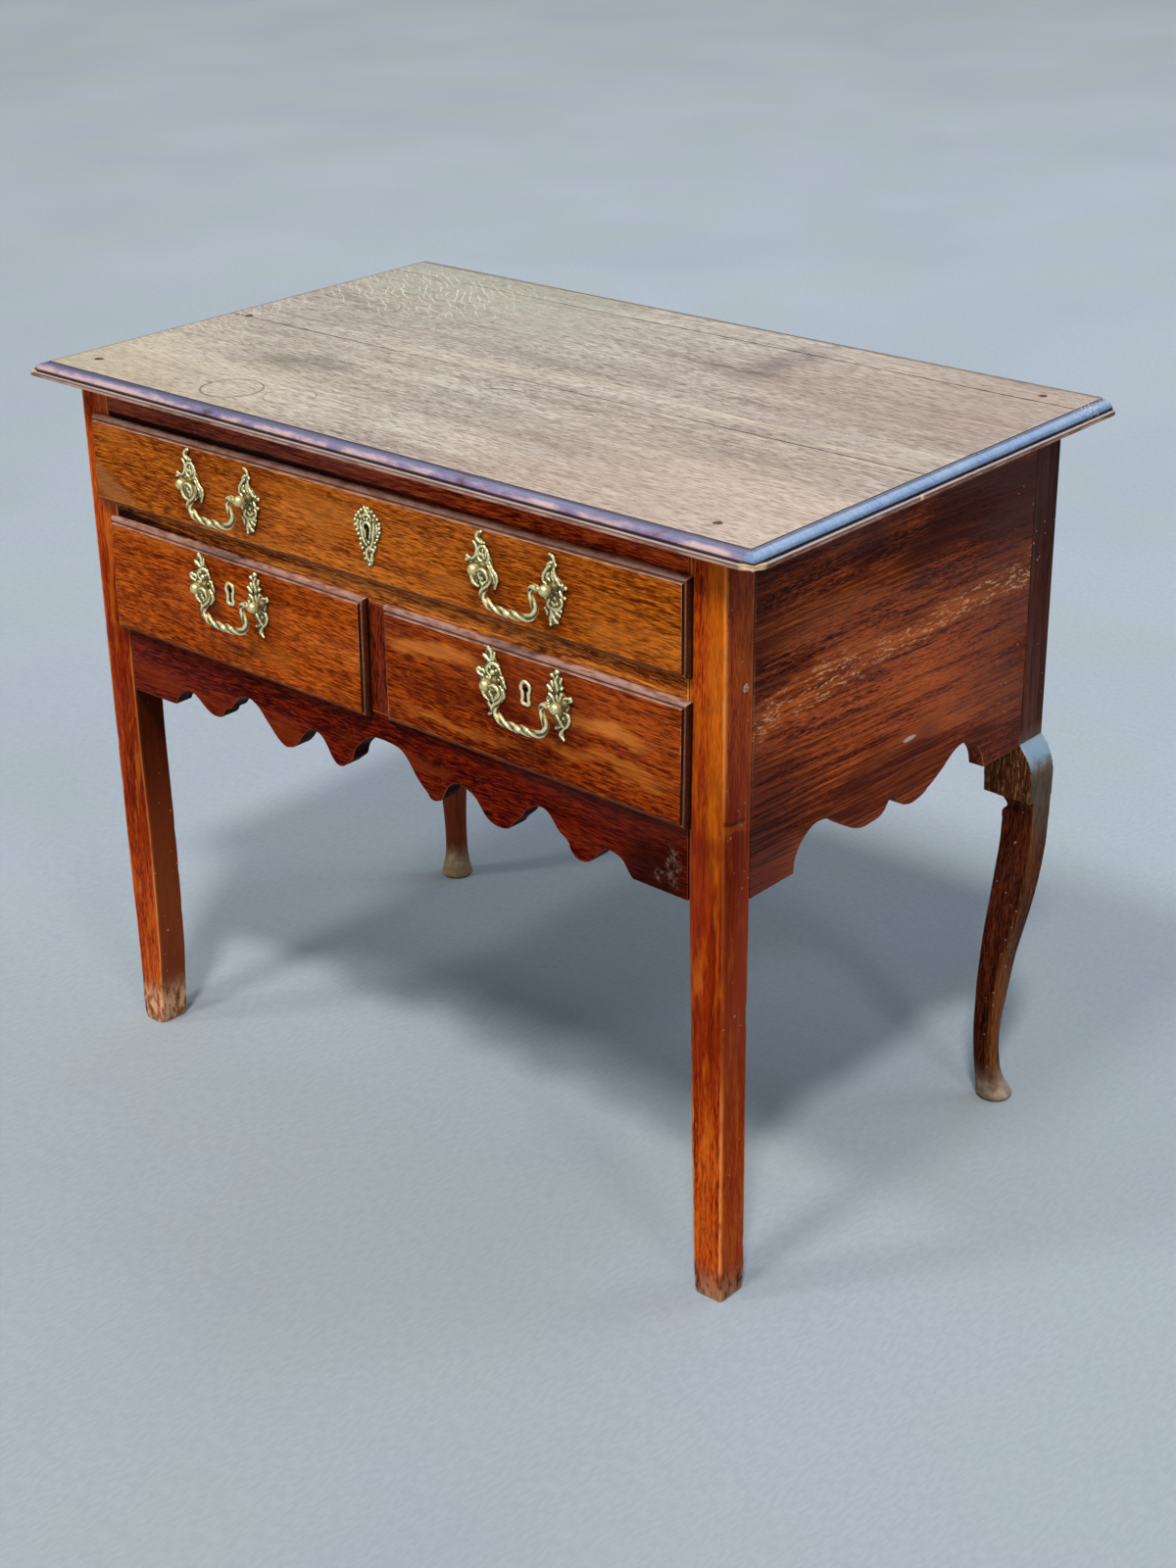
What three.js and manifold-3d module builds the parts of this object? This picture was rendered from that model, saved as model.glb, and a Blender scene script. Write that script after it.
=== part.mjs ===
// A small oak lowboy (side table with drawers): a case on two square front
// legs and two shaped rear legs, one long drawer over two short ones, cast
// brass bail handles on pairs of pierced-outline backplates.
//
// Millimetres, +Z up. X is the width (viewer's right is +X), the drawers face
// -Y. The origin lies on the floor, under the centre of the overall box.
import * as THREE from 'three';
import { mergeVertices } from 'three/addons/utils/BufferGeometryUtils.js';
import Module from 'manifold-3d';

const wasm = await Module();
wasm.setup();

// ------------------------------------------------------------ dimensions
const GAP = 0.3;              // running gap between touching pieces
const HEIGHT = 710;           // floor to the top surface
const TOP_HALF_W = 434.7;     // half width of the top over its moulding
const TOP_HALF_D = 259.9;     // half depth of the top
const TOP_T = 14.1;           // thickness of the top boards
const JOINT_FRONT = -17;      // glue line between front and middle board
const JOINT_REAR = 215;       // glue line between middle and rear board
const XL = -389, XR = 391.4;  // outer faces of the posts
const XMID = (XL + XR) / 2;
const YF = -237.8;            // front plane of the case
const YR = 244.7;             // rear plane of the case
const ZC = HEIGHT - TOP_T - GAP - GAP;   // top of the case
const POST_L = -350, POST_R = 354;       // inner faces of the front posts
const REAR_IN = 39.4;         // width of a rear post
const YB = 206;               // front face of the rear posts
const RAIL_TOP_Z = 664;       // underside of the top rail
const MID_Z0 = 562, MID_Z1 = 590;        // middle rail
const APRON_TOP = 458;
const MUNTIN_L = -14, MUNTIN_R = 20;
const PANEL_T = 16;
const FACE = -247;            // drawer faces
const LIP_BACK = YF - GAP;    // back of the drawer lips
const FRONT_BACK = -226;      // back face of the drawer fronts
const DRAWER_END = 198;       // rear of the drawer sides
const SIDE_T = 10;            // drawer sides and backs
const BOTTOM_T = 6;
const PIVOT_Y = -262;         // bail axis
const POST_HALF = 39.5;       // half the spacing of the handle posts
const BALL_R = 5.8;
const PIN_R = 1.7;            // bail ends
const PIN_HOLE_R = 2.3;
const PLATE_T = 2.4;
const ORIGIN_Y = (Math.abs(PIVOT_Y - BALL_R) - TOP_HALF_D) / 2;

// ------------------------------------------------------------- materials
const mat = (color, roughness, metalness = 0) =>
  new THREE.MeshStandardMaterial({ color, roughness, metalness });
const M = {
  top: mat(0x7a6652, 0.45),
  post: mat(0x8a5a32, 0.5),
  case: mat(0x6b3d24, 0.5),
  rearLeg: mat(0x4a3224, 0.5),
  front: mat(0x87502f, 0.42),
  inner: mat(0x9a7b55, 0.7),
  brass: mat(0xb39a55, 0.32, 1),
  iron: mat(0x4b4744, 0.5, 1),
};

// --------------------------------------------------------------- helpers
function bare(geometry) {
  const g = geometry.clone();
  for (const name of Object.keys(g.attributes)) {
    if (name !== 'position') g.deleteAttribute(name);
  }
  return mergeVertices(g, 1e-4);
}

function signedVolume(g) {
  const p = g.attributes.position, i = g.index;
  let v = 0;
  for (let k = 0; k < i.count; k += 3) {
    const [a, b, c] = [0, 1, 2].map((n) =>
      new THREE.Vector3().fromBufferAttribute(p, i.getX(k + n)));
    v += a.dot(b.cross(c)) / 6;
  }
  return v;
}

function outward(g) {
  if (signedVolume(g) < 0) {
    const i = g.index.array;
    for (let k = 0; k < i.length; k += 3) {
      const t = i[k + 1];
      i[k + 1] = i[k + 2];
      i[k + 2] = t;
    }
  }
  return g;
}

function solid(geometry) {
  const g = outward(bare(geometry));
  return new wasm.Manifold(new wasm.Mesh({
    numProp: 3,
    vertProperties: new Float32Array(g.attributes.position.array),
    triVerts: new Uint32Array(g.index.array),
  }));
}

function fromSolid(m) {
  const mesh = m.getMesh();
  const g = new THREE.BufferGeometry();
  g.setAttribute('position',
    new THREE.BufferAttribute(new Float32Array(mesh.vertProperties), 3));
  g.setIndex(new THREE.BufferAttribute(new Uint32Array(mesh.triVerts), 1));
  return g;
}

const cut = (geometry, ...tools) => {
  let m = solid(geometry);
  for (const t of tools) m = m.subtract(solid(t));
  return fromSolid(m);
};
const join = (...pieces) => {
  let m = solid(pieces[0]);
  for (const p of pieces.slice(1)) m = m.add(solid(p));
  return fromSolid(m);
};

function box(x0, x1, y0, y1, z0, z1) {
  const g = new THREE.BoxGeometry(x1 - x0, y1 - y0, z1 - z0);
  g.translate((x0 + x1) / 2, (y0 + y1) / 2, (z0 + z1) / 2);
  return g;
}

const shapeOf = (pts) => new THREE.Shape(pts.map(([a, b]) => new THREE.Vector2(a, b)));

// outline in (x, z), solid from y0 to y1
function slabXZ(pts, y0, y1) {
  const s = pts instanceof THREE.Shape ? pts : shapeOf(pts);
  const g = new THREE.ExtrudeGeometry(s, { depth: y1 - y0, bevelEnabled: false });
  g.rotateX(Math.PI / 2);
  g.translate(0, y1, 0);
  return g;
}

// outline in (y, z), solid from x0 to x1
function slabYZ(pts, x0, x1) {
  const g = new THREE.ExtrudeGeometry(shapeOf(pts), {
    depth: x1 - x0, bevelEnabled: false,
  });
  g.applyMatrix4(new THREE.Matrix4().set(
    0, 0, 1, 0, 1, 0, 0, 0, 0, 1, 0, 0, 0, 0, 0, 1));
  g.translate(x0, 0, 0);
  return g;
}

// closed solid through rings of equal length, flat caps at both ends
function loft(rings) {
  const n = rings[0].length;
  const pos = rings.flat(2);
  const idx = [];
  for (let r = 0; r < rings.length - 1; r++) {
    for (let k = 0; k < n; k++) {
      const a = r * n + k, b = r * n + (k + 1) % n;
      idx.push(a, b, b + n, a, b + n, a + n);
    }
  }
  const last = (rings.length - 1) * n;
  for (let k = 1; k < n - 1; k++) {
    idx.push(0, k + 1, k);
    idx.push(last, last + k, last + k + 1);
  }
  const g = new THREE.BufferGeometry();
  g.setAttribute('position', new THREE.BufferAttribute(new Float32Array(pos), 3));
  g.setIndex(idx);
  return outward(g);
}

function lerpTable(table, z) {
  if (z <= table[0][0]) return table[0].slice(1);
  for (let k = 1; k < table.length; k++) {
    if (z <= table[k][0]) {
      const t = (z - table[k - 1][0]) / (table[k][0] - table[k - 1][0]);
      return table[k].slice(1).map((v, j) => table[k - 1][j + 1] * (1 - t) + v * t);
    }
  }
  return table[table.length - 1].slice(1);
}

const lowboy = new THREE.Group();
lowboy.position.y = ORIGIN_Y;
function add(group, name, geometry, material) {
  const mesh = new THREE.Mesh(geometry, material);
  mesh.name = name;
  group.add(mesh);
  return mesh;
}

// ------------------------------------------------------------------- top
// Edge moulding: [inset from the outermost edge, drop below the top surface].
const TOP_EDGE = [
  [14, 0], [13.5, 1.1], [11.8, 1.3], [9.2, 1.9], [6.6, 3.1], [4.4, 4.9],
  [3.1, 7.0], [2.7, 8.5], [0.5, 9.0], [0, 9.7], [0, 13.5], [0.8, TOP_T],
];
function topBoard(y0, y1, frontMoulded, rearCorner) {
  const rings = TOP_EDGE.map(([d, drop]) => {
    const z = HEIGHT - drop;
    const xa = -TOP_HALF_W + d, xb = TOP_HALF_W - d;
    const ya = frontMoulded ? y0 + d : y0;
    const ring = [[xa, ya, z], [xb, ya, z], [xb, y1, z]];
    if (rearCorner) {
      ring.push([xa + 9, y1, z], [xa + 4.5, y1 - 1.6, z],
        [xa + 1.6, y1 - 4.5, z], [xa, y1 - 9, z]);
    } else ring.push([xa, y1, z]);
    return ring;
  });
  return loft(rings);
}
const top = new THREE.Group();
lowboy.add(top);
add(top, 'top_board_front',
  topBoard(-TOP_HALF_D, JOINT_FRONT - GAP / 2, true, false), M.top);
add(top, 'top_board_middle',
  topBoard(JOINT_FRONT + GAP / 2, JOINT_REAR - GAP / 2, false, false), M.top);
add(top, 'top_board_rear',
  topBoard(JOINT_REAR + GAP / 2, TOP_HALF_D, false, true), M.top);

// ------------------------------------------------------------ front legs
// z, inner face x, rear face y
const FRONT_RIGHT = [
  [0, 361.2, -204.1], [23, 360.7, -204.1], [67, 359.5, -204.2],
  [153, 357.7, -204.5], [237, 356.7, -204.8], [330, 355.0, -204.2],
  [400, POST_R, -203.5], [440, POST_R, -203.2], [ZC, POST_R, -201.2],
];
const FRONT_LEFT = [
  [0, -360.5, -204.1], [30, -357.5, -204.1], [86, -352.6, -204.2],
  [153, -350.6, -204.5], [224, -349.4, -204.8], [330, -351.4, -204.2],
  [400, -351, -203.5], [440, POST_L, -203.2], [ZC, POST_L, -201.2],
];
const frontLeg = (table, xo) => loft(table.map(([z, xi, yr]) => {
  const [a, b] = [Math.min(xi, xo), Math.max(xi, xo)];
  return [[a, YF, z], [b, YF, z], [b, yr, z], [a, yr, z]];
}));
const TEN = 18;               // rail tenon length
const PTEN = 14;              // end panel tenon length
const BTEN = 12;              // back board tenon length
const railMortises = (side) => {
  const [a, b] = side < 0 ? [POST_L - TEN - GAP, POST_L + 2]
    : [POST_R - 2, POST_R + TEN + GAP];
  return [
    box(a, b, -233.1, -222.5, 667.7, 692.3),
    box(a, b, -231.3, -211.7, 567.7, 584.3),
    box(a, b, -233.1, -222.5, 404.7, 452.3),
  ];
};
const panelTongue = (side) => side < 0 ? [XL + 4, XL + 12] : [XR - 12, XR - 4];
const panelMortise = (side, y0, y1) => {
  const [a, b] = panelTongue(side);
  return box(a - GAP, b + GAP, y0, y1, 399.7, 690.3);
};
add(lowboy, 'leg_front_left', cut(frontLeg(FRONT_LEFT, XL),
  ...railMortises(-1), panelMortise(-1, -204 - PTEN, -198)), M.post);
add(lowboy, 'leg_front_right', cut(frontLeg(FRONT_RIGHT, XR),
  ...railMortises(1), panelMortise(1, -204 - PTEN, -198)), M.post);

// ------------------------------------------------------------- rear legs
// Shaft: z, centre x, centre y, half width x, half width y, corner radius.
const SHAFT_RIGHT = [
  [0, 385.5, 208.2, 17.0, 17.0, 16.6], [2.5, 385.4, 208.1, 18.2, 18.2, 17.9],
  [8, 384.3, 207.6, 16.9, 16.9, 16.5], [14, 381.8, 206.5, 15.2, 15.2, 14.8],
  [22, 380.0, 204.9, 13.5, 13.5, 13.0], [32, 378.4, 203.4, 12.7, 12.7, 12.2],
  [50, 376.8, 202.5, 12.3, 12.3, 11.7], [69, 376.0, 202.5, 12.4, 12.4, 11.3],
  [86, 376.0, 203.7, 12.7, 12.6, 10.1], [102, 376.4, 205.2, 13.0, 13.0, 8.9],
  [126, 376.8, 208.1, 13.8, 13.6, 7.5], [155, 378.2, 212.0, 14.2, 14.2, 6.0],
  [188, 381.6, 216.6, 15.8, 15.6, 4.6], [208, 383.7, 219.6, 16.5, 16.0, 4.1],
  [228, 385.4, 222.6, 17.1, 16.3, 3.7], [252, 387.0, 226.0, 17.5, 16.0, 3.2],
  [275, 388.1, 228.7, 17.6, 15.4, 2.8], [304, 388.5, 229.65, 17.5, 15.05, 2],
];
const SHAFT_LEFT_FOOT = [
  [0, -366.0, 217.0], [14, -365.6, 217.0], [40, -365.0, 216.8],
  [100, -365.4, 216.4], [155, -368.9, 218.6], [190, -373.0, 221.3],
  [235, -380.4, 224.8], [304, 2 * XMID - 388.5, 229.65],
];
function roundedRing(cx, cy, hx, hy, r, z) {
  const ring = [];
  const q = Math.min(r, hx - 0.05, hy - 0.05);
  for (let c = 0; c < 4; c++) {
    const sx = [1, -1, -1, 1][c], sy = [1, 1, -1, -1][c];
    for (let k = 0; k < 4; k++) {
      const t = (c + k / 3) * Math.PI / 2;
      ring.push([cx + sx * (hx - q) + q * Math.cos(t),
        cy + sy * (hy - q) + q * Math.sin(t), z]);
    }
  }
  return ring;
}
const mirrorX = (g) => {
  const m = g.clone();
  m.applyMatrix4(new THREE.Matrix4().makeScale(-1, 1, 1));
  m.translate(2 * XMID, 0, 0);
  return outward(bare(m));
};
// Knee: outer outline (x, z) of the right rear leg where it swells past the
// case, and the ears that step from the post down to the shaft.
const POST_IN_R = XR - REAR_IN;
const KNEE = [
  [XR, ZC], [XR, 381], [398, 373], [401.5, 368], [404, 362.5], [406.2, 354.5],
  [407.2, 346], [407, 338], [406.4, 325], [406, 300],
];
const EAR = [
  [371, 300], [371, 307], [373, 310], [376, 313], [374.5, 317.5],
  [369.6, 321], [362, 323.6], [354.2, 324.6], [353.2, 360], [POST_IN_R, 381],
  [POST_IN_R, ZC],
];
const kneeBlock = () => {
  const rear = slabXZ([...KNEE, ...EAR], YB + 8.6, YR);
  const ear = slabXZ([
    [XR, ZC], [XR, 381], [398, 373], [401.5, 368], [404, 362.5],
    [406.2, 354.5], [407.2, 346], [407, 338], [406.4, 325.5],
    [354.2, 325.5], [353.2, 360], [POST_IN_R, 381], [POST_IN_R, ZC],
  ], YB, YB + 9.6);
  return [rear, ear];
};
const shaft = (centres) => loft(SHAFT_RIGHT.map(([z, cx, cy, hx, hy, r]) => {
  const [x, y] = centres ? lerpTable(centres, z) : [cx, cy];
  return roundedRing(x, y, hx, hy, r, z);
}));
const backTongue = [233, 240];
const rearLegCuts = (side) => {
  const inner = side < 0 ? XL + REAR_IN : POST_IN_R;
  const [a, b] = side < 0 ? [inner - BTEN - GAP, inner + 2]
    : [inner - 2, inner + BTEN + GAP];
  return [
    box(a, b, backTongue[0] - GAP, backTongue[1] + GAP, 399.7, 690.3),
    panelMortise(side, YB - 2, YB + PTEN + GAP),
  ];
};
add(lowboy, 'leg_rear_right', cut(
  join(...kneeBlock(), shaft(null)), ...rearLegCuts(1)), M.rearLeg);
add(lowboy, 'leg_rear_left', cut(
  join(...kneeBlock().map(mirrorX), shaft(SHAFT_LEFT_FOOT)),
  ...rearLegCuts(-1)), M.rearLeg);

// ------------------------------------------------------------ end panels
const END_EDGE = [   // shaped lower edge, front to back (y, z)
  [-143.4, 386.5], [-142.9, 394], [-141.2, 400.3], [-138.1, 406.1],
  [-134.4, 410.8], [-128, 416.2], [-120.3, 420.3], [-112.5, 422.2],
  [-101.8, 421.3], [-92.4, 418.6], [-84.1, 414.2], [-75.7, 407],
  [-67.3, 401.2], [-56, 395.4], [-44.8, 392.2], [-32.6, 392], [-19.6, 393],
  [-12, 396.9], [-7, 402.7], [-3.9, 404.9], [0.7, 406.6], [6.5, 398.6],
  [13.6, 393], [20.5, 389.8], [28.7, 388.2], [36.8, 388.7], [47.6, 390.8],
  [56.9, 394.7], [67.5, 400.3], [78.2, 406], [87.4, 412.2], [95.5, 416.2],
  [103.7, 418.5], [112.2, 418.3], [119.6, 415.6], [128.6, 410.3],
  [136.5, 402.8], [140.7, 396], [142.7, 390.1], [144.2, 382.5],
];
function endPanel(side) {
  const yFrontLow = -203.5 + GAP, yFrontHigh = -201.2 + GAP;
  const outline = [
    [yFrontLow, 386.5], ...END_EDGE, [YB - GAP, 381.2], [YB - GAP, ZC],
    [yFrontHigh, ZC],
  ];
  const [a, b] = side < 0 ? [XL, XL + PANEL_T] : [XR - PANEL_T, XR];
  const [ta, tb] = panelTongue(side);
  return join(slabYZ(outline, a, b),
    box(ta, tb, -203 - PTEN, -196, 400, 690),
    box(ta, tb, YB - 8, YB + PTEN, 400, 690));
}
add(lowboy, 'end_panel_left', endPanel(-1), M.case);
add(lowboy, 'end_panel_right', endPanel(1), M.case);

// ------------------------------------------------------------- back board
add(lowboy, 'back_board', join(
  box(XL + REAR_IN + GAP, POST_IN_R - GAP, 229, 243, 386, ZC),
  box(XL + REAR_IN - BTEN, XL + REAR_IN + 6, ...backTongue, 400, 690),
  box(POST_IN_R - 6, POST_IN_R + BTEN, ...backTongue, 400, 690)), M.inner);

// ------------------------------------------------------------------ rails
const railEnds = [POST_L + GAP, POST_R - GAP];
add(lowboy, 'top_rail', join(
  box(...railEnds, YF, YF + 20, RAIL_TOP_Z, ZC),
  box(POST_L - TEN, POST_L + 6, -232.8, -222.8, 668, 692),
  box(POST_R - 6, POST_R + TEN, -232.8, -222.8, 668, 692)), M.case);
add(lowboy, 'mid_rail', cut(join(
  box(...railEnds, YF, -205.5, MID_Z0, MID_Z1),
  box(POST_L - TEN, POST_L + 6, -231, -212, 568, 584),
  box(POST_R - 6, POST_R + TEN, -231, -212, 568, 584)),
box(MUNTIN_L + 6 - GAP, MUNTIN_R - 6 + GAP, -232.8 - GAP, -222.8 + GAP,
  MID_Z0 - 1, MID_Z0 + 10 + GAP)), M.post);
add(lowboy, 'muntin', join(
  box(MUNTIN_L, MUNTIN_R, YF, YF + 20, APRON_TOP + GAP, MID_Z0 - GAP),
  box(MUNTIN_L + 6, MUNTIN_R - 6, -232.8, -222.8, APRON_TOP - 10, MID_Z0 + 10)),
M.case);

const APRON_EDGE = [   // shaped lower edge, left to right (x, z)
  [-292, 387.5], [-288.6, 387.8], [-285.8, 392.8], [-281.3, 398.8],
  [-274.7, 404.3], [-268.4, 406.8], [-262.6, 406.4], [-255.6, 403.6],
  [-248.9, 398.6], [-242.2, 394.1], [-235.2, 391.3], [-228, 390.9],
  [-222.1, 392.1], [-218.1, 396], [-214.6, 401.7], [-206.3, 405],
  [-202.2, 410.3], [-196.5, 415.9], [-190.4, 420.7], [-184.5, 422.8],
  [-177.5, 422.6], [-170.8, 419.8], [-164.3, 414.9], [-158, 407.9],
  [-151.7, 401.5], [-145.5, 395], [-138.5, 389.6], [-131.5, 386.7],
  [-125.5, 387.9], [-119.5, 390.2], [-113.1, 396.3], [-107.3, 403.9],
  [-100.2, 411.3], [-94.9, 414.3], [-89.9, 414.9], [-84.3, 413.6],
  [-78.9, 409.8], [-73.8, 402.6], [-68.9, 394.4], [-62.3, 388.8],
  [-55.2, 388.7], [-47.8, 394.1], [-40.3, 400.5], [-38.4, 406.4],
  [-35.2, 412.6], [-29.2, 418.5], [-23.2, 423.9], [-16, 428.6],
  [-9, 430.6], [-2.2, 430.9], [5.9, 430.6], [14, 429.8], [21.9, 427.9],
  [28.3, 423.4], [34.5, 415.8], [40.7, 407.2], [46.9, 400.7],
  [53.7, 394.5], [57.4, 390.4], [62.6, 389], [70.7, 391.8], [75.6, 398],
  [78.6, 404.1], [82.8, 410], [91.5, 414.6], [98, 414.5], [104.3, 412.3],
  [111.8, 408.9], [118, 402.5], [124, 395], [131.4, 389.6], [140.2, 387.7],
  [147.9, 388.2], [154.3, 391], [159.5, 397.2], [168.6, 405.6],
  [173.1, 412.1], [178.9, 417.4], [186.4, 421], [193.8, 422],
  [199.8, 419.3], [205.7, 413], [211.6, 405.8], [217.6, 402.6],
  [222.7, 397.9], [224.1, 393.4], [228.5, 388.1], [233.4, 385.5],
  [239.3, 385.3], [244.8, 387.1], [250.3, 390.9], [255.3, 396.2],
  [260.2, 401.5], [266.1, 405.2], [271.9, 405.3], [277.7, 403.8],
  [282.5, 401.3], [286.3, 396.8], [290.1, 391.4], [293.9, 386.9],
];
add(lowboy, 'apron', cut(join(
  slabXZ([[POST_L - 0.6 + GAP, 387], ...APRON_EDGE, [POST_R - GAP, 386],
    [POST_R - GAP, APRON_TOP], [POST_L + GAP, APRON_TOP],
    [POST_L + GAP, 440], [POST_L - 0.6 + GAP, 400]], YF, YF + 20),
  box(POST_L - TEN, POST_L + 6, -232.8, -222.8, 405, 452),
  box(POST_R - 6, POST_R + TEN, -232.8, -222.8, 405, 452)),
box(MUNTIN_L + 6 - GAP, MUNTIN_R - 6 + GAP, -232.8 - GAP, -222.8 + GAP,
  APRON_TOP - 10 - GAP, APRON_TOP + 1)), M.case);

// ---------------------------------------------------------------- runners
// An L-section carries the drawer side and guides it past the post.
const PANEL_IN_L = XL + PANEL_T + GAP, PANEL_IN_R = XR - PANEL_T - GAP;
function runner(side, zTop, y0) {
  const guide = zTop + 22;
  const pts = side < 0
    ? [[PANEL_IN_L, zTop - 20], [POST_L + 25, zTop - 20], [POST_L + 25, zTop],
      [POST_L + 0.4, zTop], [POST_L + 0.4, guide], [PANEL_IN_L, guide]]
    : [[POST_R - 25, zTop - 20], [PANEL_IN_R, zTop - 20], [PANEL_IN_R, guide],
      [POST_R - 0.4, guide], [POST_R - 0.4, zTop], [POST_R - 25, zTop]];
  return slabXZ(pts, y0, YB - GAP);
}
add(lowboy, 'runner_upper_left', runner(-1, MID_Z1, -200.8), M.inner);
add(lowboy, 'runner_upper_right', runner(1, MID_Z1, -200.8), M.inner);
add(lowboy, 'runner_lower_left', runner(-1, APRON_TOP, -200.8), M.inner);
add(lowboy, 'runner_lower_right', runner(1, APRON_TOP, -200.8), M.inner);
add(lowboy, 'runner_lower_centre', slabXZ([
  [MUNTIN_L - 24, APRON_TOP - 20], [MUNTIN_R + 24, APRON_TOP - 20],
  [MUNTIN_R + 24, APRON_TOP], [MUNTIN_R - 0.4, APRON_TOP],
  [MUNTIN_R - 0.4, APRON_TOP + 22], [MUNTIN_L + 0.4, APRON_TOP + 22],
  [MUNTIN_L + 0.4, APRON_TOP], [MUNTIN_L - 24, APRON_TOP],
], YF + 20 + GAP, 229 - GAP), M.inner);

// ---------------------------------------------------------------- drawers
// Lip moulding: [inset from the lip's outer edge, y].
const LIP = [
  [0, LIP_BACK], [0, -240.6], [0.35, -242.3], [1.2, -243.8], [2.5, -245.0],
  [4.0, -245.7], [4.6, -245.8],
];
const scaleQuad = (lip, flat, t) => lip.map((p, k) =>
  [p[0] + (flat[k][0] - p[0]) * t, p[1] + (flat[k][1] - p[1]) * t]);

// keyhole outline: a round over a slot
function keyhole(kx, kz, grow) {
  const pts = [[kx - 1.5 - grow, kz - 9.4 - grow], [kx + 1.5 + grow, kz - 9.4 - grow]];
  for (let k = 0; k <= 8; k++) {
    const t = (-0.35 + k / 8 * 1.7) * Math.PI;
    pts.push([kx + (3.1 + grow) * Math.cos(t), kz + 1.6 + (3.1 + grow) * Math.sin(t)]);
  }
  return pts;
}

// tails of a dovetailed side, evenly spaced between z0 and z1
function tails(z0, z1, n) {
  const pitch = (z1 - z0) / n;
  return Array.from({ length: n }, (_, k) => ({
    z: z0 + pitch * (k + 0.5), root: pitch * 0.27, tip: pitch * 0.37,
  }));
}

function drawer(name, o) {
  const g = new THREE.Group();
  lowboy.add(g);
  const [x0, x1, z0, z1] = o.inner;      // the box that fills the opening
  const sideTop = z1 - 6;
  const floor = z0 + 5 + BOTTOM_T;       // top of the drawer bottom
  const backLow = floor + GAP;
  const front = tails(z0 + 2, sideTop - 1, o.tails);
  const rear = tails(backLow + 1, sideTop - 1, o.tails - 1);
  const yTip = -236, yRear = DRAWER_END - SIDE_T;

  // front board: rings from the back face to the drawer face
  const rings = [];
  const inner = [[x0, z1], [x1, z1], [x1, z0], [x0, z0]];
  rings.push(inner.map(([x, z]) => [x, FRONT_BACK, z]));
  rings.push(inner.map(([x, z]) => [x, LIP_BACK, z]));
  for (const [d, y] of LIP) {
    rings.push(scaleQuad(o.lip, o.flat, d / 5).map(([x, z]) => [x, y, z]));
  }
  rings.push(o.flat.map(([x, z]) => [x, FACE + 0.25, z]));
  rings.push(scaleQuad(o.lip, o.flat, 1.06).map(([x, z]) => [x, FACE, z]));
  const cuts = [];
  const socket = (t, yTo, yFrom, xa, xb) => slabYZ([
    [yFrom + 1, t.z - t.root - GAP + 0.02], [yFrom + 1, t.z + t.root + GAP - 0.02],
    [yFrom, t.z + t.root + GAP], [yTo, t.z + t.tip + GAP],
    [yTo, t.z - t.tip - GAP], [yFrom, t.z - t.root - GAP],
  ], xa, xb);
  for (const t of front) {
    cuts.push(socket(t, yTip - GAP, FRONT_BACK, x0 - 1, x0 + SIDE_T + GAP));
    cuts.push(socket(t, yTip - GAP, FRONT_BACK, x1 - SIDE_T - GAP, x1 + 1));
  }
  // groove for the bottom
  cuts.push(box(x0 + SIDE_T - 3.3, x1 - SIDE_T + 3.3, FRONT_BACK - 5 - GAP,
    FRONT_BACK + 1, z0 + 5 - GAP, floor + GAP));
  // lock recess, open at the top edge, and the keyhole
  const [kx, kz] = o.key;
  cuts.push(box(kx - 21 - GAP, kx + 21 + GAP, -236 - GAP, FRONT_BACK + 1,
    kz - 22 - GAP, z1 + 1));
  cuts.push(slabXZ(keyhole(kx, kz, 0), FACE - 1, -235));
  // bolt holes of the handles
  for (const [hx, hz] of o.handles) {
    for (const s of [-1, 1]) {
      const bore = new THREE.CylinderGeometry(3.1, 3.1, 24, 8);
      bore.translate(hx + s * POST_HALF, FACE + 10.5, hz);
      cuts.push(bore);
    }
  }
  add(g, `${name}_front`, cut(loft(rings), ...cuts), M.front);

  // sides
  const ys = FRONT_BACK + GAP, yr = yRear - GAP;
  const outline = [[ys, z0]];
  for (const t of front) {
    outline.push([ys, t.z - t.root], [yTip, t.z - t.tip],
      [yTip, t.z + t.tip], [ys, t.z + t.root]);
  }
  outline.push([ys, sideTop], [yr, sideTop]);
  for (const t of [...rear].reverse()) {
    outline.push([yr, t.z + t.root], [DRAWER_END, t.z + t.tip],
      [DRAWER_END, t.z - t.tip], [yr, t.z - t.root]);
  }
  outline.push([yr, backLow], [DRAWER_END, backLow], [DRAWER_END, z0]);
  const groove = (xa, xb) => box(xa, xb, ys - 20, DRAWER_END + 1,
    z0 + 5 - GAP, floor + GAP);
  add(g, `${name}_side_left`, cut(slabYZ(outline, x0, x0 + SIDE_T),
    groove(x0 + SIDE_T - 3 - GAP, x0 + SIDE_T + 1)), M.inner);
  add(g, `${name}_side_right`, cut(slabYZ(outline, x1 - SIDE_T, x1),
    groove(x1 - SIDE_T - 1, x1 - SIDE_T + 3 + GAP)), M.inner);

  // back, dovetailed through, standing on the bottom
  const backCuts = [];
  for (const t of rear) {
    for (const [a, b] of [[x0 - 1, x0 + SIDE_T + GAP],
      [x1 - SIDE_T - GAP, x1 + 1]]) {
      backCuts.push(slabYZ([
        [yRear - 1, t.z - t.root - GAP + 0.02],
        [yRear, t.z - t.root - GAP], [DRAWER_END + 1, t.z - t.tip - GAP - 0.02],
        [DRAWER_END + 1, t.z + t.tip + GAP + 0.02],
        [yRear, t.z + t.root + GAP], [yRear - 1, t.z + t.root + GAP - 0.02],
      ], a, b));
    }
  }
  add(g, `${name}_back`, cut(box(x0, x1, yRear, DRAWER_END, backLow + GAP,
    sideTop), ...backCuts), M.inner);

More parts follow.
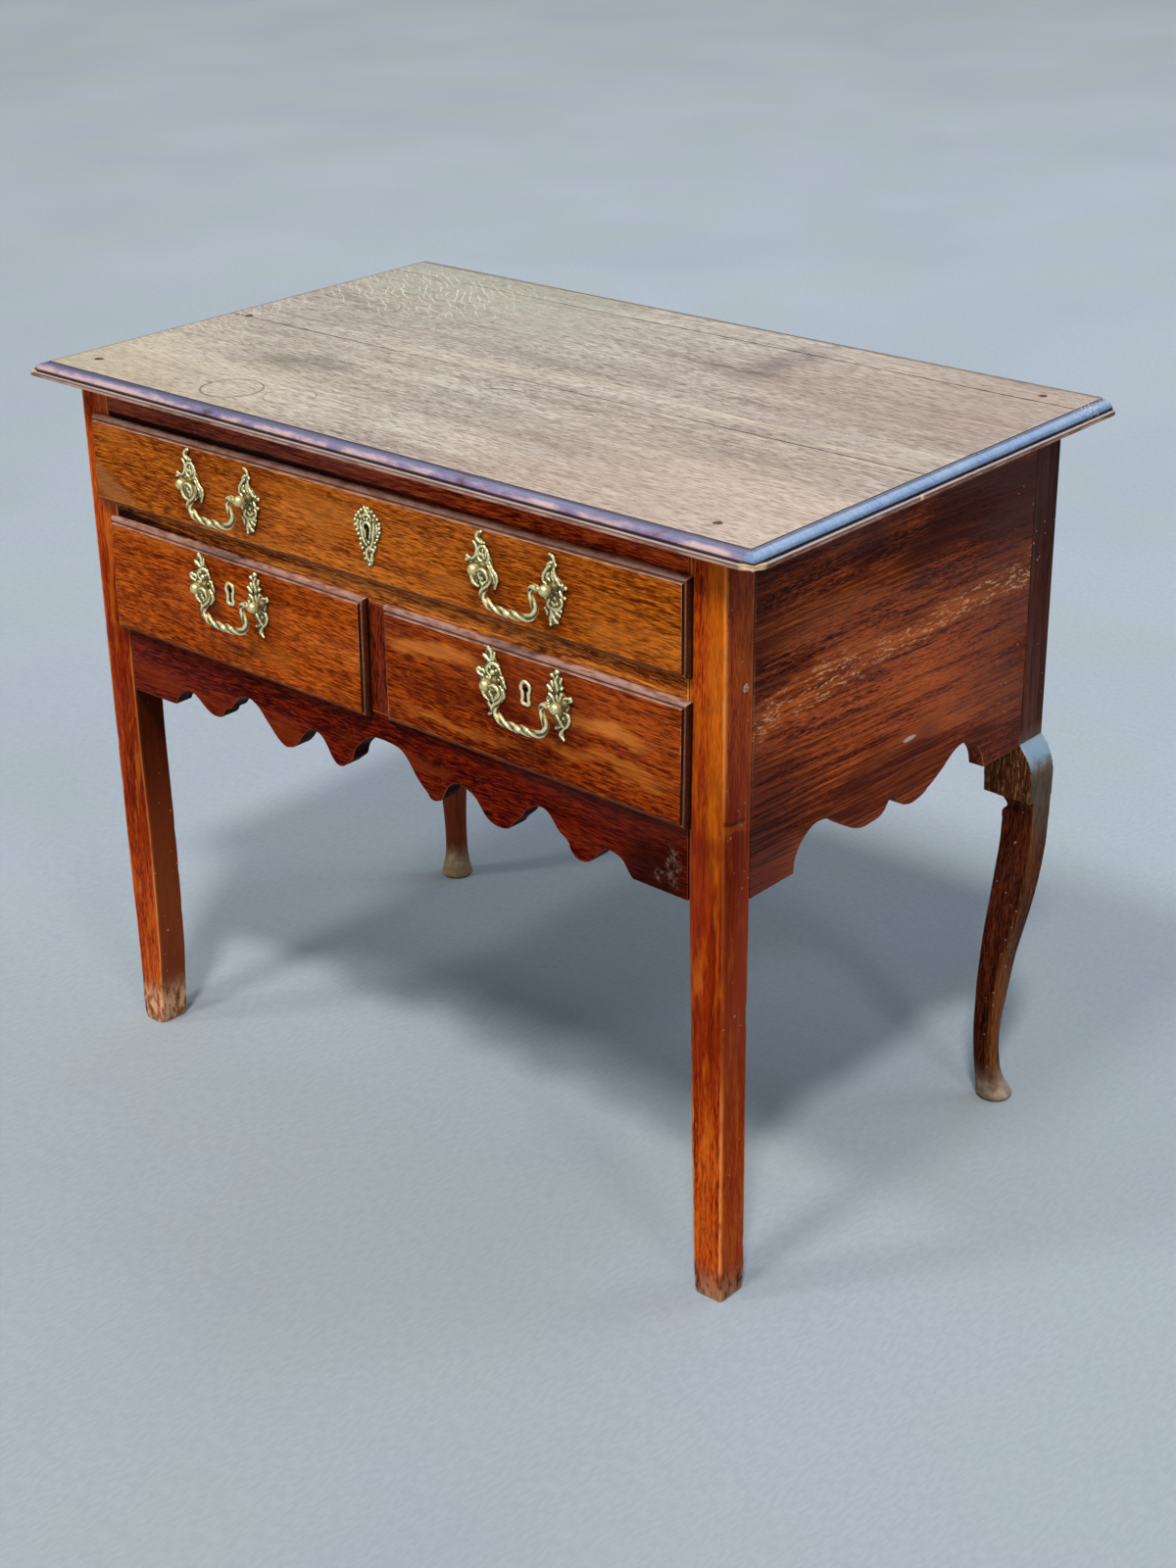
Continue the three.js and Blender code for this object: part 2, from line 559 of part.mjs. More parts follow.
  // bottom board in its grooves, running on under the back
  add(g, `${name}_bottom`, box(x0 + SIDE_T - 3, x1 - SIDE_T + 3,
    FRONT_BACK - 5, DRAWER_END - 1, z0 + 5, floor), M.inner);

  // half-mortise lock: case, selvedge and back plate, bolt drawn back
  const lockTop = z1 - GAP;
  const bolt = box(kx - 8, kx + 8, -233.5, -229.5, lockTop - 6, lockTop + 0.6);
  const post = new THREE.CylinderGeometry(1.2, 1.2, 6, 8);
  post.translate(kx, -237.5, kz + 1.6);
  const lock = join(
    box(kx - 21, kx + 21, -236, FRONT_BACK + GAP, kz - 22, lockTop),
    box(kx - 25.5, kx + 25.5, FRONT_BACK + GAP - 0.02, FRONT_BACK + 2, kz - 27, lockTop),
    bolt, post);
  add(g, `lock_${name.slice(7)}`, lock, M.iron);
  return g;
}

// -------------------------------------------------------------- hardware
// Cast plate outlines around the handle centre (x, z): two patterns, each
// with its left and right plate.
const PLATES = {
  upper: {
    left: [[-43.6, 29.8], [-40.2, 28.5], [-42.9, 25.9], [-43.9, 22.9],
      [-38.8, 19.3], [-34.7, 12.1], [-31.4, 6.7], [-29.1, -1], [-24.9, -6.8],
      [-25.7, -13.9], [-28.5, -18.7], [-32.3, -14.7], [-37.8, -18.8],
      [-50.4, -21.1], [-54.7, -15.8], [-56.5, -7.3], [-54.9, -1.4],
      [-61.1, 0.6], [-58.2, 4.7], [-53.8, 3], [-49.1, 8.2], [-52.2, 17.7],
      [-48.6, 19.2], [-47.4, 24.9], [-47.2, 28.3]],
    right: [[34.1, 26.3], [38.3, 24.6], [39.8, 20.3], [41.4, 17.3],
      [38.8, 14.7], [42.1, 8.8], [47.8, 4.1], [52, 1.1], [47.7, -2],
      [45.9, -5.7], [50.1, -8.1], [48.3, -10.5], [46.5, -14.3],
      [45.5, -20.7], [43.7, -25.2], [41, -31.3], [34, -35], [31.5, -33.6],
      [32.5, -27.2], [26.7, -21.9], [29.4, -17.1], [25.3, -12.7],
      [23.8, -6.3], [25.6, -1.8], [24.9, 2.1], [26.8, 9.3], [31.2, 15],
      [29.6, 16.6], [34.8, 21.1], [33.2, 24.8]],
  },
  lower: {
    left: [[-47, 29.2], [-43.1, 27.8], [-39.9, 23.9], [-38, 17.6],
      [-34.7, 14.4], [-33.2, 8], [-30, 3.4], [-27.7, -4.2], [-31.9, -2.6],
      [-28.9, -12], [-33.4, -18.7], [-37.8, -20.6], [-44.3, -29.3],
      [-48, -33.4], [-49.6, -32.1], [-46.9, -28.6], [-51.9, -23],
      [-49.1, -19.5], [-55, -15.6], [-56.4, -7.7], [-57.1, -3.8],
      [-61.3, 0.6], [-61, 6.9], [-56.5, 8.7], [-51.1, 12.8],
      [-53.9, 19.6], [-50.8, 21.1], [-49.2, 26.9]],
    right: [[29.8, 27.8], [33.9, 25.6], [32.1, 22.5], [35.3, 19.3],
      [34.4, 15.1], [37.7, 13.3], [35.1, 9.9], [39.9, 5.9], [44.9, 7.9],
      [46.5, 5], [43.4, 0.7], [43.4, -5.4], [42.8, -12.2], [40.1, -20.3],
      [35.8, -25.6], [37.3, -34], [31.4, -33.6], [31.6, -28.8],
      [27.5, -25.2], [28.5, -18.1], [21.2, -12.7], [17.3, -1.6],
      [20.8, 3.4], [19.4, 11.1], [22.8, 16], [26.2, 18.2], [23.8, 22.3],
      [26.4, 25.6]],
  },
};
// Bail centre line, right half then left half (x, z, radius), post to post.
const BAIL = [
  [36.6, 0, 1.7], [33.6, -0.2, 1.75], [32.4, -0.2, 2.5], [29.6, 0.5, 2.7],
  [26.6, 0.3, 2.6], [24.4, -1.9, 2.3], [23.5, -5.2, 2.2], [24.6, -9, 2.4],
  [26.6, -12.6, 2.7], [28.3, -16.5, 2.9], [28.1, -20.4, 3.0],
  [25.6, -24.6, 3.2], [21, -27.8, 3.3], [14.1, -29.4, 3.1], [7, -29.5, 3.3],
  [0, -29.4, 3.6], [-7, -29.5, 3.3], [-14.1, -29.2, 3.1],
  [-20.6, -27.6, 3.3], [-25.9, -24.9, 3.2], [-29.2, -20.9, 3.0],
  [-29.1, -16.6, 2.9], [-26.6, -12.6, 2.7], [-23.6, -8.6, 2.4],
  [-22, -5, 2.2], [-23.1, -1.2, 2.3], [-26, 1.0, 2.6], [-29.4, 1.0, 2.7],
  [-32.4, 0.1, 2.5], [-33.6, 0, 1.75], [-36.6, 0, 1.7],
];
function bail() {
  const sides = 8;
  const rings = BAIL.map(([x, z, r], k) => {
    const a = BAIL[Math.max(0, k - 1)], b = BAIL[Math.min(BAIL.length - 1, k + 1)];
    let tx = b[0] - a[0], tz = b[1] - a[1];
    if (k < 3 || k > BAIL.length - 4) { tx = -1; tz = 0; }
    const l = Math.hypot(tx, tz);
    const nx = -tz / l, nz = tx / l;
    return Array.from({ length: sides }, (_, j) => {
      const t = (j + 0.5) / sides * 2 * Math.PI;
      return [x + nx * r * Math.cos(t), r * Math.sin(t), z + nz * r * Math.cos(t)];
    });
  });
  return loft(rings);
}
// Post: foot collar, neck and ball head in front of the plate; bolt through
// the drawer front with its nut behind. Drilled across for the bail end.
const POST_PROFILE = [
  [0, PIVOT_Y - BALL_R], [3.3, -266.8], [5.2, -264.6], [5.8, -262],
  [5.2, -259.4], [3.6, -257.2], [3.0, -255.2], [3.6, -253.2], [5.2, -252],
  [5.2, -250.2], [2.6, -250.2], [2.6, FRONT_BACK + GAP],
  [5.6, FRONT_BACK + GAP], [5.6, FRONT_BACK + 3.4], [2.6, FRONT_BACK + 3.4],
  [2.4, FRONT_BACK + 5.6], [0, FRONT_BACK + 5.6],
];
function handlePost(side) {
  // the profile turns about the y axis
  const g = new THREE.LatheGeometry(
    POST_PROFILE.map(([r, y]) => new THREE.Vector2(r, y)), 10);
  const bore = new THREE.CylinderGeometry(PIN_HOLE_R, PIN_HOLE_R, 9, 8);
  bore.rotateZ(Math.PI / 2);
  bore.translate(-side * 5.0, PIVOT_Y, 0);
  return cut(g, bore);
}
function handle(group, name, [cx, cz], pattern) {
  const g = new THREE.Group();
  g.position.set(cx, 0, cz);
  group.add(g);
  for (const [side, label] of [[-1, 'left'], [1, 'right']]) {
    const bore = new THREE.CylinderGeometry(3.1, 3.1, 12, 8);
    bore.translate(side * POST_HALF, FACE, 0);
    add(g, `${name}_plate_${label}`, cut(slabXZ(PLATES[pattern][label],
      FACE - GAP - PLATE_T, FACE - GAP), bore), M.brass);
    const post = add(g, `${name}_post_${label}`, handlePost(side), M.brass);
    post.position.x = side * POST_HALF;
  }
  const b = add(g, `${name}_bail`, bail(), M.brass);
  b.position.y = PIVOT_Y;
}

const H = {
  tl: [-183, 632.2], tr: [184.7, 634.3], ll: [-175.2, 532.6], lr: [193.6, 533.3],
};
const topDrawer = drawer('drawer_top', {
  lip: [[-369, 667], [359, 671], [358.5, 585.5], [-371.5, 581]],
  flat: [[-363.7, 661.9], [354.4, 666.1], [353.9, 590.4], [-366.8, 586]],
  inner: [POST_L + 1.2, POST_R - 1.2, MID_Z1 + 0.6, RAIL_TOP_Z - 1.2],
  key: [6.4, 635.4], tails: 3, handles: [H.tl, H.tr],
});
handle(topDrawer, 'handle_top_left', H.tl, 'upper');
handle(topDrawer, 'handle_top_right', H.tr, 'upper');
const leftDrawer = drawer('drawer_left', {
  lip: [[-355.5, 568], [-8, 566], [-10.5, 452], [-359, 453.5]],
  flat: [[-350.5, 563], [-12.8, 561.1], [-15.2, 457], [-354.2, 458.5]],
  inner: [POST_L + 1.2, MUNTIN_L - 1.2, APRON_TOP + 0.6, MID_Z0 - 1.2],
  key: [-182.5, 531], tails: 4, handles: [H.ll],
});
handle(leftDrawer, 'handle_lower_left', H.ll, 'lower');
const rightDrawer = drawer('drawer_right', {
  lip: [[15.5, 566], [359, 565.5], [357, 453.5], [14.5, 456]],
  flat: [[20.3, 560.9], [354.4, 560.6], [352.3, 458.6], [19.4, 461.3]],
  inner: [MUNTIN_R + 1.2, POST_R - 1.2, APRON_TOP + 0.6, MID_Z0 - 1.2],
  key: [187, 530.5], tails: 4, handles: [H.lr],
});
handle(rightDrawer, 'handle_lower_right', H.lr, 'lower');

// escutcheon on the long drawer: a lobed teardrop with a keyhole
{
  const cx = 7, lobes = [];
  const half = [
    [0, 656.2], [3.4, 655.4], [5.6, 652.6], [8.2, 652.4], [10.4, 649.4],
    [13.2, 648.2], [14.4, 644.9], [16.8, 642.6], [16.4, 638.6], [17, 635.2],
    [14.6, 632.2], [13.6, 628.8], [10.6, 627], [9.6, 623.6], [10.4, 620.4],
    [8.8, 617.2], [5.9, 616], [5.4, 612.6], [6.3, 609.4], [5, 605.4],
    [2.8, 602], [0, 600.8],
  ];
  for (const [x, z] of half) lobes.push([cx + x, z]);
  for (const [x, z] of half.slice(1, -1).reverse()) lobes.push([cx - x, z]);
  add(topDrawer, 'escutcheon', cut(slabXZ(lobes, FACE - GAP - 1.6, FACE - GAP),
    slabXZ(keyhole(6.4, 635.4, 0.4), FACE - 4, FACE + 1)), M.brass);
}
// keyhole liners of the two short drawers
function liner(group, name, kx, kz) {
  const ring = (grow) => {
    const pts = [];
    for (let n = 0; n <= 8; n++) {
      const t = -0.28 * Math.PI + n / 8 * 1.56 * Math.PI;
      pts.push([kx + (4.2 + grow) * Math.cos(t), kz + 4.2 + (4.9 + grow) * Math.sin(t)]);
    }
    pts.push([kx - 2.6 - grow, kz - 4], [kx - 3.4 - grow * 0.8, kz - 8.8],
      [kx - 1.8, kz - 9.6 - grow], [kx + 1.8, kz - 9.6 - grow],
      [kx + 3.4 + grow * 0.8, kz - 8.8], [kx + 2.6 + grow, kz - 4]);
    return pts;
  };
  add(group, name, cut(slabXZ(ring(2.5), FACE - GAP - 1.8, FACE - GAP),
    slabXZ(ring(0), FACE - 4, FACE + 1)), M.brass);
}
liner(leftDrawer, 'keyhole_liner_left', -182.5, 531);
liner(rightDrawer, 'keyhole_liner_right', 187, 530.5);

lowboy.updateMatrixWorld(true);
export default lowboy;
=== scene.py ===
import bmesh
import bpy
import math
import numpy as np
from mathutils import Matrix, Vector


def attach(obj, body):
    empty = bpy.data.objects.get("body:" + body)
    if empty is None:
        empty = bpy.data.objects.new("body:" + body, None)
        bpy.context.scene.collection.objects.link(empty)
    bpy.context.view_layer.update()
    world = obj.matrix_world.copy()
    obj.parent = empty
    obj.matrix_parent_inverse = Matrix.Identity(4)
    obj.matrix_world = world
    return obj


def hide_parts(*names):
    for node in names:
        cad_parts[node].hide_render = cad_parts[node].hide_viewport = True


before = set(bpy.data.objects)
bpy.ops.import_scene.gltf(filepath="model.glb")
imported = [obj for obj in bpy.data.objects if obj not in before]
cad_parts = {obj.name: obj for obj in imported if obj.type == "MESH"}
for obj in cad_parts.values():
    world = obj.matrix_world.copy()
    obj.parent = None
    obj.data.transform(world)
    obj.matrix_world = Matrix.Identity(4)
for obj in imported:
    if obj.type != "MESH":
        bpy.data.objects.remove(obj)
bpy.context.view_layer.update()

# Everything below is written in millimetres, with the floor at z = 0 and the
# case front at y = -237.8; put() turns it into the frame's metres.
MM = 0.001
OY = 3.95
HEIGHT = 710.0
XL, XR = -389.0, 391.4
YF, YR, YB = -237.8, 244.7, 206.0
ZC = 695.3
POST_L, POST_R = -350.0, 354.0
FACE = -247.0
PIVOT_Y = -262.0
POST_HALF = 39.5
XMID = (XL + XR) / 2


# ------------------------------------------------------------------ numbers
def lattice(i, j, k, seed):
    h = i * 374761393 + j * 668265263 + k * 1440662683 + seed * 1274126177
    h = (h ^ (h >> 13)) * 1103515245
    h = h ^ (h >> 16)
    return (h & 0xFFFF) / 32767.5 - 1.0


def wobble(p, scale, seed=0):
    """Smooth noise in -1..1 at the points p; scale is its size, in the points' unit."""
    q = np.asarray(p, float) / np.asarray(scale, float)
    i = np.floor(q).astype(np.int64)
    f = q - i
    f = f * f * (3 - 2 * f)
    total = np.zeros(len(q))
    for c in range(8):
        d = (c & 1, (c >> 1) & 1, (c >> 2) & 1)
        w = np.ones(len(q))
        for a in range(3):
            w = w * (f[:, a] if d[a] else 1 - f[:, a])
        total += w * lattice(i[:, 0] + d[0], i[:, 1] + d[1], i[:, 2] + d[2], seed)
    return total


def smooth(x, a, b):
    t = np.clip((np.asarray(x, float) - a) / (b - a), 0, 1)
    return t * t * (3 - 2 * t)


def table_at(table, z):
    t = np.array(table, float)
    return [float(np.interp(z, t[:, 0], t[:, c])) for c in range(1, t.shape[1])]


def spline(pts, step, closed=False, corner=None):
    """Catmull-Rom through pts (any width), about `step` apart. Turns sharper than `corner` degrees stay sharp."""
    p = np.array(pts, float)
    n = len(p)
    out = []

    def turn(k):
        a, b = p[k] - p[k - 1], p[(k + 1) % n] - p[k]
        c = np.dot(a[:2], b[:2]) / max(1e-9, np.linalg.norm(a[:2]) * np.linalg.norm(b[:2]))
        return math.degrees(math.acos(max(-1, min(1, c))))

    for k in range(n if closed else n - 1):
        p1, p2 = p[k], p[(k + 1) % n]
        has0 = closed or k > 0
        has3 = closed or k < n - 2
        p0 = p[k - 1] if has0 else 2 * p1 - p2
        p3 = p[(k + 2) % n] if has3 else 2 * p2 - p1
        if corner is not None:
            if has0 and turn(k) > corner:
                p0 = 2 * p1 - p2
            if has3 and turn((k + 1) % n) > corner:
                p3 = 2 * p2 - p1
        m = max(1, int(round(np.linalg.norm((p2 - p1)[:2]) / step)))
        for s in range(m):
            t = s / m
            out.append(0.5 * ((2 * p1) + (p2 - p0) * t + (2 * p0 - 5 * p1 + 4 * p2 - p3) * t * t
                              + (3 * p1 - p0 - 3 * p2 + p3) * t ** 3))
    if not closed:
        out.append(p[-1])
    return np.array(out)


def steps(length, step, near=(0.5, 1.6, 4.0)):
    """Parameters 0..1 along an edge, with extra rows close to both ends."""
    near = [d for d in near if d < length * 0.4]
    start = near[-1] if near else 0
    m = max(1, int(round((length - 2 * start) / step)))
    inner = [start + (length - 2 * start) * k / m for k in range(m + 1)]
    out = [0.0] + near[:-1] + inner + [length - d for d in reversed(near[:-1])] + [length]
    return sorted({round(v / length, 6) for v in out})


# ------------------------------------------------------------------- meshes
def object_of(name, me, material):
    o = bpy.data.objects.new(name, me)
    bpy.context.scene.collection.objects.link(o)
    if material is not None:
        me.materials.clear()
        me.materials.append(material)
    return o


def settle(o, body, slot=None, stands_for=(), sharp=38, weighted=False):
    me = o.data
    me.shade_smooth()
    if sharp:
        me.set_sharp_from_angle(angle=math.radians(sharp))
    if weighted:
        m = o.modifiers.new("normals", "WEIGHTED_NORMAL")
        m.keep_sharp = True
        m.weight = 60
    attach(o, body)
    if stands_for:
        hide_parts(*stands_for)
    return o


def mesh_of(name, verts, faces, attrs=None):
    """A mesh from millimetres, with outward normals."""
    v = np.array(verts, float)
    me = bpy.data.meshes.new(name)
    v = v * MM
    v[:, 1] += OY * MM
    me.from_pydata(v.tolist(), [], [list(map(int, f)) for f in faces])
    for key, values in (attrs or {}).items():
        a = me.attributes.new(key, "FLOAT", "POINT")
        a.data.foreach_set("value", np.asarray(values, np.float32))
    bm = bmesh.new()
    bm.from_mesh(me)
    bmesh.ops.recalc_face_normals(bm, faces=bm.faces)
    bm.to_mesh(me)
    bm.free()
    me.update()
    return me


def put(name, verts, faces, body, material, attrs=None, **kw):
    return settle(object_of(name, mesh_of(name, verts, faces, attrs), material), body, **kw)


def put_bm(name, bm, body, material, **kw):
    me = bpy.data.meshes.new(name)
    bm.to_mesh(me)
    bm.free()
    me.transform(Matrix.Translation((0, OY * MM, 0)) @ Matrix.Scale(MM, 4))
    return settle(object_of(name, me, material), body, **kw)


def evaluated(o):
    """The object's mesh with its modifiers applied, and the object removed."""
    dg = bpy.context.evaluated_depsgraph_get()
    me = bpy.data.meshes.new_from_object(o.evaluated_get(dg))
    me.name = o.name + "_made"
    old = o.data
    bpy.data.objects.remove(o)
    bpy.data.meshes.remove(old)
    return me


def coords(me):
    co = np.zeros(len(me.vertices) * 3)
    me.vertices.foreach_get("co", co)
    return co.reshape(-1, 3)


def set_coords(me, co):
    me.vertices.foreach_set("co", np.asarray(co, float).ravel())
    me.update()


def normals(me):
    nn = np.zeros(len(me.vertices) * 3)
    me.vertices.foreach_get("normal", nn)
    return nn.reshape(-1, 3)


def set_attr(me, key, values):
    a = me.attributes.get(key) or me.attributes.new(key, "FLOAT", "POINT")
    a.data.foreach_set("value", np.asarray(values, np.float32))


def tube_between(rings, caps=True):
    """Vertices and faces of a closed solid through rings of equal length."""
    n = len(rings[0])
    v = np.concatenate([np.asarray(r, float) for r in rings])
    f = []
    for r in range(len(rings) - 1):
        for k in range(n):
            a, b = r * n + k, r * n + (k + 1) % n
            f.append((a, b, b + n, a + n))
    if caps:
        last = (len(rings) - 1) * n
        f.append(tuple(range(n))[::-1])
        f.append(tuple(range(last, last + n)))
    return v, f


def joined(parts):
    vs, fs, base = [], [], 0
    for v, f in parts:
        vs.append(v)
        fs += [tuple(int(i) + base for i in face) for face in f]
        base += len(v)
    return np.concatenate(vs), fs


def voxeled(name, verts, faces, size, passes=2, strength=0.5):
    """Joins overlapping closed solids into one even mesh, size in mm."""
    me = mesh_of(name, verts, faces)
    o = object_of(name, me, None)
    m = o.modifiers.new("grid", "REMESH")
    m.mode = "VOXEL"
    m.voxel_size = size * MM
    m.adaptivity = 0
    s = o.modifiers.new("even", "SMOOTH")
    s.iterations = passes
    s.factor = strength
    return evaluated(o)


# --------------------------------------------------------- shader building
class Graph:
    def __init__(self, name):
        self.mat = bpy.data.materials.new(name)
        self.mat.use_nodes = True
        self.t = self.mat.node_tree
        self.t.nodes.clear()
        self.out = self.t.nodes.new("ShaderNodeOutputMaterial")
        self.bsdf = self.t.nodes.new("ShaderNodeBsdfPrincipled")
        self.t.links.new(self.bsdf.outputs[0], self.out.inputs[0])

    def give(self, socket, value):
        if isinstance(value, bpy.types.NodeSocket):
            self.t.links.new(value, socket)
        elif value is not None:
            if isinstance(value, (tuple, list)) and len(value) == 3 and len(socket.default_value) == 4:
                value = (*value, 1)
            socket.default_value = value

    def node(self, kind, **props):
        n = self.t.nodes.new(kind)
        for k, v in props.items():
            setattr(n, k, v)
        return n

    def coords(self):
        if not hasattr(self, "_xyz"):
            self._xyz = self.node("ShaderNodeTexCoord").outputs["Object"]
            sep = self.node("ShaderNodeSeparateXYZ")
            self.give(sep.inputs[0], self._xyz)
            self.x, self.y, self.z = sep.outputs
        return self._xyz

    def math(self, op, a, b=None, c=None, clamp=False):
        n = self.node("ShaderNodeMath", operation=op, use_clamp=clamp)
        for s, v in zip(n.inputs, (a, b, c)):
            self.give(s, v)
        return n.outputs[0]

    def vec(self, op, a, b=None, scale=None):
        n = self.node("ShaderNodeVectorMath", operation=op)
        self.give(n.inputs[0], a)
        if b is not None:
            self.give(n.inputs[1], b)
        if scale is not None:
            self.give(n.inputs["Scale"], scale)
        return n.outputs["Value"] if op in ("LENGTH", "DISTANCE", "DOT_PRODUCT") else n.outputs[0]

    def xyz(self, x, y, z):
        n = self.node("ShaderNodeCombineXYZ")
        for s, v in zip(n.inputs, (x, y, z)):
            self.give(s, v)
        return n.outputs[0]

    def noise(self, vector, scale=1.0, detail=2.0, rough=0.5, distortion=0.0, dims="3D", w=None, color=False):
        n = self.node("ShaderNodeTexNoise", noise_dimensions=dims)
        if vector is not None:
            self.give(n.inputs["Vector"], vector)
        if w is not None:
            self.give(n.inputs["W"], w)
        self.give(n.inputs["Scale"], scale)
        self.give(n.inputs["Detail"], detail)
        self.give(n.inputs["Roughness"], rough)
        self.give(n.inputs["Distortion"], distortion)
        return n.outputs["Color" if color else "Fac"]

    def spots(self, vector, scale, rand=1.0, feature="F1"):
        n = self.node("ShaderNodeTexVoronoi", feature=feature)
        self.give(n.inputs["Vector"], vector)
        self.give(n.inputs["Scale"], scale)
        self.give(n.inputs["Randomness"], rand)
        return n.outputs["Distance"]

    def span(self, value, a, b, lo=0.0, hi=1.0, soft=True):
        n = self.node("ShaderNodeMapRange", interpolation_type="SMOOTHSTEP" if soft else "LINEAR")
        for s, v in zip(n.inputs[:5], (value, a, b, lo, hi)):
            self.give(s, v)
        return n.outputs[0]

    def mix(self, fac, a, b, blend="MIX"):
        n = self.node("ShaderNodeMix", data_type="RGBA", blend_type=blend)
        self.give(n.inputs[0], fac)
        self.give(n.inputs[6], a)
        self.give(n.inputs[7], b)
        return n.outputs[2]

    def ramp(self, fac, stops):
        n = self.node("ShaderNodeValToRGB")
        self.give(n.inputs[0], fac)
        e = n.color_ramp.elements
        while len(e) < len(stops):
            e.new(0.5)
        for el, (pos, col) in zip(e, stops):
            el.position = pos
            el.color = (*col, 1)
        return n.outputs[0]

    def attr(self, name):
        return self.node("ShaderNodeAttribute", attribute_name=name).outputs["Fac"]

    def bump(self, height, strength, distance, normal=None):
        n = self.node("ShaderNodeBump")
        self.give(n.inputs["Height"], height)
        self.give(n.inputs["Strength"], strength)
        self.give(n.inputs["Distance"], distance)
        if normal is not None:
            self.give(n.inputs["Normal"], normal)
        return n.outputs[0]

    def set(self, **kw):
        for k, v in kw.items():
            self.give(self.bsdf.inputs[k.replace("_", " ")], v)
        return self.mat


def srgb(r, g, b):
    return tuple((c / 255 / 12.92) if c / 255 <= 0.04045 else ((c / 255 + 0.055) / 1.055) ** 2.4 for c in (r, g, b))


def tint(c, k):
    return tuple(v * k for v in c)


def oak(name, grain, dark, mid, light, pore=0.82, fleck=0.5, rough=(0.34, 0.5), coat=0.0, shift=0.0, rings=62.0,
        extra=None, wear=None, lean=0.0, grime_and_shade=0.85, bump=0.4, fine=1.0, spec=0.02, gain=1.0, sheen=0.75, lines=0.25):
    """Polished oak with its grain along one axis: long bands, fibres and short dark open pores, worn where `edge` says."""
    g = Graph(name)
    g.coords()
    axes = {"x": (g.x, g.y, g.z), "y": (g.y, g.x, g.z), "z": (g.z, g.x, g.y)}[grain]
    along, c1, c2 = axes
    if lean:
        c2 = g.math("MULTIPLY_ADD", along, lean, c2)
    if shift:
        along = g.math("ADD", along, shift)
        c1 = g.math("ADD", c1, shift * 0.37)
        c2 = g.math("ADD", c2, shift * 0.61)
    base = g.xyz(along, c1, c2)
    bend = g.noise(g.vec("MULTIPLY", base, (2.2, 9.0, 9.0)), 1.0, 2.0, 0.5, color=True)
    bend = g.vec("MULTIPLY", g.vec("SUBTRACT", bend, (0.5, 0.5, 0.5)), (0.0, 0.03, 0.03))
    p = g.vec("ADD", base, bend)
    band = g.noise(g.vec("MULTIPLY", p, (1.8, rings, rings)), 1.0, 3.0, 0.66)
    broad = g.noise(g.vec("MULTIPLY", p, (3.0, 15.0, 15.0)), 1.0, 2.0, 0.55)
    fibre = g.noise(g.vec("MULTIPLY", p, (34.0, 760.0, 760.0)), 1.0, 2.0, 0.6)
    dash = g.noise(g.vec("MULTIPLY", p, (56.0 * fine, 640.0 * fine, 640.0 * fine)), 1.0, 1.5, 0.6, distortion=0.15)
    pit = g.noise(g.vec("MULTIPLY", p, (38.0 * fine, 440.0 * fine, 440.0 * fine)), 1.0, 2.0, 0.65, distortion=0.2)
    line = g.noise(g.vec("MULTIPLY", p, (8.0, 330.0, 330.0)), 1.0, 2.0, 0.6)
    tone = g.math("MULTIPLY_ADD", band, 0.44, g.math("MULTIPLY_ADD", broad, 0.40, g.math("MULTIPLY", fibre, 0.36)))
    tone = g.math("MULTIPLY_ADD", line, lines, tone)
    middle = 0.60 + 0.5 * lines
    tone = g.span(tone, middle - 0.13 / gain, middle + 0.13 / gain, soft=False)
    color = g.ramp(tone, [(0.0, dark), (0.5, mid), (1.0, light)])
    pores = g.math("MAXIMUM", g.span(dash, 0.53, 0.60), g.math("MULTIPLY", g.span(pit, 0.585, 0.68), 0.8))
    flecks = g.math("MAXIMUM", g.span(dash, 0.46, 0.39), g.math("MULTIPLY", g.span(pit, 0.42, 0.34), 0.8))
    color = g.mix(g.math("MULTIPLY", flecks, fleck), color, tint(light, 1.45))
    color = g.mix(g.math("MULTIPLY", pores, pore), color, tint(dark, 0.3))
    edge = g.attr("edge")
    ragged = g.noise(g.vec("MULTIPLY", base, (60, 160, 160)), 1.0, 3.0, 0.6)
    worn = g.span(g.math("MULTIPLY_ADD", edge, 0.62, g.math("MULTIPLY", ragged, 0.55)), 0.66, 0.9)
    color = g.mix(g.math("MULTIPLY", worn, 0.75), color, wear or tint(light, 1.5))
    # darkened by the mesh's grime-and-shade attribute: dirt and dark joints, and painted shade in the creases and gaps
    # where it is set
    grime_and_shade_attr = g.attr("grime_and_shade")
    grime_and_shade_mask = g.span(g.math("MULTIPLY_ADD", ragged, 0.3, g.math("SUBTRACT", grime_and_shade_attr, 0.15)), 0.15, 0.75)
    color = g.mix(g.math("MULTIPLY", grime_and_shade_mask, grime_and_shade), color, tint(dark, 0.12))
    # small pale nicks here and there
    nick = g.spots(g.vec("MULTIPLY", base, (30, 60, 60)), 1.0)
    nick = g.span(g.math("ADD", nick, g.math("MULTIPLY", ragged, 0.1)), 0.105, 0.085)
    color = g.mix(g.math("MULTIPLY", nick, 0.5), color, tint(light, 1.7))
    r = g.span(g.math("MULTIPLY_ADD", pores, 0.4, g.math("MULTIPLY", broad, 0.7)), 0.1, 0.9, rough[0], rough[1], soft=False)
    h = g.math("MULTIPLY_ADD", pores, -0.7, g.math("MULTIPLY", fibre, 0.45))
    h = g.math("MULTIPLY_ADD", nick, -0.5, h)
    nrm = g.bump(h, bump, 0.0004)
    undulate = g.noise(g.vec("MULTIPLY", base, (9, 30, 30)), 1.0, 2.0, 0.5)
    nrm = g.bump(undulate, 0.25, 0.0012, nrm)
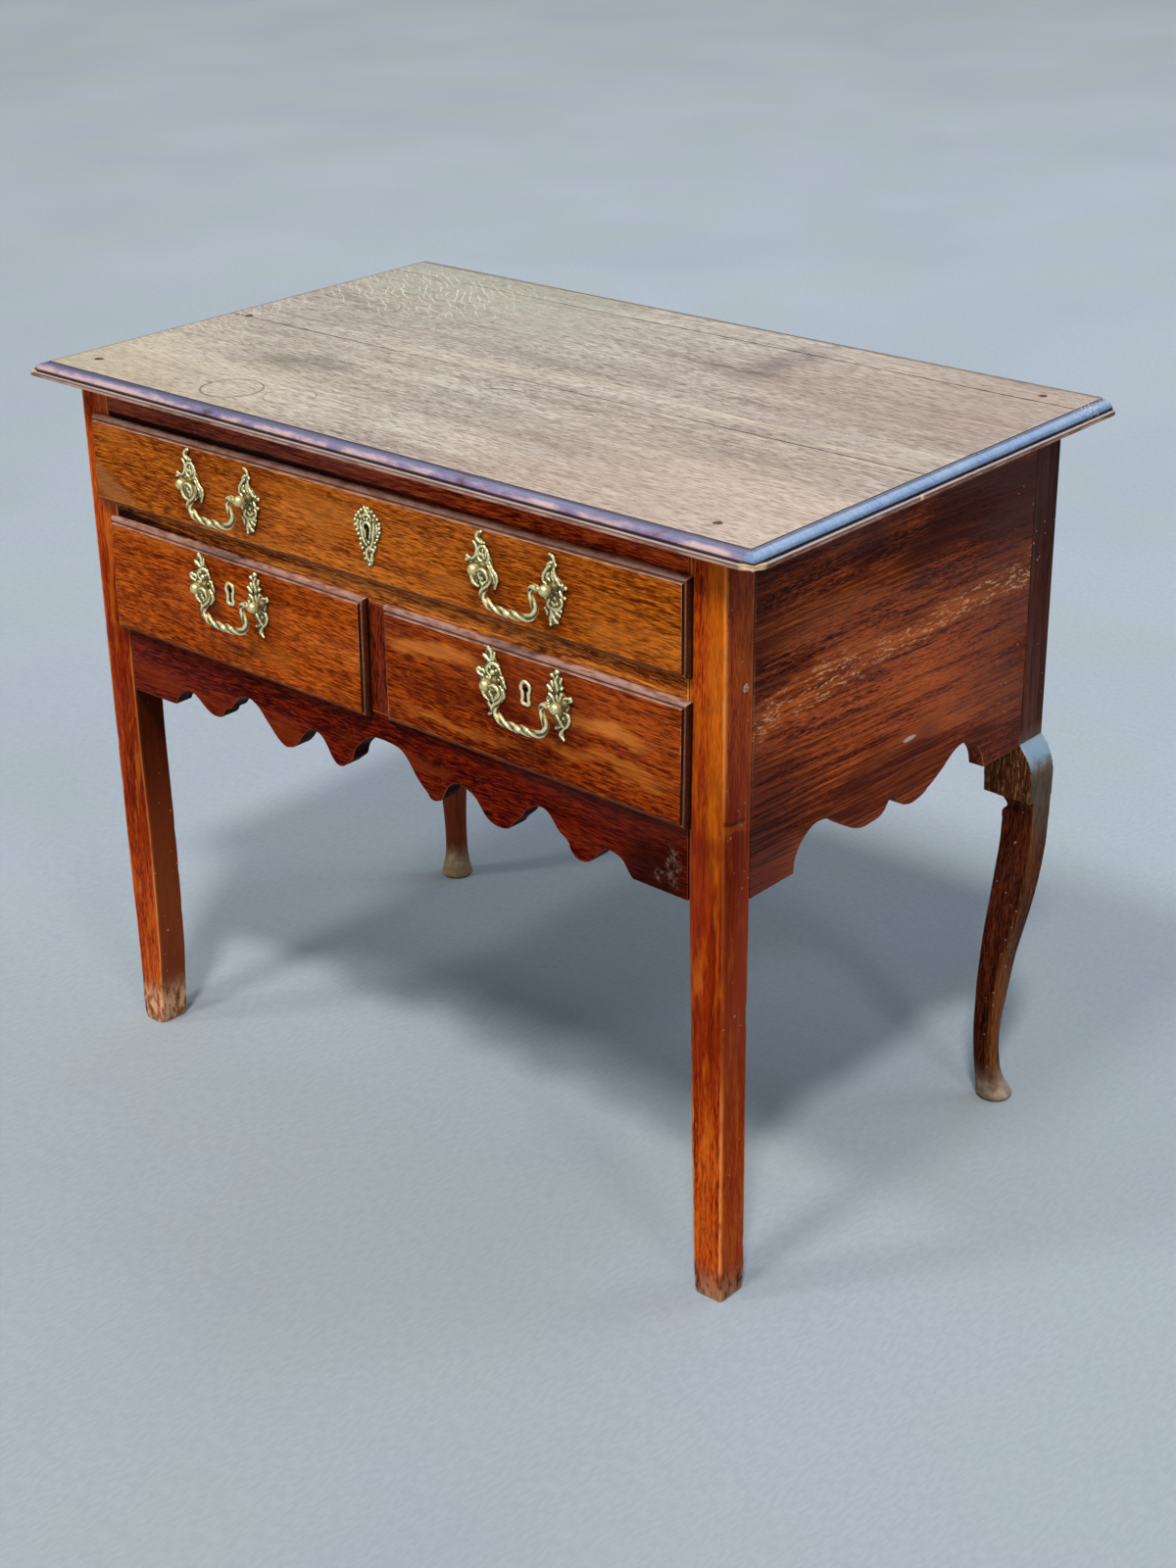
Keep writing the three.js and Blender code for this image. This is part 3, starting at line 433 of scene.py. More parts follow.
    # the polish has kept its gloss on ledges and mouldings, and is dulled on upright faces
    sep = g.node("ShaderNodeSeparateXYZ")
    g.give(sep.inputs[0], g.node("ShaderNodeNewGeometry").outputs["Normal"])
    g.up = g.span(sep.outputs[2], 0.1, 0.6)
    g.nx, g.ny, g.nz = sep.outputs
    g.color, g.r, g.nrm, g.base, g.ragged, g.tone, g.pores, g.edge = color, r, nrm, base, ragged, tone, pores, edge
    if extra:
        extra(g)
    g.set(Base_Color=g.color, Roughness=g.r, Normal=g.nrm)
    if sheen:
        gloss = g.math("MULTIPLY_ADD", g.span(broad, 0.45, 0.62), 0.05, spec)
        g.give(g.bsdf.inputs["Specular IOR Level"], g.math("MULTIPLY_ADD", g.up, sheen, gloss))
        g.give(g.bsdf.inputs["Coat Weight"], g.math("MULTIPLY", g.up, sheen))
    else:
        g.bsdf.inputs["Specular IOR Level"].default_value = spec
        g.bsdf.inputs["Coat Weight"].default_value = coat
    g.bsdf.inputs["Coat Roughness"].default_value = 0.22
    g.bsdf.inputs["IOR"].default_value = 1.48
    return g.mat


def disc(g, cx, cy, rx, ry, soft=0.5, ragged=0.35):
    """A soft blotch on the top, in mm: 1 inside, 0 outside."""
    u = g.math("DIVIDE", g.math("SUBTRACT", g.x, cx * MM), rx * MM)
    v = g.math("DIVIDE", g.math("SUBTRACT", g.y, (cy + OY) * MM), ry * MM)
    d = g.math("SQRT", g.math("ADD", g.math("MULTIPLY", u, u), g.math("MULTIPLY", v, v)))
    d = g.math("ADD", d, g.math("MULTIPLY", g.math("SUBTRACT", g.noise(g._xyz, 38, 3, 0.6), 0.5), ragged * 2))
    return g.span(d, 1 + soft, 1 - soft)


# ------------------------------------------------------------------ palettes
def top_marks(g):
    # grey-green and cool at the back left, golden at the front left, pinkish towards the right
    drift = g.math("MULTIPLY", g.math("SUBTRACT", g.noise(g._xyz, 5.0, 3, 0.55), 0.5), 0.35)
    gx = g.math("ADD", g.x, drift)
    gy = g.math("ADD", g.y, drift)
    left = g.span(gx, 0.0, -0.34)
    front = g.span(gy, 0.02, -0.2)
    back = g.span(gy, 0.02, 0.2)
    gold = g.math("MULTIPLY", left, front)
    cool = g.math("MULTIPLY", g.span(gx, 0.06, -0.2), back)
    g.color = g.mix(g.math("MULTIPLY", gold, 0.6), g.color, srgb(217, 205, 172))
    g.color = g.mix(g.math("MULTIPLY", cool, 0.65), g.color, srgb(180, 184, 168))
    right = g.math("MULTIPLY", g.span(gx, 0.05, 0.36), g.span(gy, -0.1, 0.16))
    g.color = g.mix(g.math("MULTIPLY", right, 0.5), g.color, srgb(174, 146, 132))
    warm = g.math("MULTIPLY", g.span(gx, -0.02, 0.25), front)
    g.color = g.mix(g.math("MULTIPLY", warm, 0.4), g.color, srgb(222, 194, 170))
    # the pores again over the tints, so the grain stays crisp
    g.color = g.mix(g.math("MULTIPLY", g.pores, 0.38), g.color, srgb(104, 82, 66))
    # wide dark water stains
    blotch = g.span(g.noise(g.vec("MULTIPLY", g.base, (24, 46, 46)), 1.0, 4, 0.7), 0.4, 0.62)
    for cx, cy, rx, ry, k in ((-251, -101, 52, 36, 0.42), (-205, -92, 36, 20, 0.3), (132, 178, 20, 56, 0.5),
                              (110, 132, 30, 12, 0.45), (-20, -92, 62, 13, 0.35), (30, -112, 30, 9, 0.3),
                              (70, 150, 12, 10, 0.35), (150, -150, 90, 26, 0.22), (-330, 20, 40, 60, 0.16),
                              (-60, 40, 120, 22, 0.16), (250, 20, 80, 30, 0.18)):
        there = g.math("MULTIPLY", disc(g, cx, cy, rx, ry, 0.8, 0.7), g.math("MULTIPLY_ADD", blotch, 0.6, 0.4))
        g.color = g.mix(g.math("MULTIPLY", there, k), g.color, srgb(92, 84, 82))
    # the ring left by a glass, and part of a second one
    for cx, cy, rad, k in ((-213, -201, 29, 0.6), (-152, -186, 24, 0.3)):
        u = g.math("SUBTRACT", g.x, cx * MM)
        v = g.math("SUBTRACT", g.y, (cy + OY) * MM)
        d = g.math("SQRT", g.math("ADD", g.math("MULTIPLY", u, u), g.math("MULTIPLY", v, v)))
        d = g.math("ABSOLUTE", g.math("SUBTRACT", d, rad * MM))
        d = g.math("ADD", d, g.math("MULTIPLY", g.noise(g._xyz, 110, 3, 0.7), 0.0014))
        g.color = g.mix(g.math("MULTIPLY", g.span(d, 0.0026, 0.001), k), g.color, srgb(66, 52, 44))
    # two curved scratches
    for cx, cy, rad, a0, k in ((2, -92, 46, 0.55, 0.7), (-90, -150, 60, 0.2, 0.3)):
        u = g.math("SUBTRACT", g.x, cx * MM)
        v = g.math("SUBTRACT", g.y, (cy + OY) * MM)
        d = g.math("SQRT", g.math("ADD", g.math("MULTIPLY", u, u), g.math("MULTIPLY", v, v)))
        arc = g.math("MULTIPLY", g.span(g.math("ABSOLUTE", g.math("SUBTRACT", d, rad * MM)), 0.0013, 0.0005),
                     g.span(g.math("DIVIDE", v, rad * MM), a0, a0 + 0.2))
        arc = g.math("MULTIPLY", arc, g.span(g.math("DIVIDE", u, rad * MM), 0.2, 0.1))
        g.color = g.mix(g.math("MULTIPLY", arc, k), g.color, srgb(58, 44, 38))
    # medullary rays: pale wavy flecks that cross the grain at the back left
    sway = g.math("SUBTRACT", g.noise(g._xyz, 16, 2, 0.5), 0.5)
    ripple = g.math("SUBTRACT", g.noise(g._xyz, 75, 2, 0.5), 0.5)
    across = g.math("MULTIPLY_ADD", g.x, 0.62, g.math("MULTIPLY", g.y, 0.78))
    run = g.math("MULTIPLY_ADD", g.x, 0.78, g.math("MULTIPLY", g.y, -0.62))
    phase = g.math("MULTIPLY_ADD", across, 135.0, g.math("MULTIPLY_ADD", sway, 4.5, g.math("MULTIPLY", ripple, 0.55)))
    ray = g.math("ABSOLUTE", g.math("SUBTRACT", g.math("FRACT", phase), 0.5))
    broken = g.span(g.noise(g.xyz(g.math("MULTIPLY", run, 26.0), g.math("MULTIPLY", across, 150.0), 0.0), 1.0, 1, 0.5), 0.44, 0.56)
    ray = g.math("MULTIPLY", g.span(ray, 0.13, 0.05), broken)
    where = g.math("MAXIMUM", disc(g, -320, 165, 120, 92, 0.5, 0.3), g.math("MULTIPLY", disc(g, -400, -30, 36, 100, 0.5, 0.4), 0.6))
    g.color = g.mix(g.math("MULTIPLY", g.math("MULTIPLY", ray, where), 0.75), g.color, srgb(238, 234, 214))
    # pale streaks along the grain, strongest near the glue lines
    streak = g.span(g.noise(g.vec("MULTIPLY", g.base, (5, 150, 150)), 1.0, 3, 0.65), 0.58, 0.7)
    near = g.span(g.noise(g.vec("MULTIPLY", g.base, (1.6, 12, 12)), 1.0, 2, 0.5), 0.5, 0.64)
    g.color = g.mix(g.math("MULTIPLY", g.math("MULTIPLY", streak, near), 0.7), g.color, srgb(234, 212, 178))
    rim = g.math("MAXIMUM", g.span(g.y, 0.2575, 0.2625), g.span(g.x, -0.4165, -0.4205))
    g.color = g.mix(g.math("MULTIPLY", rim, 0.6), g.color, srgb(96, 66, 50))
    # the moulding is dark under a painted sky reflection: steel blue and pinkish along the front, sky blue along the
    # right end, dark grey where the round turns down
    drop = g.math("SUBTRACT", HEIGHT * MM, g.z)
    mould = g.span(drop, 0.0005, 0.0014)
    right_end = g.span(g.x, 0.4195, 0.4215)
    wood = g.mix(g.tone, srgb(60, 30, 26), srgb(122, 74, 62))
    g.color = g.mix(g.math("MULTIPLY", mould, 0.95), g.color, wood)
    low = g.span(g.math("MULTIPLY_ADD", g.ragged, 0.003, drop), 0.0036, 0.0062)
    patch = g.noise(g.vec("MULTIPLY", g._xyz, (26, 26, 60)), 1.0, 3, 0.6)
    pink = g.mix(g.span(patch, 0.4, 0.6), srgb(136, 122, 162), srgb(214, 182, 184))
    front_sky_reflection = g.mix(low, g.mix(g.tone, srgb(72, 86, 126), srgb(120, 133, 172)), pink)
    end_sky_reflection = g.mix(g.span(drop, 0.0066, 0.0078), g.mix(g.tone, srgb(90, 124, 168), srgb(132, 162, 198)), srgb(58, 70, 72))
    sky_reflection = g.mix(right_end, front_sky_reflection, end_sky_reflection)
    cover = g.math("MULTIPLY", g.math("MAXIMUM", g.span(patch, 0.26, 0.42), right_end), g.span(g.x, -0.4315, -0.4285))
    round_ = g.math("MULTIPLY", g.span(drop, 0.0011, 0.0016), g.span(drop, 0.0086, 0.0078))
    g.color = g.mix(g.math("MULTIPLY", g.math("MULTIPLY", round_, cover), 0.82), g.color, sky_reflection)
    # a pale line along the rounded top of the fillet: painted highlight
    pale = g.math("MULTIPLY", g.span(drop, 0.0089, 0.0092), g.span(drop, 0.0108, 0.0102))
    g.color = g.mix(g.math("MULTIPLY", pale, g.math("MULTIPLY_ADD", right_end, 0.15, 0.6)), g.color, srgb(190, 172, 168))
    band = g.span(drop, 0.0106, 0.0113)
    g.color = g.mix(g.math("MULTIPLY", band, 0.9), g.color, g.mix(g.span(patch, 0.36, 0.62), srgb(138, 86, 68), srgb(204, 162, 146)))
    # a dark line under the fillet: painted shade in the crease
    seam_shade = g.span(g.math("ABSOLUTE", g.math("SUBTRACT", drop, 0.0109)), 0.0007, 0.0003)
    g.color = g.mix(g.math("MULTIPLY", seam_shade, 0.6), g.color, srgb(52, 34, 30))
    worn = g.span(g.math("MULTIPLY_ADD", g.edge, 0.75, g.math("MULTIPLY", g.ragged, 0.5)), 0.84, 1.02)
    g.color = g.mix(g.math("MULTIPLY", worn, 0.5), g.color, srgb(200, 180, 170))
    # the quirk and the groove darkened, bluish near the top: painted shade in the creases, with the dark glue lines
    g.color = g.mix(g.math("MULTIPLY", g.span(g.attr("grime_and_shade"), 0.3, 0.7), 0.88), g.color, g.mix(g.span(drop, 0.0006, 0.003), srgb(52, 56, 78), srgb(34, 26, 28)))
    # raw wood where the corner is chipped, and pale dust in the rear corner
    for cx, cy, r in ((431, -256, 11), (437, -40.3, 3.2), (-433, -255, 4)):
        near = disc(g, cx, cy, r, r, 0.35, 0.5)
        low = g.span(drop, 0.0080, 0.0090)
        g.color = g.mix(g.math("MULTIPLY", g.math("MULTIPLY", near, low), 0.9), g.color, srgb(250, 212, 164))
    speck = g.span(g.noise(g._xyz, 420, 2, 0.6), 0.56, 0.64)
    for cx, cy, r in ((402, 238, 26), (425, 226, 12)):
        g.color = g.mix(g.math("MULTIPLY", g.math("MULTIPLY", disc(g, cx, cy, r, r, 0.5, 0.4), speck), 0.6), g.color, srgb(226, 222, 208))
    g.r = g.math("SUBTRACT", g.r, g.math("MULTIPLY", mould, 0.14))


def post_marks(g):
    # ruddier and darker half way down, orange above and below, with soot-dark smears
    cloud = g.noise(g.vec("MULTIPLY", g._xyz, (30, 30, 10)), 1.0, 3, 0.6)
    zz = g.math("MULTIPLY_ADD", cloud, 0.12, g.z)
    red = g.math("MULTIPLY", g.span(zz, 0.2, 0.33), g.span(zz, 0.62, 0.5))
    g.color = g.mix(g.math("MULTIPLY", red, g.span(g.x, -0.1, 0.1, 0.55, 0.85)), g.color, g.mix(g.tone, srgb(84, 12, 1), srgb(146, 42, 5)))
    smear = g.span(g.noise(g.vec("MULTIPLY", g._xyz, (150, 150, 52)), 1.0, 4, 0.66), 0.54, 0.68)
    g.color = g.mix(g.math("MULTIPLY", smear, 0.4), g.color, srgb(72, 20, 4))
    glow = g.span(g.noise(g.vec("MULTIPLY", g._xyz, (90, 90, 14)), 1.0, 3, 0.6), 0.52, 0.66)
    g.color = g.mix(g.math("MULTIPLY", glow, 0.4), g.color, srgb(214, 112, 22))
    # the outer side is browner and duller
    side = g.span(g.math("ABSOLUTE", g.nx), 0.6, 0.9)
    g.color = g.mix(g.math("MULTIPLY", side, 0.45), g.color, g.mix(g.span(g.z, 0.42, 0.34), srgb(118, 36, 3), srgb(156, 56, 8)))
    # darker red towards the drawers; the field is brightest near the outer arris
    inner = g.math("MULTIPLY", g.span(g.math("MULTIPLY_ADD", cloud, 0.012, g.math("ABSOLUTE", g.x)), 0.369, 0.357), g.math("MULTIPLY", g.span(g.z, 0.02, 0.1), g.span(g.x, -0.1, 0.1, 0.25, 1.0)))
    g.color = g.mix(g.math("MULTIPLY", inner, 0.55), g.color, srgb(104, 28, 5))
    near = g.math("MULTIPLY", g.span(g.x, 0.366, 0.38), g.span(g.math("MULTIPLY_ADD", cloud, 0.3, g.z), 0.52, 0.7))
    g.color = g.mix(g.math("MULTIPLY", near, g.math("MULTIPLY_ADD", side, -0.35, 0.35)), g.color, srgb(222, 124, 22))
    band = g.span(g.math("ABSOLUTE", g.math("SUBTRACT", g.math("MULTIPLY_ADD", g.ragged, 0.02, g.z), 0.452)), 0.014, 0.004)
    g.color = g.mix(g.math("MULTIPLY", band, 0.45), g.color, srgb(104, 20, 3))
    # the left leg's inner side is dark, browner low down, and its arris is scuffed
    left_foot = g.span(g.x, 0.1, -0.1)
    within = g.math("MULTIPLY", g.span(g.nx, 0.4, 0.8), left_foot)
    g.color = g.mix(g.math("MULTIPLY", within, 0.8), g.color, g.mix(g.span(g.z, 0.16, 0.36), srgb(120, 56, 26), srgb(30, 12, 7)))
    arris = g.math("MULTIPLY", g.math("MULTIPLY", g.span(g.x, -0.357, -0.3535), left_foot), g.span(g.z, 0.4, 0.36))
    specks(g, arris, 0.85)
    # scuffed feet, dull and pale, darker where they meet the floor
    foot = g.span(g.math("SUBTRACT", g.math("MULTIPLY_ADD", g.ragged, 0.05, g.z), g.math("MULTIPLY", left_foot, 0.02)), 0.066, 0.03)
    scuff = g.mix(g.span(g.ragged, 0.38, 0.6), g.mix(left_foot, srgb(58, 36, 24), srgb(124, 76, 46)), g.mix(left_foot, srgb(168, 126, 98), srgb(236, 184, 142)))
    g.color = g.mix(g.math("MULTIPLY", foot, 0.8), g.color, scuff)
    sole = g.span(g.math("MULTIPLY_ADD", g.ragged, 0.008, g.z), 0.010, 0.004)
    g.color = g.mix(g.math("MULTIPLY", sole, 0.5), g.color, srgb(150, 122, 100))
    g.r = g.math("ADD", g.r, g.math("MULTIPLY", foot, 0.2))
    # a dark old repair across the right post's outer face
    at = g.math("SUBTRACT", g.z, g.math("MULTIPLY_ADD", g.y, -0.11, 0.4405))
    at = g.math("ADD", at, g.math("MULTIPLY", g.math("SUBTRACT", g.ragged, 0.5), 0.006))
    outer = g.math("MULTIPLY", g.span(g.x, 0.3885, 0.3905), g.span(g.y, -0.2055, -0.209))
    g.color = g.mix(g.math("MULTIPLY", g.math("MULTIPLY", g.span(g.math("ABSOLUTE", at), 0.0030, 0.0006), outer), 0.6), g.color, srgb(52, 14, 5))
    below = g.span(g.math("ABSOLUTE", g.math("ADD", at, 0.0055)), 0.0045, 0.002)
    g.color = g.mix(g.math("MULTIPLY", g.math("MULTIPLY", below, outer), 0.28), g.color, srgb(184, 96, 36))
    specks(g, g.span(g.x, 0.3885, 0.3905), 0.5)


def panel_marks(g):
    # a lighter scraped band and fine scratches on the end board
    u = g.math("MULTIPLY_ADD", g.y, -0.05, g.z)
    u = g.math("ADD", u, g.math("MULTIPLY", g.math("SUBTRACT", g.noise(g.vec("MULTIPLY", g.base, (7, 20, 20)), 1.0, 3, 0.6), 0.5), 0.05))
    for z0, w, k in ((0.556, 0.026, 0.95), (0.622, 0.024, 0.8), (0.500, 0.016, 0.45), (0.45, 0.022, 0.5), (0.418, 0.016, 0.45)):
        d = g.span(g.math("ABSOLUTE", g.math("SUBTRACT", u, z0)), w, w * 0.25)
        fade = g.span(g.noise(g.vec("MULTIPLY", g.base, (5, 9, 9)), 1.0, 2, 0.5), 0.3, 0.52, 0.3, 1.0)
        g.color = g.mix(g.math("MULTIPLY", g.math("MULTIPLY", d, fade), k), g.color, g.mix(g.tone, srgb(132, 50, 12), srgb(206, 104, 40)))
    dusk = g.span(g.noise(g.vec("MULTIPLY", g.base, (4, 13, 13)), 1.0, 3, 0.6), 0.5, 0.38)
    g.color = g.mix(g.math("MULTIPLY", dusk, 0.7), g.color, srgb(56, 20, 17))
    g.color = g.mix(g.math("MULTIPLY", g.pores, 0.3), g.color, srgb(34, 8, 6))
    # towards the back and the top the red turns a darker, cold red-violet, at the back in part a painted cool sheen
    g.color = g.mix(g.math("MULTIPLY", g.span(g.y, 0.02, 0.2), 0.6), g.color, srgb(80, 40, 35))
    g.color = g.mix(g.math("MULTIPLY", g.math("MULTIPLY", g.span(g.z, 0.62, 0.68), g.span(g.y, -0.04, -0.17)), 0.6), g.color, srgb(74, 32, 28))
    low = g.math("MULTIPLY", g.span(g.z, 0.52, 0.44), g.span(g.y, 0.2, 0.05))
    g.color = g.mix(g.math("MULTIPLY", low, 0.4), g.color, g.mix(g.tone, srgb(100, 34, 13), srgb(170, 80, 38)))
    edge = g.span(g.math("MULTIPLY_ADD", g.ragged, 0.04, g.y), -0.125, -0.19)
    g.color = g.mix(g.math("MULTIPLY", edge, 0.6), g.color, g.mix(g.tone, srgb(46, 18, 15), srgb(92, 44, 34)))
    scuff = g.span(g.noise(g.vec("MULTIPLY", g.base, (80, 380, 380)), 1.0, 3, 0.7), 0.545, 0.61)
    zone = g.span(g.math("ABSOLUTE", g.math("SUBTRACT", u, 0.554)), 0.019, 0.007)
    zone = g.math("MULTIPLY", zone, g.span(g.noise(g.vec("MULTIPLY", g.base, (24, 46, 46)), 1.0, 3, 0.6), 0.36, 0.5))
    g.color = g.mix(g.math("MULTIPLY", g.math("MULTIPLY", scuff, zone), 0.85), g.color, srgb(232, 170, 128))
    front = g.math("MULTIPLY", g.span(g.math("MULTIPLY_ADD", g.ragged, 0.05, g.y), -0.05, -0.15), g.span(g.z, 0.54, 0.46))
    g.color = g.mix(g.math("MULTIPLY", front, 0.86), g.color, g.mix(g.tone, srgb(44, 14, 11), srgb(100, 42, 30)))
    specks(g, g.span(g.y, 0.13, 0.2), 0.8)
    # a pale oval chip low on the right board
    u = g.math("DIVIDE", g.math("SUBTRACT", g.y, 0.0254), 0.0100)
    v = g.math("DIVIDE", g.math("SUBTRACT", g.z, 0.4535), 0.0023)
    d = g.math("SQRT", g.math("ADD", g.math("MULTIPLY", u, u), g.math("MULTIPLY", v, v)))
    d = g.math("ADD", d, g.math("MULTIPLY", g.math("SUBTRACT", g.ragged, 0.5), 0.6))
    chip = g.math("MULTIPLY", g.span(d, 1.12, 0.8), g.span(g.x, 0.0, 0.1))
    g.color = g.mix(g.math("MULTIPLY", chip, 0.9), g.color, srgb(206, 184, 172))


def specks(g, zone, k):
    # small pale dots of lost polish
    dot = g.spots(g._xyz, 110)
    dot = g.span(g.math("MULTIPLY_ADD", g.noise(g._xyz, 26, 2, 0.6), 0.3, dot), 0.245, 0.215)
    g.color = g.mix(g.math("MULTIPLY", g.math("MULTIPLY", dot, zone), k), g.color, srgb(196, 160, 142))


def apron_marks(g):
    d = g.math("MAXIMUM", disc_xz(g, 338, 412, 7, 17), disc_xz(g, 324, 400, 6, 6))
    scratch = g.span(g.noise(g.vec("MULTIPLY", g._xyz, (420, 420, 260)), 1.0, 1, 0.5, distortion=0.6), 0.5, 0.64)
    d = g.math("MULTIPLY", d, g.span(g.noise(g._xyz, 190, 3, 0.65), 0.4, 0.56))
    g.color = g.mix(g.span(g.x, 0.12, 0.3, 0.0, 0.4), g.color, srgb(46, 4, 1))
    black = disc_xz(g, 318, 404, 30, 26, 0.6)
    g.color = g.mix(g.math("MULTIPLY", black, 0.75), g.color, srgb(22, 8, 6))
    g.color = g.mix(g.math("MULTIPLY", d, g.math("MULTIPLY_ADD", scratch, 0.5, 0.14)), g.color, srgb(132, 108, 94))
    warm = g.span(g.noise(g.vec("MULTIPLY", g._xyz, (7, 7, 34)), 1.0, 3, 0.6), 0.5, 0.66)
    g.color = g.mix(g.math("MULTIPLY", g.math("MULTIPLY", warm, g.span(g.x, 0.28, 0.16)), 0.45), g.color, srgb(132, 52, 16))
    # the sawn edge of the arches is near black where it faces down or sideways
    sawn = g.math("MAXIMUM", g.span(g.nz, -0.2, -0.5), g.span(g.math("ABSOLUTE", g.nx), 0.4, 0.7))
    g.color = g.mix(g.math("MULTIPLY", sawn, 0.82), g.color, srgb(20, 6, 4))


def gap_shade(g, slope, base, narrow, wide, a, b, k):
    # a dark band on the rail along the upper edge of a drawer's lip, from x = a wider and blacker towards b: painted
    # shade in the gap
    d = g.math("SUBTRACT", g.z, g.math("MULTIPLY_ADD", g.x, slope, base))
    d = g.math("ADD", d, g.math("MULTIPLY", g.math("SUBTRACT", g.ragged, 0.5), 0.002))
    d = g.math("DIVIDE", d, g.span(g.x, a, b, narrow, wide, soft=False))
    g.color = g.mix(g.math("MULTIPLY", g.span(d, 1.15, 0.8), g.span(g.x, a, b, k, 0.94)), g.color, srgb(12, 5, 4))


def rail_marks(g):
    # the left half is mixed towards a purple-brown: a painted blurred reflection
    purple_reflection = g.math("MULTIPLY", g.span(g.x, 0.15, -0.1), 0.5)
    g.color = g.mix(purple_reflection, g.color, g.mix(g.tone, srgb(58, 28, 26), srgb(122, 78, 72)))
    gap_shade(g, 0.0055, 0.66903, 0.0025, 0.0048, 0.25, -0.1, 0.4)


def mid_marks(g):
    gap_shade(g, -0.00576, 0.56595, 0.001, 0.0085, -0.17, -0.35, 0.3)


def disc_xz(g, cx, cz, rx, rz, soft=0.4, ragged=0.4):
    u = g.math("DIVIDE", g.math("SUBTRACT", g.x, cx * MM), rx * MM)
    v = g.math("DIVIDE", g.math("SUBTRACT", g.z, cz * MM), rz * MM)
    d = g.math("SQRT", g.math("ADD", g.math("MULTIPLY", u, u), g.math("MULTIPLY", v, v)))
    d = g.math("ADD", d, g.math("MULTIPLY", g.math("SUBTRACT", g.noise(g._xyz, 60, 3, 0.6), 0.5), ragged * 2))
    return g.span(d, 1 + soft, 1 - soft)


def rear_marks(g):
    # the post above is a cold red-brown; a cold sheen on the knee's shoulder, dusty brown below, worn pale feet
    above = g.span(g.z, 0.383, 0.398)
    g.color = g.mix(g.math("MULTIPLY", above, 0.85), g.color, g.mix(g.tone, srgb(46, 20, 15), srgb(94, 50, 40)))
    specks(g, above, 0.8)
    face = g.span(g.ny, -0.55, -0.85)
    lower = g.span(g.z, 0.322, 0.312)
    g.color = g.mix(g.math("MULTIPLY", g.math("MULTIPLY", face, lower), 0.6), g.color, g.mix(g.tone, srgb(28, 6, 4), srgb(74, 22, 12)))
    scratch = g.span(g.noise(g.vec("MULTIPLY", g._xyz, (420, 90, 70)), 1.0, 3, 0.65), 0.52, 0.62)
    knee = g.math("MULTIPLY", g.span(g.z, 0.312, 0.322), g.span(g.z, 0.4, 0.385))
    g.color = g.mix(g.math("MULTIPLY", g.math("MULTIPLY", face, knee), 0.5), g.color, g.mix(scratch, srgb(66, 38, 16), srgb(158, 122, 78)))
    # the knee's turned sides are greyed: a painted blue-grey shine
    turn = g.span(g.math("ABSOLUTE", g.nx), 0.3, 0.6)
    grey = g.math("MULTIPLY", g.math("MULTIPLY", turn, g.span(g.z, 0.25, 0.33)), g.span(g.z, 0.4, 0.385))
    g.color = g.mix(g.math("MULTIPLY", grey, 0.8), g.color, g.mix(g.ragged, srgb(44, 38, 32), srgb(122, 110, 94)))
    golden = g.math("MULTIPLY", turn, g.span(g.z, 0.31, 0.25))
    g.color = g.mix(g.math("MULTIPLY", golden, 0.45), g.color, g.mix(g.tone, srgb(66, 34, 14), srgb(122, 74, 34)))
    cold = g.math("MULTIPLY", g.span(g.math("MULTIPLY_ADD", g.ragged, 0.3, g.nz), 0.36, 0.62), g.span(g.z, 0.33, 0.35))
    g.color = g.mix(g.math("MULTIPLY", cold, 0.85), g.color, srgb(150, 180, 204))
    dust = g.span(g.noise(g._xyz, 30, 4, 0.6), 0.4, 0.7)
    specks(g, g.span(g.z, 0.4, 0.36), 0.5)
    foot = g.span(g.math("MULTIPLY_ADD", g.ragged, 0.03, g.z), 0.06, 0.028)
    g.color = g.mix(g.math("MULTIPLY", foot, 0.85), g.color, g.mix(dust, srgb(104, 84, 68), srgb(186, 166, 142)))
    # the left leg is painted lighter, redder on the shaft and paler at the foot: painted light on a leg that stands in
    # shade, over its worn foot
    other = g.span(g.x, 0.1, -0.1)
    g.color = g.mix(g.math("MULTIPLY", other, g.math("MULTIPLY_ADD", foot, -0.45, 0.45)), g.color, srgb(150, 62, 30))
    g.color = g.mix(g.math("MULTIPLY", g.math("MULTIPLY", foot, other), 0.7), g.color, g.mix(dust, srgb(178, 152, 112), srgb(240, 222, 182)))
    g.r = g.math("ADD", g.r, g.math("MULTIPLY", foot, 0.22))


def lips(g):
    # the top ledges of the lips are painted a pale pinkish grey, a painted sheen of light from above; each lip's side
    # walls are painted black, painted shade in the gap beside the lip
    ledge = g.math("MULTIPLY", g.span(g.nz, 0.12, 0.38), g.span(g.y, -0.2335, -0.2345))
    pale = g.mix(g.span(g.ragged, 0.38, 0.58), srgb(128, 90, 80), srgb(190, 160, 152))
    g.color = g.mix(g.math("MULTIPLY", ledge, 0.68), g.color, pale)
    roll = g.math("MULTIPLY", g.span(g.y, -0.2428, -0.2423), g.span(g.y, -0.2385, -0.2395))
    g.color = g.mix(g.math("MULTIPLY", roll, 0.5), g.color, srgb(126, 86, 66))
    flank_shade = g.math("MULTIPLY", g.span(g.math("ABSOLUTE", g.nx), 0.5, 0.75), g.span(g.y, -0.2335, -0.2345))
    g.color = g.mix(g.math("MULTIPLY", flank_shade, 0.85), g.color, srgb(26, 12, 8))


def handle_marks(g, spots):
    for cx, cz in spots:
        for s in (-1, 1):
            # a dark ring round each plate: painted drop shadow, and dirt
            shadow_and_dirt = disc_xz(g, cx + s * 39, cz - 3, 24, 34, 0.55, 0.4)
            g.color = g.mix(g.math("MULTIPLY", shadow_and_dirt, 0.42), g.color, srgb(84, 18, 4))


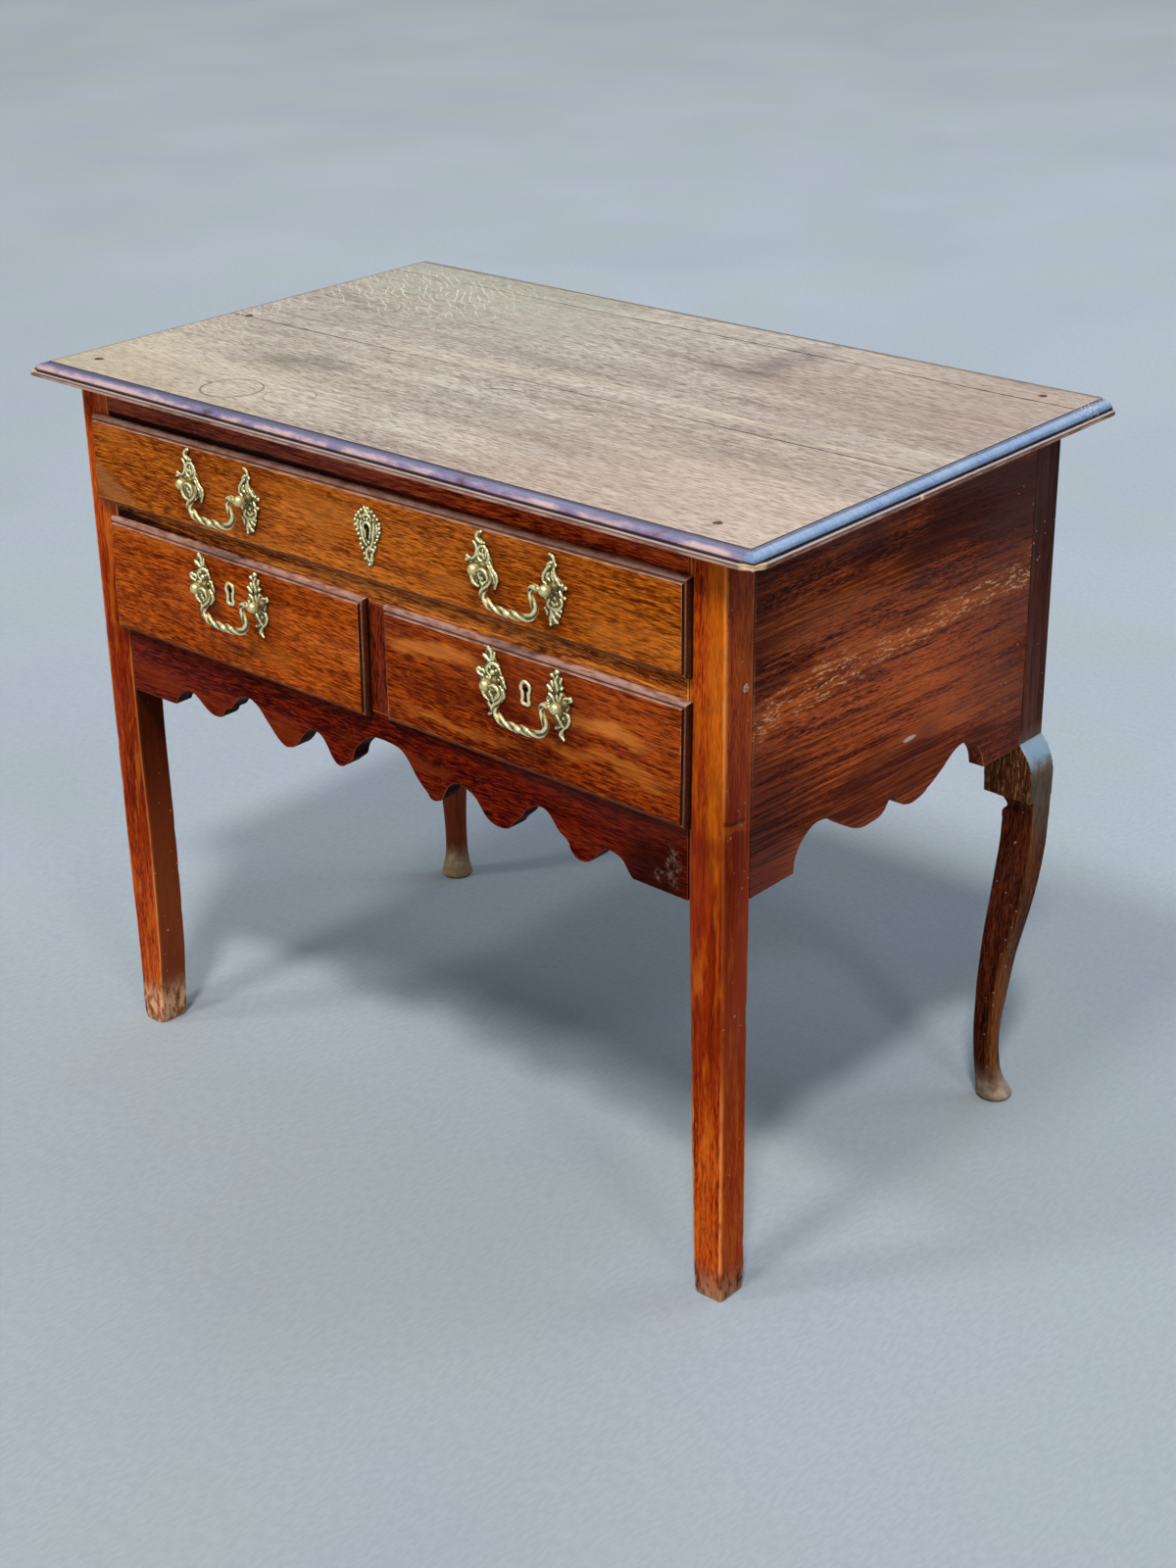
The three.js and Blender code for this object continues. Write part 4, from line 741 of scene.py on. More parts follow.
def top_face_marks(g):
    cloud = g.noise(g.vec("MULTIPLY", g._xyz, (9, 9, 24)), 1.0, 3, 0.55)
    g.color = g.mix(g.math("MULTIPLY", g.span(cloud, 0.54, 0.7), 0.4), g.color, srgb(186, 108, 38))
    g.color = g.mix(g.math("MULTIPLY", g.span(cloud, 0.44, 0.3), 0.35), g.color, srgb(96, 34, 6))
    # a paler diagonal figure in the lower left corner
    v = g.math("MULTIPLY_ADD", g.x, 0.55, g.z)
    v = g.math("ADD", v, g.math("MULTIPLY", g.math("SUBTRACT", g.noise(g._xyz, 22, 3, 0.6), 0.5), 0.03))
    figure = g.math("MULTIPLY", g.span(v, 0.432, 0.415), g.span(v, 0.385, 0.40))
    corner = g.math("MULTIPLY", g.span(v, 0.402, 0.394), g.span(g.x, -0.22, -0.3))
    g.color = g.mix(g.math("MULTIPLY", g.math("MULTIPLY", figure, g.span(g.x, -0.24, -0.33)), 0.55), g.color, srgb(156, 104, 60))
    g.color = g.mix(g.math("MULTIPLY", corner, 0.4), g.color, srgb(112, 60, 30))
    handle_marks(g, [(-183, 632), (184.7, 634)])
    lips(g)


def left_face_marks(g):
    cloud = g.noise(g.vec("MULTIPLY", g._xyz, (9, 9, 22)), 1.0, 3, 0.55)
    g.color = g.mix(g.math("MULTIPLY", g.span(cloud, 0.54, 0.7), 0.35), g.color, srgb(180, 98, 30))
    g.color = g.mix(g.math("MULTIPLY", g.span(cloud, 0.44, 0.3), 0.4), g.color, srgb(96, 28, 4))
    handle_marks(g, [(-175.2, 532.6)])
    lips(g)


def right_face_marks(g):
    cloud = g.noise(g.vec("MULTIPLY", g._xyz, (7, 7, 30)), 1.0, 3, 0.55)
    g.color = g.mix(g.math("MULTIPLY", g.span(cloud, 0.44, 0.3), 0.4), g.color, srgb(84, 22, 4))
    # flame-like orange bands
    u = g.math("ADD", g.z, g.math("MULTIPLY", g.math("SUBTRACT", g.noise(g.vec("MULTIPLY", g._xyz, (12, 12, 26)), 1.0, 3, 0.6), 0.5), 0.05))
    for z0, w, xa, xb, k in ((0.539, 0.010, 0.03, 0.12, 0.75), (0.518, 0.011, 0.215, 0.30, 0.75), (0.492, 0.007, 0.20, 0.33, 0.5),
                             (0.478, 0.006, 0.05, 0.16, 0.35)):
        d = g.span(g.math("ABSOLUTE", g.math("SUBTRACT", u, z0)), w, w * 0.3)
        x = g.math("MULTIPLY", g.span(g.x, xa - 0.03, xa + 0.02), g.span(g.x, xb + 0.04, xb - 0.02))
        g.color = g.mix(g.math("MULTIPLY", g.math("MULTIPLY", d, x), k), g.color, g.mix(g.tone, srgb(168, 84, 22), srgb(214, 128, 52)))
    g.color = g.mix(g.math("MULTIPLY", disc_xz(g, 187, 533, 30, 24, 0.5), 0.45), g.color, srgb(100, 30, 18))
    handle_marks(g, [(193.6, 533.3)])
    lips(g)


MAT = {
    # the top's pale grey-beige palette carries a painted sheen, the grey of a bright sky's reflection mixed into the
    # oak's colour
    "top": oak("oak_top", "x", srgb(150, 134, 122), srgb(193, 181, 170), srgb(221, 211, 199), pore=0.4, fleck=0.28,
               rough=(0.36, 0.5), extra=top_marks, rings=60, wear=srgb(214, 190, 168), gain=0.6, fine=1.5, sheen=0.8, lines=0.6),
    "face_top": oak("oak_face_top", "x", srgb(112, 44, 3), srgb(156, 74, 12), srgb(196, 110, 30), extra=top_face_marks,
                    wear=srgb(206, 150, 110), lean=0.02, gain=0.9, fine=1.45, pore=0.7, lines=0.4),
    "face_left": oak("oak_face_left", "x", srgb(112, 38, 2), srgb(156, 64, 8), srgb(194, 98, 24), shift=1.7,
                     extra=left_face_marks, wear=srgb(206, 150, 110), lean=0.03, gain=0.9, fine=1.45, pore=0.7, lines=0.4),
    "face_right": oak("oak_face_right", "x", srgb(78, 17, 1), srgb(120, 40, 4), srgb(168, 74, 14), shift=3.1,
                      extra=right_face_marks, wear=srgb(206, 150, 110), lean=0.03, gain=1.0, fine=1.45, pore=0.7, lines=0.4),
    "post": oak("oak_post", "z", srgb(106, 18, 1), srgb(156, 44, 2), srgb(208, 95, 13), extra=post_marks,
                wear=srgb(236, 148, 78), rings=90, fine=1.7, pore=0.55, fleck=0.35, lines=0.25),
    "mid": oak("oak_mid_rail", "x", srgb(88, 26, 3), srgb(152, 70, 16), srgb(214, 128, 50), shift=0.8, fine=1.4, lines=0.5, pore=0.5,
               extra=mid_marks),
    # the top rail has its own brighter red palette, in part painted light against the shade under the top's overhang
    "rail": oak("oak_top_rail", "x", srgb(96, 18, 2), srgb(156, 46, 8), srgb(206, 90, 28), shift=1.3, pore=0.6, fine=1.4, lines=0.5,
                extra=rail_marks),
    "case": oak("oak_case", "x", srgb(50, 2, 0), srgb(88, 12, 1), srgb(128, 38, 7), extra=apron_marks, shift=2.2,
                wear=srgb(150, 84, 54), fine=1.4, pore=0.7, lines=0.4),
    "muntin": oak("oak_muntin", "z", srgb(44, 6, 1), srgb(82, 18, 4), srgb(122, 42, 12), shift=1.2, fine=1.5),
    "panel": oak("oak_panel", "y", srgb(58, 13, 5), srgb(122, 46, 18), srgb(186, 86, 38), extra=panel_marks,
                 wear=srgb(196, 146, 122), rings=60, lean=0.05, fine=2.1, pore=0.38, lines=0.9, gain=1.15),
    "rear": oak("oak_rear_leg", "z", srgb(36, 10, 4), srgb(78, 32, 14), srgb(130, 68, 34), extra=rear_marks,
                rings=95, wear=srgb(186, 130, 90), fine=1.5, pore=0.6, lines=0.4),
    "inner": oak("oak_inner_y", "y", srgb(120, 84, 50), srgb(158, 118, 76), srgb(186, 148, 104), pore=0.4,
                 rough=(0.62, 0.8), wear=srgb(200, 168, 124), rings=40, sheen=0, fleck=0.3),
    "inner_x": oak("oak_inner_x", "x", srgb(116, 82, 50), srgb(152, 114, 74), srgb(182, 146, 102), pore=0.4,
                   rough=(0.62, 0.8), wear=srgb(200, 168, 124), rings=40, shift=0.9, sheen=0, fleck=0.3),
    "back": oak("oak_back", "x", srgb(70, 50, 34), srgb(108, 82, 58), srgb(140, 112, 84), pore=0.5,
                rough=(0.7, 0.85), rings=36, shift=1.9, sheen=0, fleck=0.3),
}


def brass(name, dark, mid, bright, rough=(0.34, 0.55), bump=0.5, grain=900.0, metal=0.6):
    """Old cast brass: bright on what is high and handled, brown-green in the hollows."""
    g = Graph(name)
    g.coords()
    high = g.attr("cav")
    cloud = g.noise(g._xyz, 190, 4, 0.6)
    fine = g.noise(g._xyz, grain, 3, 0.6)
    k = g.math("MULTIPLY_ADD", high, 0.85, g.math("MULTIPLY", g.math("SUBTRACT", cloud, 0.5), 0.5))
    k = g.math("ADD", k, g.math("MULTIPLY", g.math("SUBTRACT", fine, 0.5), 0.25))
    color = g.ramp(k, [(0.06, dark), (0.38, mid), (0.7, bright)])
    r = g.span(k, 0.1, 0.9, rough[1], rough[0], soft=False)
    nrm = g.bump(fine, bump, 0.0003)
    nrm = g.bump(cloud, 0.35, 0.0006, nrm)
    g.set(Base_Color=color, Roughness=r, Normal=nrm, Metallic=g.span(k, 0.02, 0.4, 0.3, metal))
    return g.mat


BRASS = brass("brass_cast", srgb(44, 38, 14), srgb(146, 134, 74), srgb(246, 240, 192))
KNOB = brass("brass_knob", srgb(104, 92, 48), srgb(186, 174, 112), srgb(226, 216, 156), rough=(0.36, 0.46), bump=0.15, metal=0.65)


def iron():
    g = Graph("iron_old")
    g.coords()
    cloud = g.noise(g._xyz, 60, 5, 0.65)
    fine = g.noise(g._xyz, 520, 3, 0.6)
    rust = g.span(cloud, 0.45, 0.68)
    color = g.mix(rust, g.mix(fine, srgb(52, 50, 50), srgb(94, 92, 92)), g.mix(fine, srgb(66, 38, 24), srgb(112, 66, 40)))
    g.set(Base_Color=color, Metallic=g.span(rust, 0.2, 0.9, 0.9, 0.25), Roughness=g.span(cloud, 0.3, 0.7, 0.42, 0.72, soft=False),
          Normal=g.bump(fine, 0.5, 0.0004))
    return g.mat


IRON = iron()


# -------------------------------------------------------------------- boards
def board(quads, tu, tv, caps=(True, True)):
    """A solid through rings, each a quad of four corners sampled alike, with gridded ends.
    Returns vertices, faces, the ring number and the place round the ring of each vertex."""
    nu, nv = len(tu) - 1, len(tv) - 1
    n = 2 * nu + 2 * nv
    tu, tv = np.array(tu), np.array(tv)
    rings = []
    for q in quads:
        c = [np.array(p, float) for p in q]
        pts = [c[0] + (c[1] - c[0]) * t for t in tu[:-1]]
        pts += [c[1] + (c[2] - c[1]) * t for t in tv[:-1]]
        pts += [c[3] + (c[2] - c[3]) * t for t in tu[:0:-1]]
        pts += [c[0] + (c[3] - c[0]) * t for t in tv[:0:-1]]
        rings.append(pts)
    v, f = tube_between(rings, caps=False)
    v = v.tolist()
    ringno = [k for k in range(len(quads)) for _ in range(n)]

    def cap(ring, quad, flip):
        start = ring * n

        def at(i, j):
            if j == 0 and i < nu:
                return start + i
            if i == nu and j < nv:
                return start + nu + j
            if j == nv and i > 0:
                return start + nu + nv + (nu - i)
            if i == 0 and j > 0:
                return start + 2 * nu + nv + (nv - j)
            return grid[(i, j)]

        c = [np.array(p, float) for p in quad]
        grid = {}
        for i in range(1, nu):
            for j in range(1, nv):
                a, b = tu[i], tv[j]
                grid[(i, j)] = len(v)
                v.append((c[0] * (1 - a) * (1 - b) + c[1] * a * (1 - b) + c[2] * a * b + c[3] * (1 - a) * b).tolist())
                ringno.append(ring)
        for i in range(nu):
            for j in range(nv):
                face = (at(i, j), at(i + 1, j), at(i + 1, j + 1), at(i, j + 1))
                f.append(face[::-1] if flip else face)

    if caps[0]:
        cap(0, quads[0], True)
    else:
        f.append(tuple(range(n))[::-1])
    if caps[1]:
        cap(len(quads) - 1, quads[-1], False)
    else:
        s = (len(quads) - 1) * n
        f.append(tuple(range(s, s + n)))
    return np.array(v), f, np.array(ringno)


# ----------------------------------------------------------------------- top
def moulding():
    """[inset from the outermost edge, drop]: flat, quirk, ovolo, groove, fillet."""
    out = [(15.2, 0.0), (14.4, 0.03), (14.05, 0.2), (13.9, 0.55), (13.86, 1.0), (13.55, 1.28)]
    for k in range(1, 13):
        t = k / 12 * math.pi / 2
        out.append((13.2 - 10.35 * math.sin(t), 8.75 - 7.5 * math.cos(t)))
    out += [(3.05, 9.15), (2.75, 9.45), (2.3, 9.2), (1.5, 8.98), (0.8, 9.08), (0.3, 9.4), (0.05, 9.95),
            (0, 11.2), (0, 12.8), (0.12, 13.4), (0.45, 13.85), (1.0, 14.1)]
    return out


def top_board(name, y0, y1, front, rear_corner, seed):
    w, d = 434.7, 259.9
    prof = moulding()
    quads = []
    for inset, drop in prof:
        z = HEIGHT - drop
        xa, xb = -w + inset, w - inset
        ya = y0 + inset if front else y0
        quads.append([(xa, ya, z), (xb, ya, z), (xb, y1, z), (xa, y1, z)])
    tu = steps(2 * w, 8.0, (0.8, 2.5, 6.0))
    tv = steps(y1 - y0, 8.0 if y1 - y0 > 60 else 5.0, (0.5, 1.5, 4.0))
    v, f, ring = board(quads, tu, tv)
    out = np.array([prof[r][0] for r in ring])
    if rear_corner:      # the corner at the back left is rounded
        r = 9.0
        cx, cy = -w + r, d - r
        k = (v[:, 0] < cx) & (v[:, 1] > cy)
        dx, dy = cx - v[k, 0], v[k, 1] - cy
        m = np.maximum(dx, dy)
        l = np.hypot(dx, dy)
        s = np.where(l > 0, m / np.maximum(l, 1e-9), 1)
        v[k, 0], v[k, 1] = cx - dx * s, cy + dy * s
    top = ring == 0
    v[top, 2] += 0.28 * wobble(v[top], (120, 46, 50), seed) + 0.07 * wobble(v[top], (24, 11, 20), seed + 1) - 0.16
    # the glue lines show as fine grooves
    for joint in ((y1,) if front else (y0, y1) if not rear_corner else (y0,)):
        near = top & (np.abs(v[:, 1] - joint) < 0.25)
        v[near, 2] -= 0.35
    # old wear: the moulding is rubbed and nicked, each nick a short dip
    p = v.copy()
    rub = wobble(p, (38, 38, 9), seed + 2)
    nick = smooth(wobble(p, (9, 9, 5), seed + 3), 0.62, 0.85) * 0.7 + smooth(wobble(p, (26, 26, 8), seed + 5), 0.7, 0.9) * 0.8
    side = np.abs(p[:, 0]) > w - 15.3
    fr = front & (p[:, 1] < y0 + 15.3)
    amount = np.where(out < 15, 0.12 * rub + nick * np.where((out < 3) | (out > 13), 1.0, 0.45), 0)
    v[:, 0] -= np.where(side & ~(p[:, 2] < HEIGHT - 14.0), np.sign(p[:, 0]) * np.maximum(amount, 0), 0)
    if front:
        v[:, 1] += np.where(fr & ~(p[:, 2] < HEIGHT - 14.0), np.maximum(amount, 0), 0)
        # a larger bite out of the fillet on the right front corner
        bite = smooth(np.hypot(p[:, 0] - w, p[:, 1] + d), 15, 4) * smooth(HEIGHT - p[:, 2], 8.6, 10)
        v[:, 0] -= bite * 2.4
        v[:, 1] += bite * 2.2
        v[:, 2] += bite * 0.8
    edge = np.zeros(len(v))
    for centre, width in ((14.1, 0.8), (0.6, 0.9)):
        edge = np.maximum(edge, np.exp(-((out - centre) / width) ** 2))
    # painted shade in the quirk and the groove of the moulding, with the dark glue lines across the top
    grime_and_shade = np.maximum(np.exp(-((out - 13.7) / 0.45) ** 2), np.exp(-((out - 2.7) / 0.6) ** 2))
    grime_and_shade = np.maximum(grime_and_shade, top * 0.75 * sum(np.exp(-((v[:, 1] - j) / 0.45) ** 2) for j in (-17, 215)))
    put(name + "_oak", v, f, "case", MAT["top"], {"edge": edge, "grime_and_shade": grime_and_shade}, slot="top_oak",
        stands_for=[name], sharp=50)


top_board("top_board_front", -259.9, -17.15, True, False, 11)
top_board("top_board_middle", -16.85, 214.85, False, False, 23)
top_board("top_board_rear", 215.15, 259.9, False, True, 37)


# ---------------------------------------------------------------- front legs
FRONT_RIGHT = [[0, 361.2, -204.1], [23, 360.7, -204.1], [67, 359.5, -204.2], [153, 357.7, -204.5],
               [237, 356.7, -204.8], [330, 355.0, -204.2], [400, 354, -203.5], [440, 354, -203.2], [ZC, 354, -201.2]]
FRONT_LEFT = [[0, -360.5, -204.1], [30, -357.5, -204.1], [86, -352.6, -204.2], [153, -350.6, -204.5],
              [224, -349.4, -204.8], [330, -351.4, -204.2], [400, -351, -203.5], [440, -350, -203.2], [ZC, -350, -201.2]]


def front_leg(name, table, outer, seed):
    zs = [0, 0.6, 1.8, 3.5, 6, 9, 12, 16, 20, 25, 30] + list(np.arange(36, ZC - 4, 6.0)) + [ZC - 1.5, ZC - 0.4, ZC]
    cross = [0.025, 0.1, 0.25, 0.42, 0.58, 0.75, 0.9, 0.975]
    rings, edges = [], []
    for z in zs:
        xi, yr = table_at(table, z)
        a, b = min(xi, outer), max(xi, outer)
        foot = float(smooth(z, 16, 0))
        r = 2.0 + 2.0 * foot ** 2
        corners = [(a, YF, 1, 1, 180), (b, YF, -1, 1, 270), (b, yr, -1, -1, 0), (a, yr, 1, -1, 90)]
        ring, e = [], []
        for k, (x, y, sx, sy, a0) in enumerate(corners):
            cx, cy = x + sx * r, y + sy * r
            arc = []
            for s in range(5):
                t = math.radians(a0 + 90 * s / 4)
                arc.append((cx + r * math.cos(t), cy + r * math.sin(t)))
                e.append(1.0)
            ring += [(p[0], p[1], z) for p in arc]
            nx, ny, nsx, nsy, _ = corners[(k + 1) % 4]
            ex, ey = nx + nsx * r, ny + nsy * r
            if k == 0:
                nxt = (nx - r, ny)
            elif k == 1:
                nxt = (nx, ny - r)
            elif k == 2:
                nxt = (nx + r, ny)
            else:
                nxt = (nx, ny + r)
            last = arc[-1]
            for c in cross:
                ring.append((last[0] + (nxt[0] - last[0]) * c, last[1] + (nxt[1] - last[1]) * c, z))
                e.append(0.75 if c in (0.025, 0.975) else 0.12 if c in (0.1, 0.9) else 0.0)
        rings.append(ring)
        edges += e
    v, f = tube_between(rings)
    edges = np.array(edges)
    n = len(rings[0])
    cx = (v[:, 0].min() + v[:, 0].max()) / 2
    cy = (YF - 203) / 2
    p = v.copy()
    out = np.stack([p[:, 0] - cx, p[:, 1] - cy], 1)
    out /= np.maximum(np.linalg.norm(out, axis=1), 1e-6)[:, None]
    soft = 0.14 * wobble(p, (26, 26, 120), seed) + 0.05 * wobble(p, (9, 9, 30), seed + 1) - 0.15
    nicks = edges * (0.55 * smooth(wobble(p, (14, 14, 16), seed + 2), 0.45, 0.8) + 0.6 * smooth(wobble(p, (30, 30, 60), seed + 6), 0.5, 0.9))
    foot = smooth(p[:, 2], 28, 0)
    chips = foot * (0.5 + 0.9 * wobble(p, (12, 12, 9), seed + 3) + 1.6 * edges * smooth(wobble(p, (15, 15, 11), seed + 4), 0.1, 0.8))
    amount = soft - nicks - np.maximum(chips, 0)
    v[:, 0] += out[:, 0] * amount
    v[:, 1] += out[:, 1] * amount
    low = p[:, 2] < 0.1
    v[low, 2] += np.maximum(0, 0.5 * wobble(p[low], (10, 10, 10), seed + 5))
    edges = np.maximum(edges, foot * 0.7)
    put(name + "_oak", v, f, "case", MAT["post"], {"edge": edges, "grime_and_shade": np.zeros(len(v))},
        slot="post_oak", stands_for=[name], sharp=60)


front_leg("leg_front_left", FRONT_LEFT, XL, 51)
front_leg("leg_front_right", FRONT_RIGHT, XR, 61)


# ----------------------------------------------------------------- rear legs
SHAFT = [[0, 385.5, 208.2, 17.0, 17.0, 16.6], [2.5, 385.4, 208.1, 18.2, 18.2, 17.9], [8, 384.3, 207.6, 16.9, 16.9, 16.5],
         [14, 381.8, 206.5, 15.2, 15.2, 14.8], [22, 380.0, 204.9, 13.5, 13.5, 13.0], [32, 378.4, 203.4, 12.7, 12.7, 12.2],
         [50, 376.8, 202.5, 12.3, 12.3, 11.7], [69, 376.0, 202.5, 12.4, 12.4, 11.3], [86, 376.0, 203.7, 12.7, 12.6, 10.1],
         [102, 376.4, 205.2, 13.0, 13.0, 8.9], [126, 376.8, 208.1, 13.8, 13.6, 7.5], [155, 378.2, 212.0, 14.2, 14.2, 6.0],
         [188, 381.6, 216.6, 15.8, 15.6, 4.6], [208, 383.7, 219.6, 16.5, 16.0, 4.1], [228, 385.4, 222.6, 17.1, 16.3, 3.7],
         [252, 387.0, 226.0, 17.5, 16.0, 3.2], [275, 388.1, 228.7, 17.6, 15.4, 2.8], [304, 388.5, 229.65, 17.5, 15.05, 2]]
LEFT_FOOT = [[0, -366.0, 217.0], [14, -365.6, 217.0], [40, -365.0, 216.8], [100, -365.4, 216.4], [155, -368.9, 218.6],
             [190, -373.0, 221.3], [235, -380.4, 224.8], [304, 2 * XMID - 388.5, 229.65]]
POST_IN = XR - 39.4


def slab(pts, place, a, b):
    lo = [place(u, w, a) for u, w in pts]
    hi = [place(u, w, b) for u, w in pts]
    n = len(pts)
    f = [tuple(range(n))[::-1], tuple(range(n, 2 * n))]
    f += [(k, (k + 1) % n, n + (k + 1) % n, n + k) for k in range(n)]
    return np.array(lo + hi, float), f


def xz(u, w, y):
    return (u, y, w)


def yz(u, w, x):
    return (x, u, w)


def rear_leg(name, side, seed):
    shaft = []
    zs = [0, 0.5, 1.4, 2.5] + list(np.arange(4, 30, 2.0)) + list(np.arange(30, 304, 4.0)) + [304]
    smoothed = spline(SHAFT, 3.0)
    tab = []
    for c in range(6):
        tab.append(np.interp(zs, [s[0] for s in SHAFT], [s[c] for s in SHAFT]))
    # soften the table's corners
    tab = np.array(tab)
    for _ in range(3):
        inner = tab[1:, 4:-2]
        tab[1:, 4:-2] = inner * 0.5 + 0.25 * (tab[1:, 3:-3] + tab[1:, 5:-1])
    for k, z in enumerate(zs):
        cx, cy, hx, hy, q = tab[1:, k]
        if side < 0:
            cx, cy = table_at(LEFT_FOOT, z)
        q = min(q, hx - 0.05, hy - 0.05)
        ring = []
        for c in range(4):
            sx, sy = (1, -1, -1, 1)[c], (1, 1, -1, -1)[c]
            for s in range(8):
                t = (c + s / 7) * math.pi / 2
                ring.append((cx + sx * (hx - q) + q * math.cos(t), cy + sy * (hy - q) + q * math.sin(t), z))
        shaft.append(ring)
    knee_out = [(XR, 383), (393.5, 380.2), (398, 374.6), (401.5, 368.6), (404.2, 362), (406.2, 354.5), (407.2, 346),
                (407, 338), (406.4, 325)]
    curve = spline([(x, z) for x, z in knee_out], 2.0)
    rear = [(XR, ZC)] + [tuple(c) for c in curve] + [(406, 312), (406, 300)]
    ear_low = [(371, 300), (371, 307), (373, 310), (376, 313), (374.5, 317.5), (369.6, 321), (362, 323.6), (354.2, 324.6)]
    rear += [tuple(c) for c in spline(ear_low, 2.0)] + [(353.2, 360), (POST_IN, 381), (POST_IN, ZC)]
    front = [(XR, ZC)] + [tuple(c) for c in curve] + [(354.2, 325.5), (353.2, 360), (POST_IN, 381), (POST_IN, ZC)]

    def flip(part):
        v, f = part
        if side < 0:
            v = v.copy()
            v[:, 0] = 2 * XMID - v[:, 0]
        return v, f

    parts = [flip(slab(rear, xz, YB + 8.6, YR)), flip(slab(front, xz, YB + 0.05, YB + 9.6)), tube_between(shaft)]
    v, f = joined(parts)
    me = voxeled(name + "_oak", v, f, 1.35, passes=3)
    co = coords(me) * 1000
    co[:, 1] -= OY
    nn = normals(me)
    w = 0.22 * wobble(co, (22, 22, 60), seed) + 0.1 * wobble(co, (6, 6, 14), seed + 1) - 0.1
    shaftz = smooth(co[:, 2], 385, 360)
    co += nn * (w * (0.25 + 0.75 * shaftz))[:, None]
    co[:, 2] = np.maximum(co[:, 2], 0)
    # worn arrises of the shaft and knee: where the normal turns quickly
    bend = np.zeros(len(co))
    ed = np.zeros(len(me.edges) * 2, np.int64)
    me.edges.foreach_get("vertices", ed)
    ed = ed.reshape(-1, 2)
    dn = 1 - np.sum(nn[ed[:, 0]] * nn[ed[:, 1]], 1)
    np.add.at(bend, ed[:, 0], dn)
    np.add.at(bend, ed[:, 1], dn)
    for _ in range(2):
        acc, cnt = bend.copy(), np.ones(len(bend))
        np.add.at(acc, ed[:, 0], bend[ed[:, 1]])
        np.add.at(acc, ed[:, 1], bend[ed[:, 0]])
        np.add.at(cnt, ed[:, 0], 1)
        np.add.at(cnt, ed[:, 1], 1)
        bend = acc / cnt
    edge = smooth(bend, 0.06, 0.32)
    co[:, 1] += OY
    set_coords(me, co / 1000)
    set_attr(me, "edge", edge)
    set_attr(me, "grime_and_shade", smooth(co[:, 2], 24, 6) * 0.4)
    settle(object_of(name + "_oak", me, MAT["rear"]), "case", "rear_leg_oak", [name], sharp=None)


rear_leg("leg_rear_right", 1, 71)
rear_leg("leg_rear_left", -1, 81)


# ------------------------------------------------------- flat cut-out pieces
def bevelled(parts, radius, segments=3, angle=24):
    v, f = parts
    bm = bmesh.new()
    vs = [bm.verts.new(p) for p in v]
    for face in f:
        bm.faces.new([vs[i] for i in face])
    bmesh.ops.recalc_face_normals(bm, faces=bm.faces)
    return soften(bm, radius, segments, angle)


def soften(bm, radius, segments, angle):
    """Rounds the sharp edges; the faces made are marked in the face layer `edge`."""
    flag = bm.faces.layers.float.new("edge")
    sharp = [e for e in bm.edges if len(e.link_faces) == 2 and e.calc_face_angle() > math.radians(angle)]
    made = bmesh.ops.bevel(bm, geom=sharp, offset=radius, offset_type="OFFSET", segments=segments, profile=0.5,
                           affect="EDGES", clamp_overlap=True)
    flag = bm.faces.layers.float["edge"]
    for x in made["faces"]:
        if x.is_valid:
            x[flag] = 1.0
    return bm


def gridded(bm, step, seed, wave=0.15, sizes=(60, 60, 60), axes=(0, 1, 2)):
    lo = np.min([v.co[:] for v in bm.verts], 0)
    hi = np.max([v.co[:] for v in bm.verts], 0)
    for a in axes:
        length = hi[a] - lo[a]
        m = int(length // step[a])
        for k in range(1, m + 1):
            at = lo[a] + length * k / (m + 1)
            co, no = [0, 0, 0], [0, 0, 0]
            co[a], no[a] = at, 1
            bmesh.ops.bisect_plane(bm, geom=bm.verts[:] + bm.edges[:] + bm.faces[:], dist=1e-4, plane_co=co, plane_no=no)
    bm.normal_update()
    bm.verts.ensure_lookup_table()
    p = np.array([v.co[:] for v in bm.verts])
    flag = bm.faces.layers.float["edge"]
    e = np.array([max(f[flag] for f in v.link_faces) for v in bm.verts])
    shift = wave * wobble(p, sizes, seed) - wave * 0.8
    shift -= e * 0.45 * smooth(wobble(p, (11, 11, 11), seed + 1), 0.5, 0.85)
    for v, s in zip(bm.verts, shift):
        v.co += v.normal * s
    return bm


def flat_piece(name, parts, body, material, slot, radius=1.0, step=(12, 12, 12), seed=1, wave=0.14, stands_for=None,
               sizes=(60, 60, 60)):
    bm = gridded(bevelled(parts, radius), step, seed, wave, sizes)
    return put_bm(name + "_oak", bm, body, material, slot=slot, stands_for=stands_for or [name], sharp=42, weighted=True)


def box(x0, x1, y0, y1, z0, z1):
    return slab([(x0, z0), (x1, z0), (x1, z1), (x0, z1)], xz, y0, y1)


END_EDGE = [(-143.4, 386.5), (-142.9, 394), (-141.2, 400.3), (-138.1, 406.1), (-134.4, 410.8), (-128, 416.2),
            (-120.3, 420.3), (-112.5, 422.2), (-101.8, 421.3), (-92.4, 418.6), (-84.1, 414.2), (-75.7, 407),
            (-67.3, 401.2), (-56, 395.4), (-44.8, 392.2), (-32.6, 392), (-19.6, 393), (-12, 396.9), (-7, 402.7),
            (-3.9, 404.9), (0.7, 406.6), (6.5, 398.6), (13.6, 393), (20.5, 389.8), (28.7, 388.2), (36.8, 388.7),
            (47.6, 390.8), (56.9, 394.7), (67.5, 400.3), (78.2, 406), (87.4, 412.2), (95.5, 416.2), (103.7, 418.5),
            (112.2, 418.3), (119.6, 415.6), (128.6, 410.3), (136.5, 402.8), (140.7, 396), (142.7, 390.1), (144.2, 382.5)]
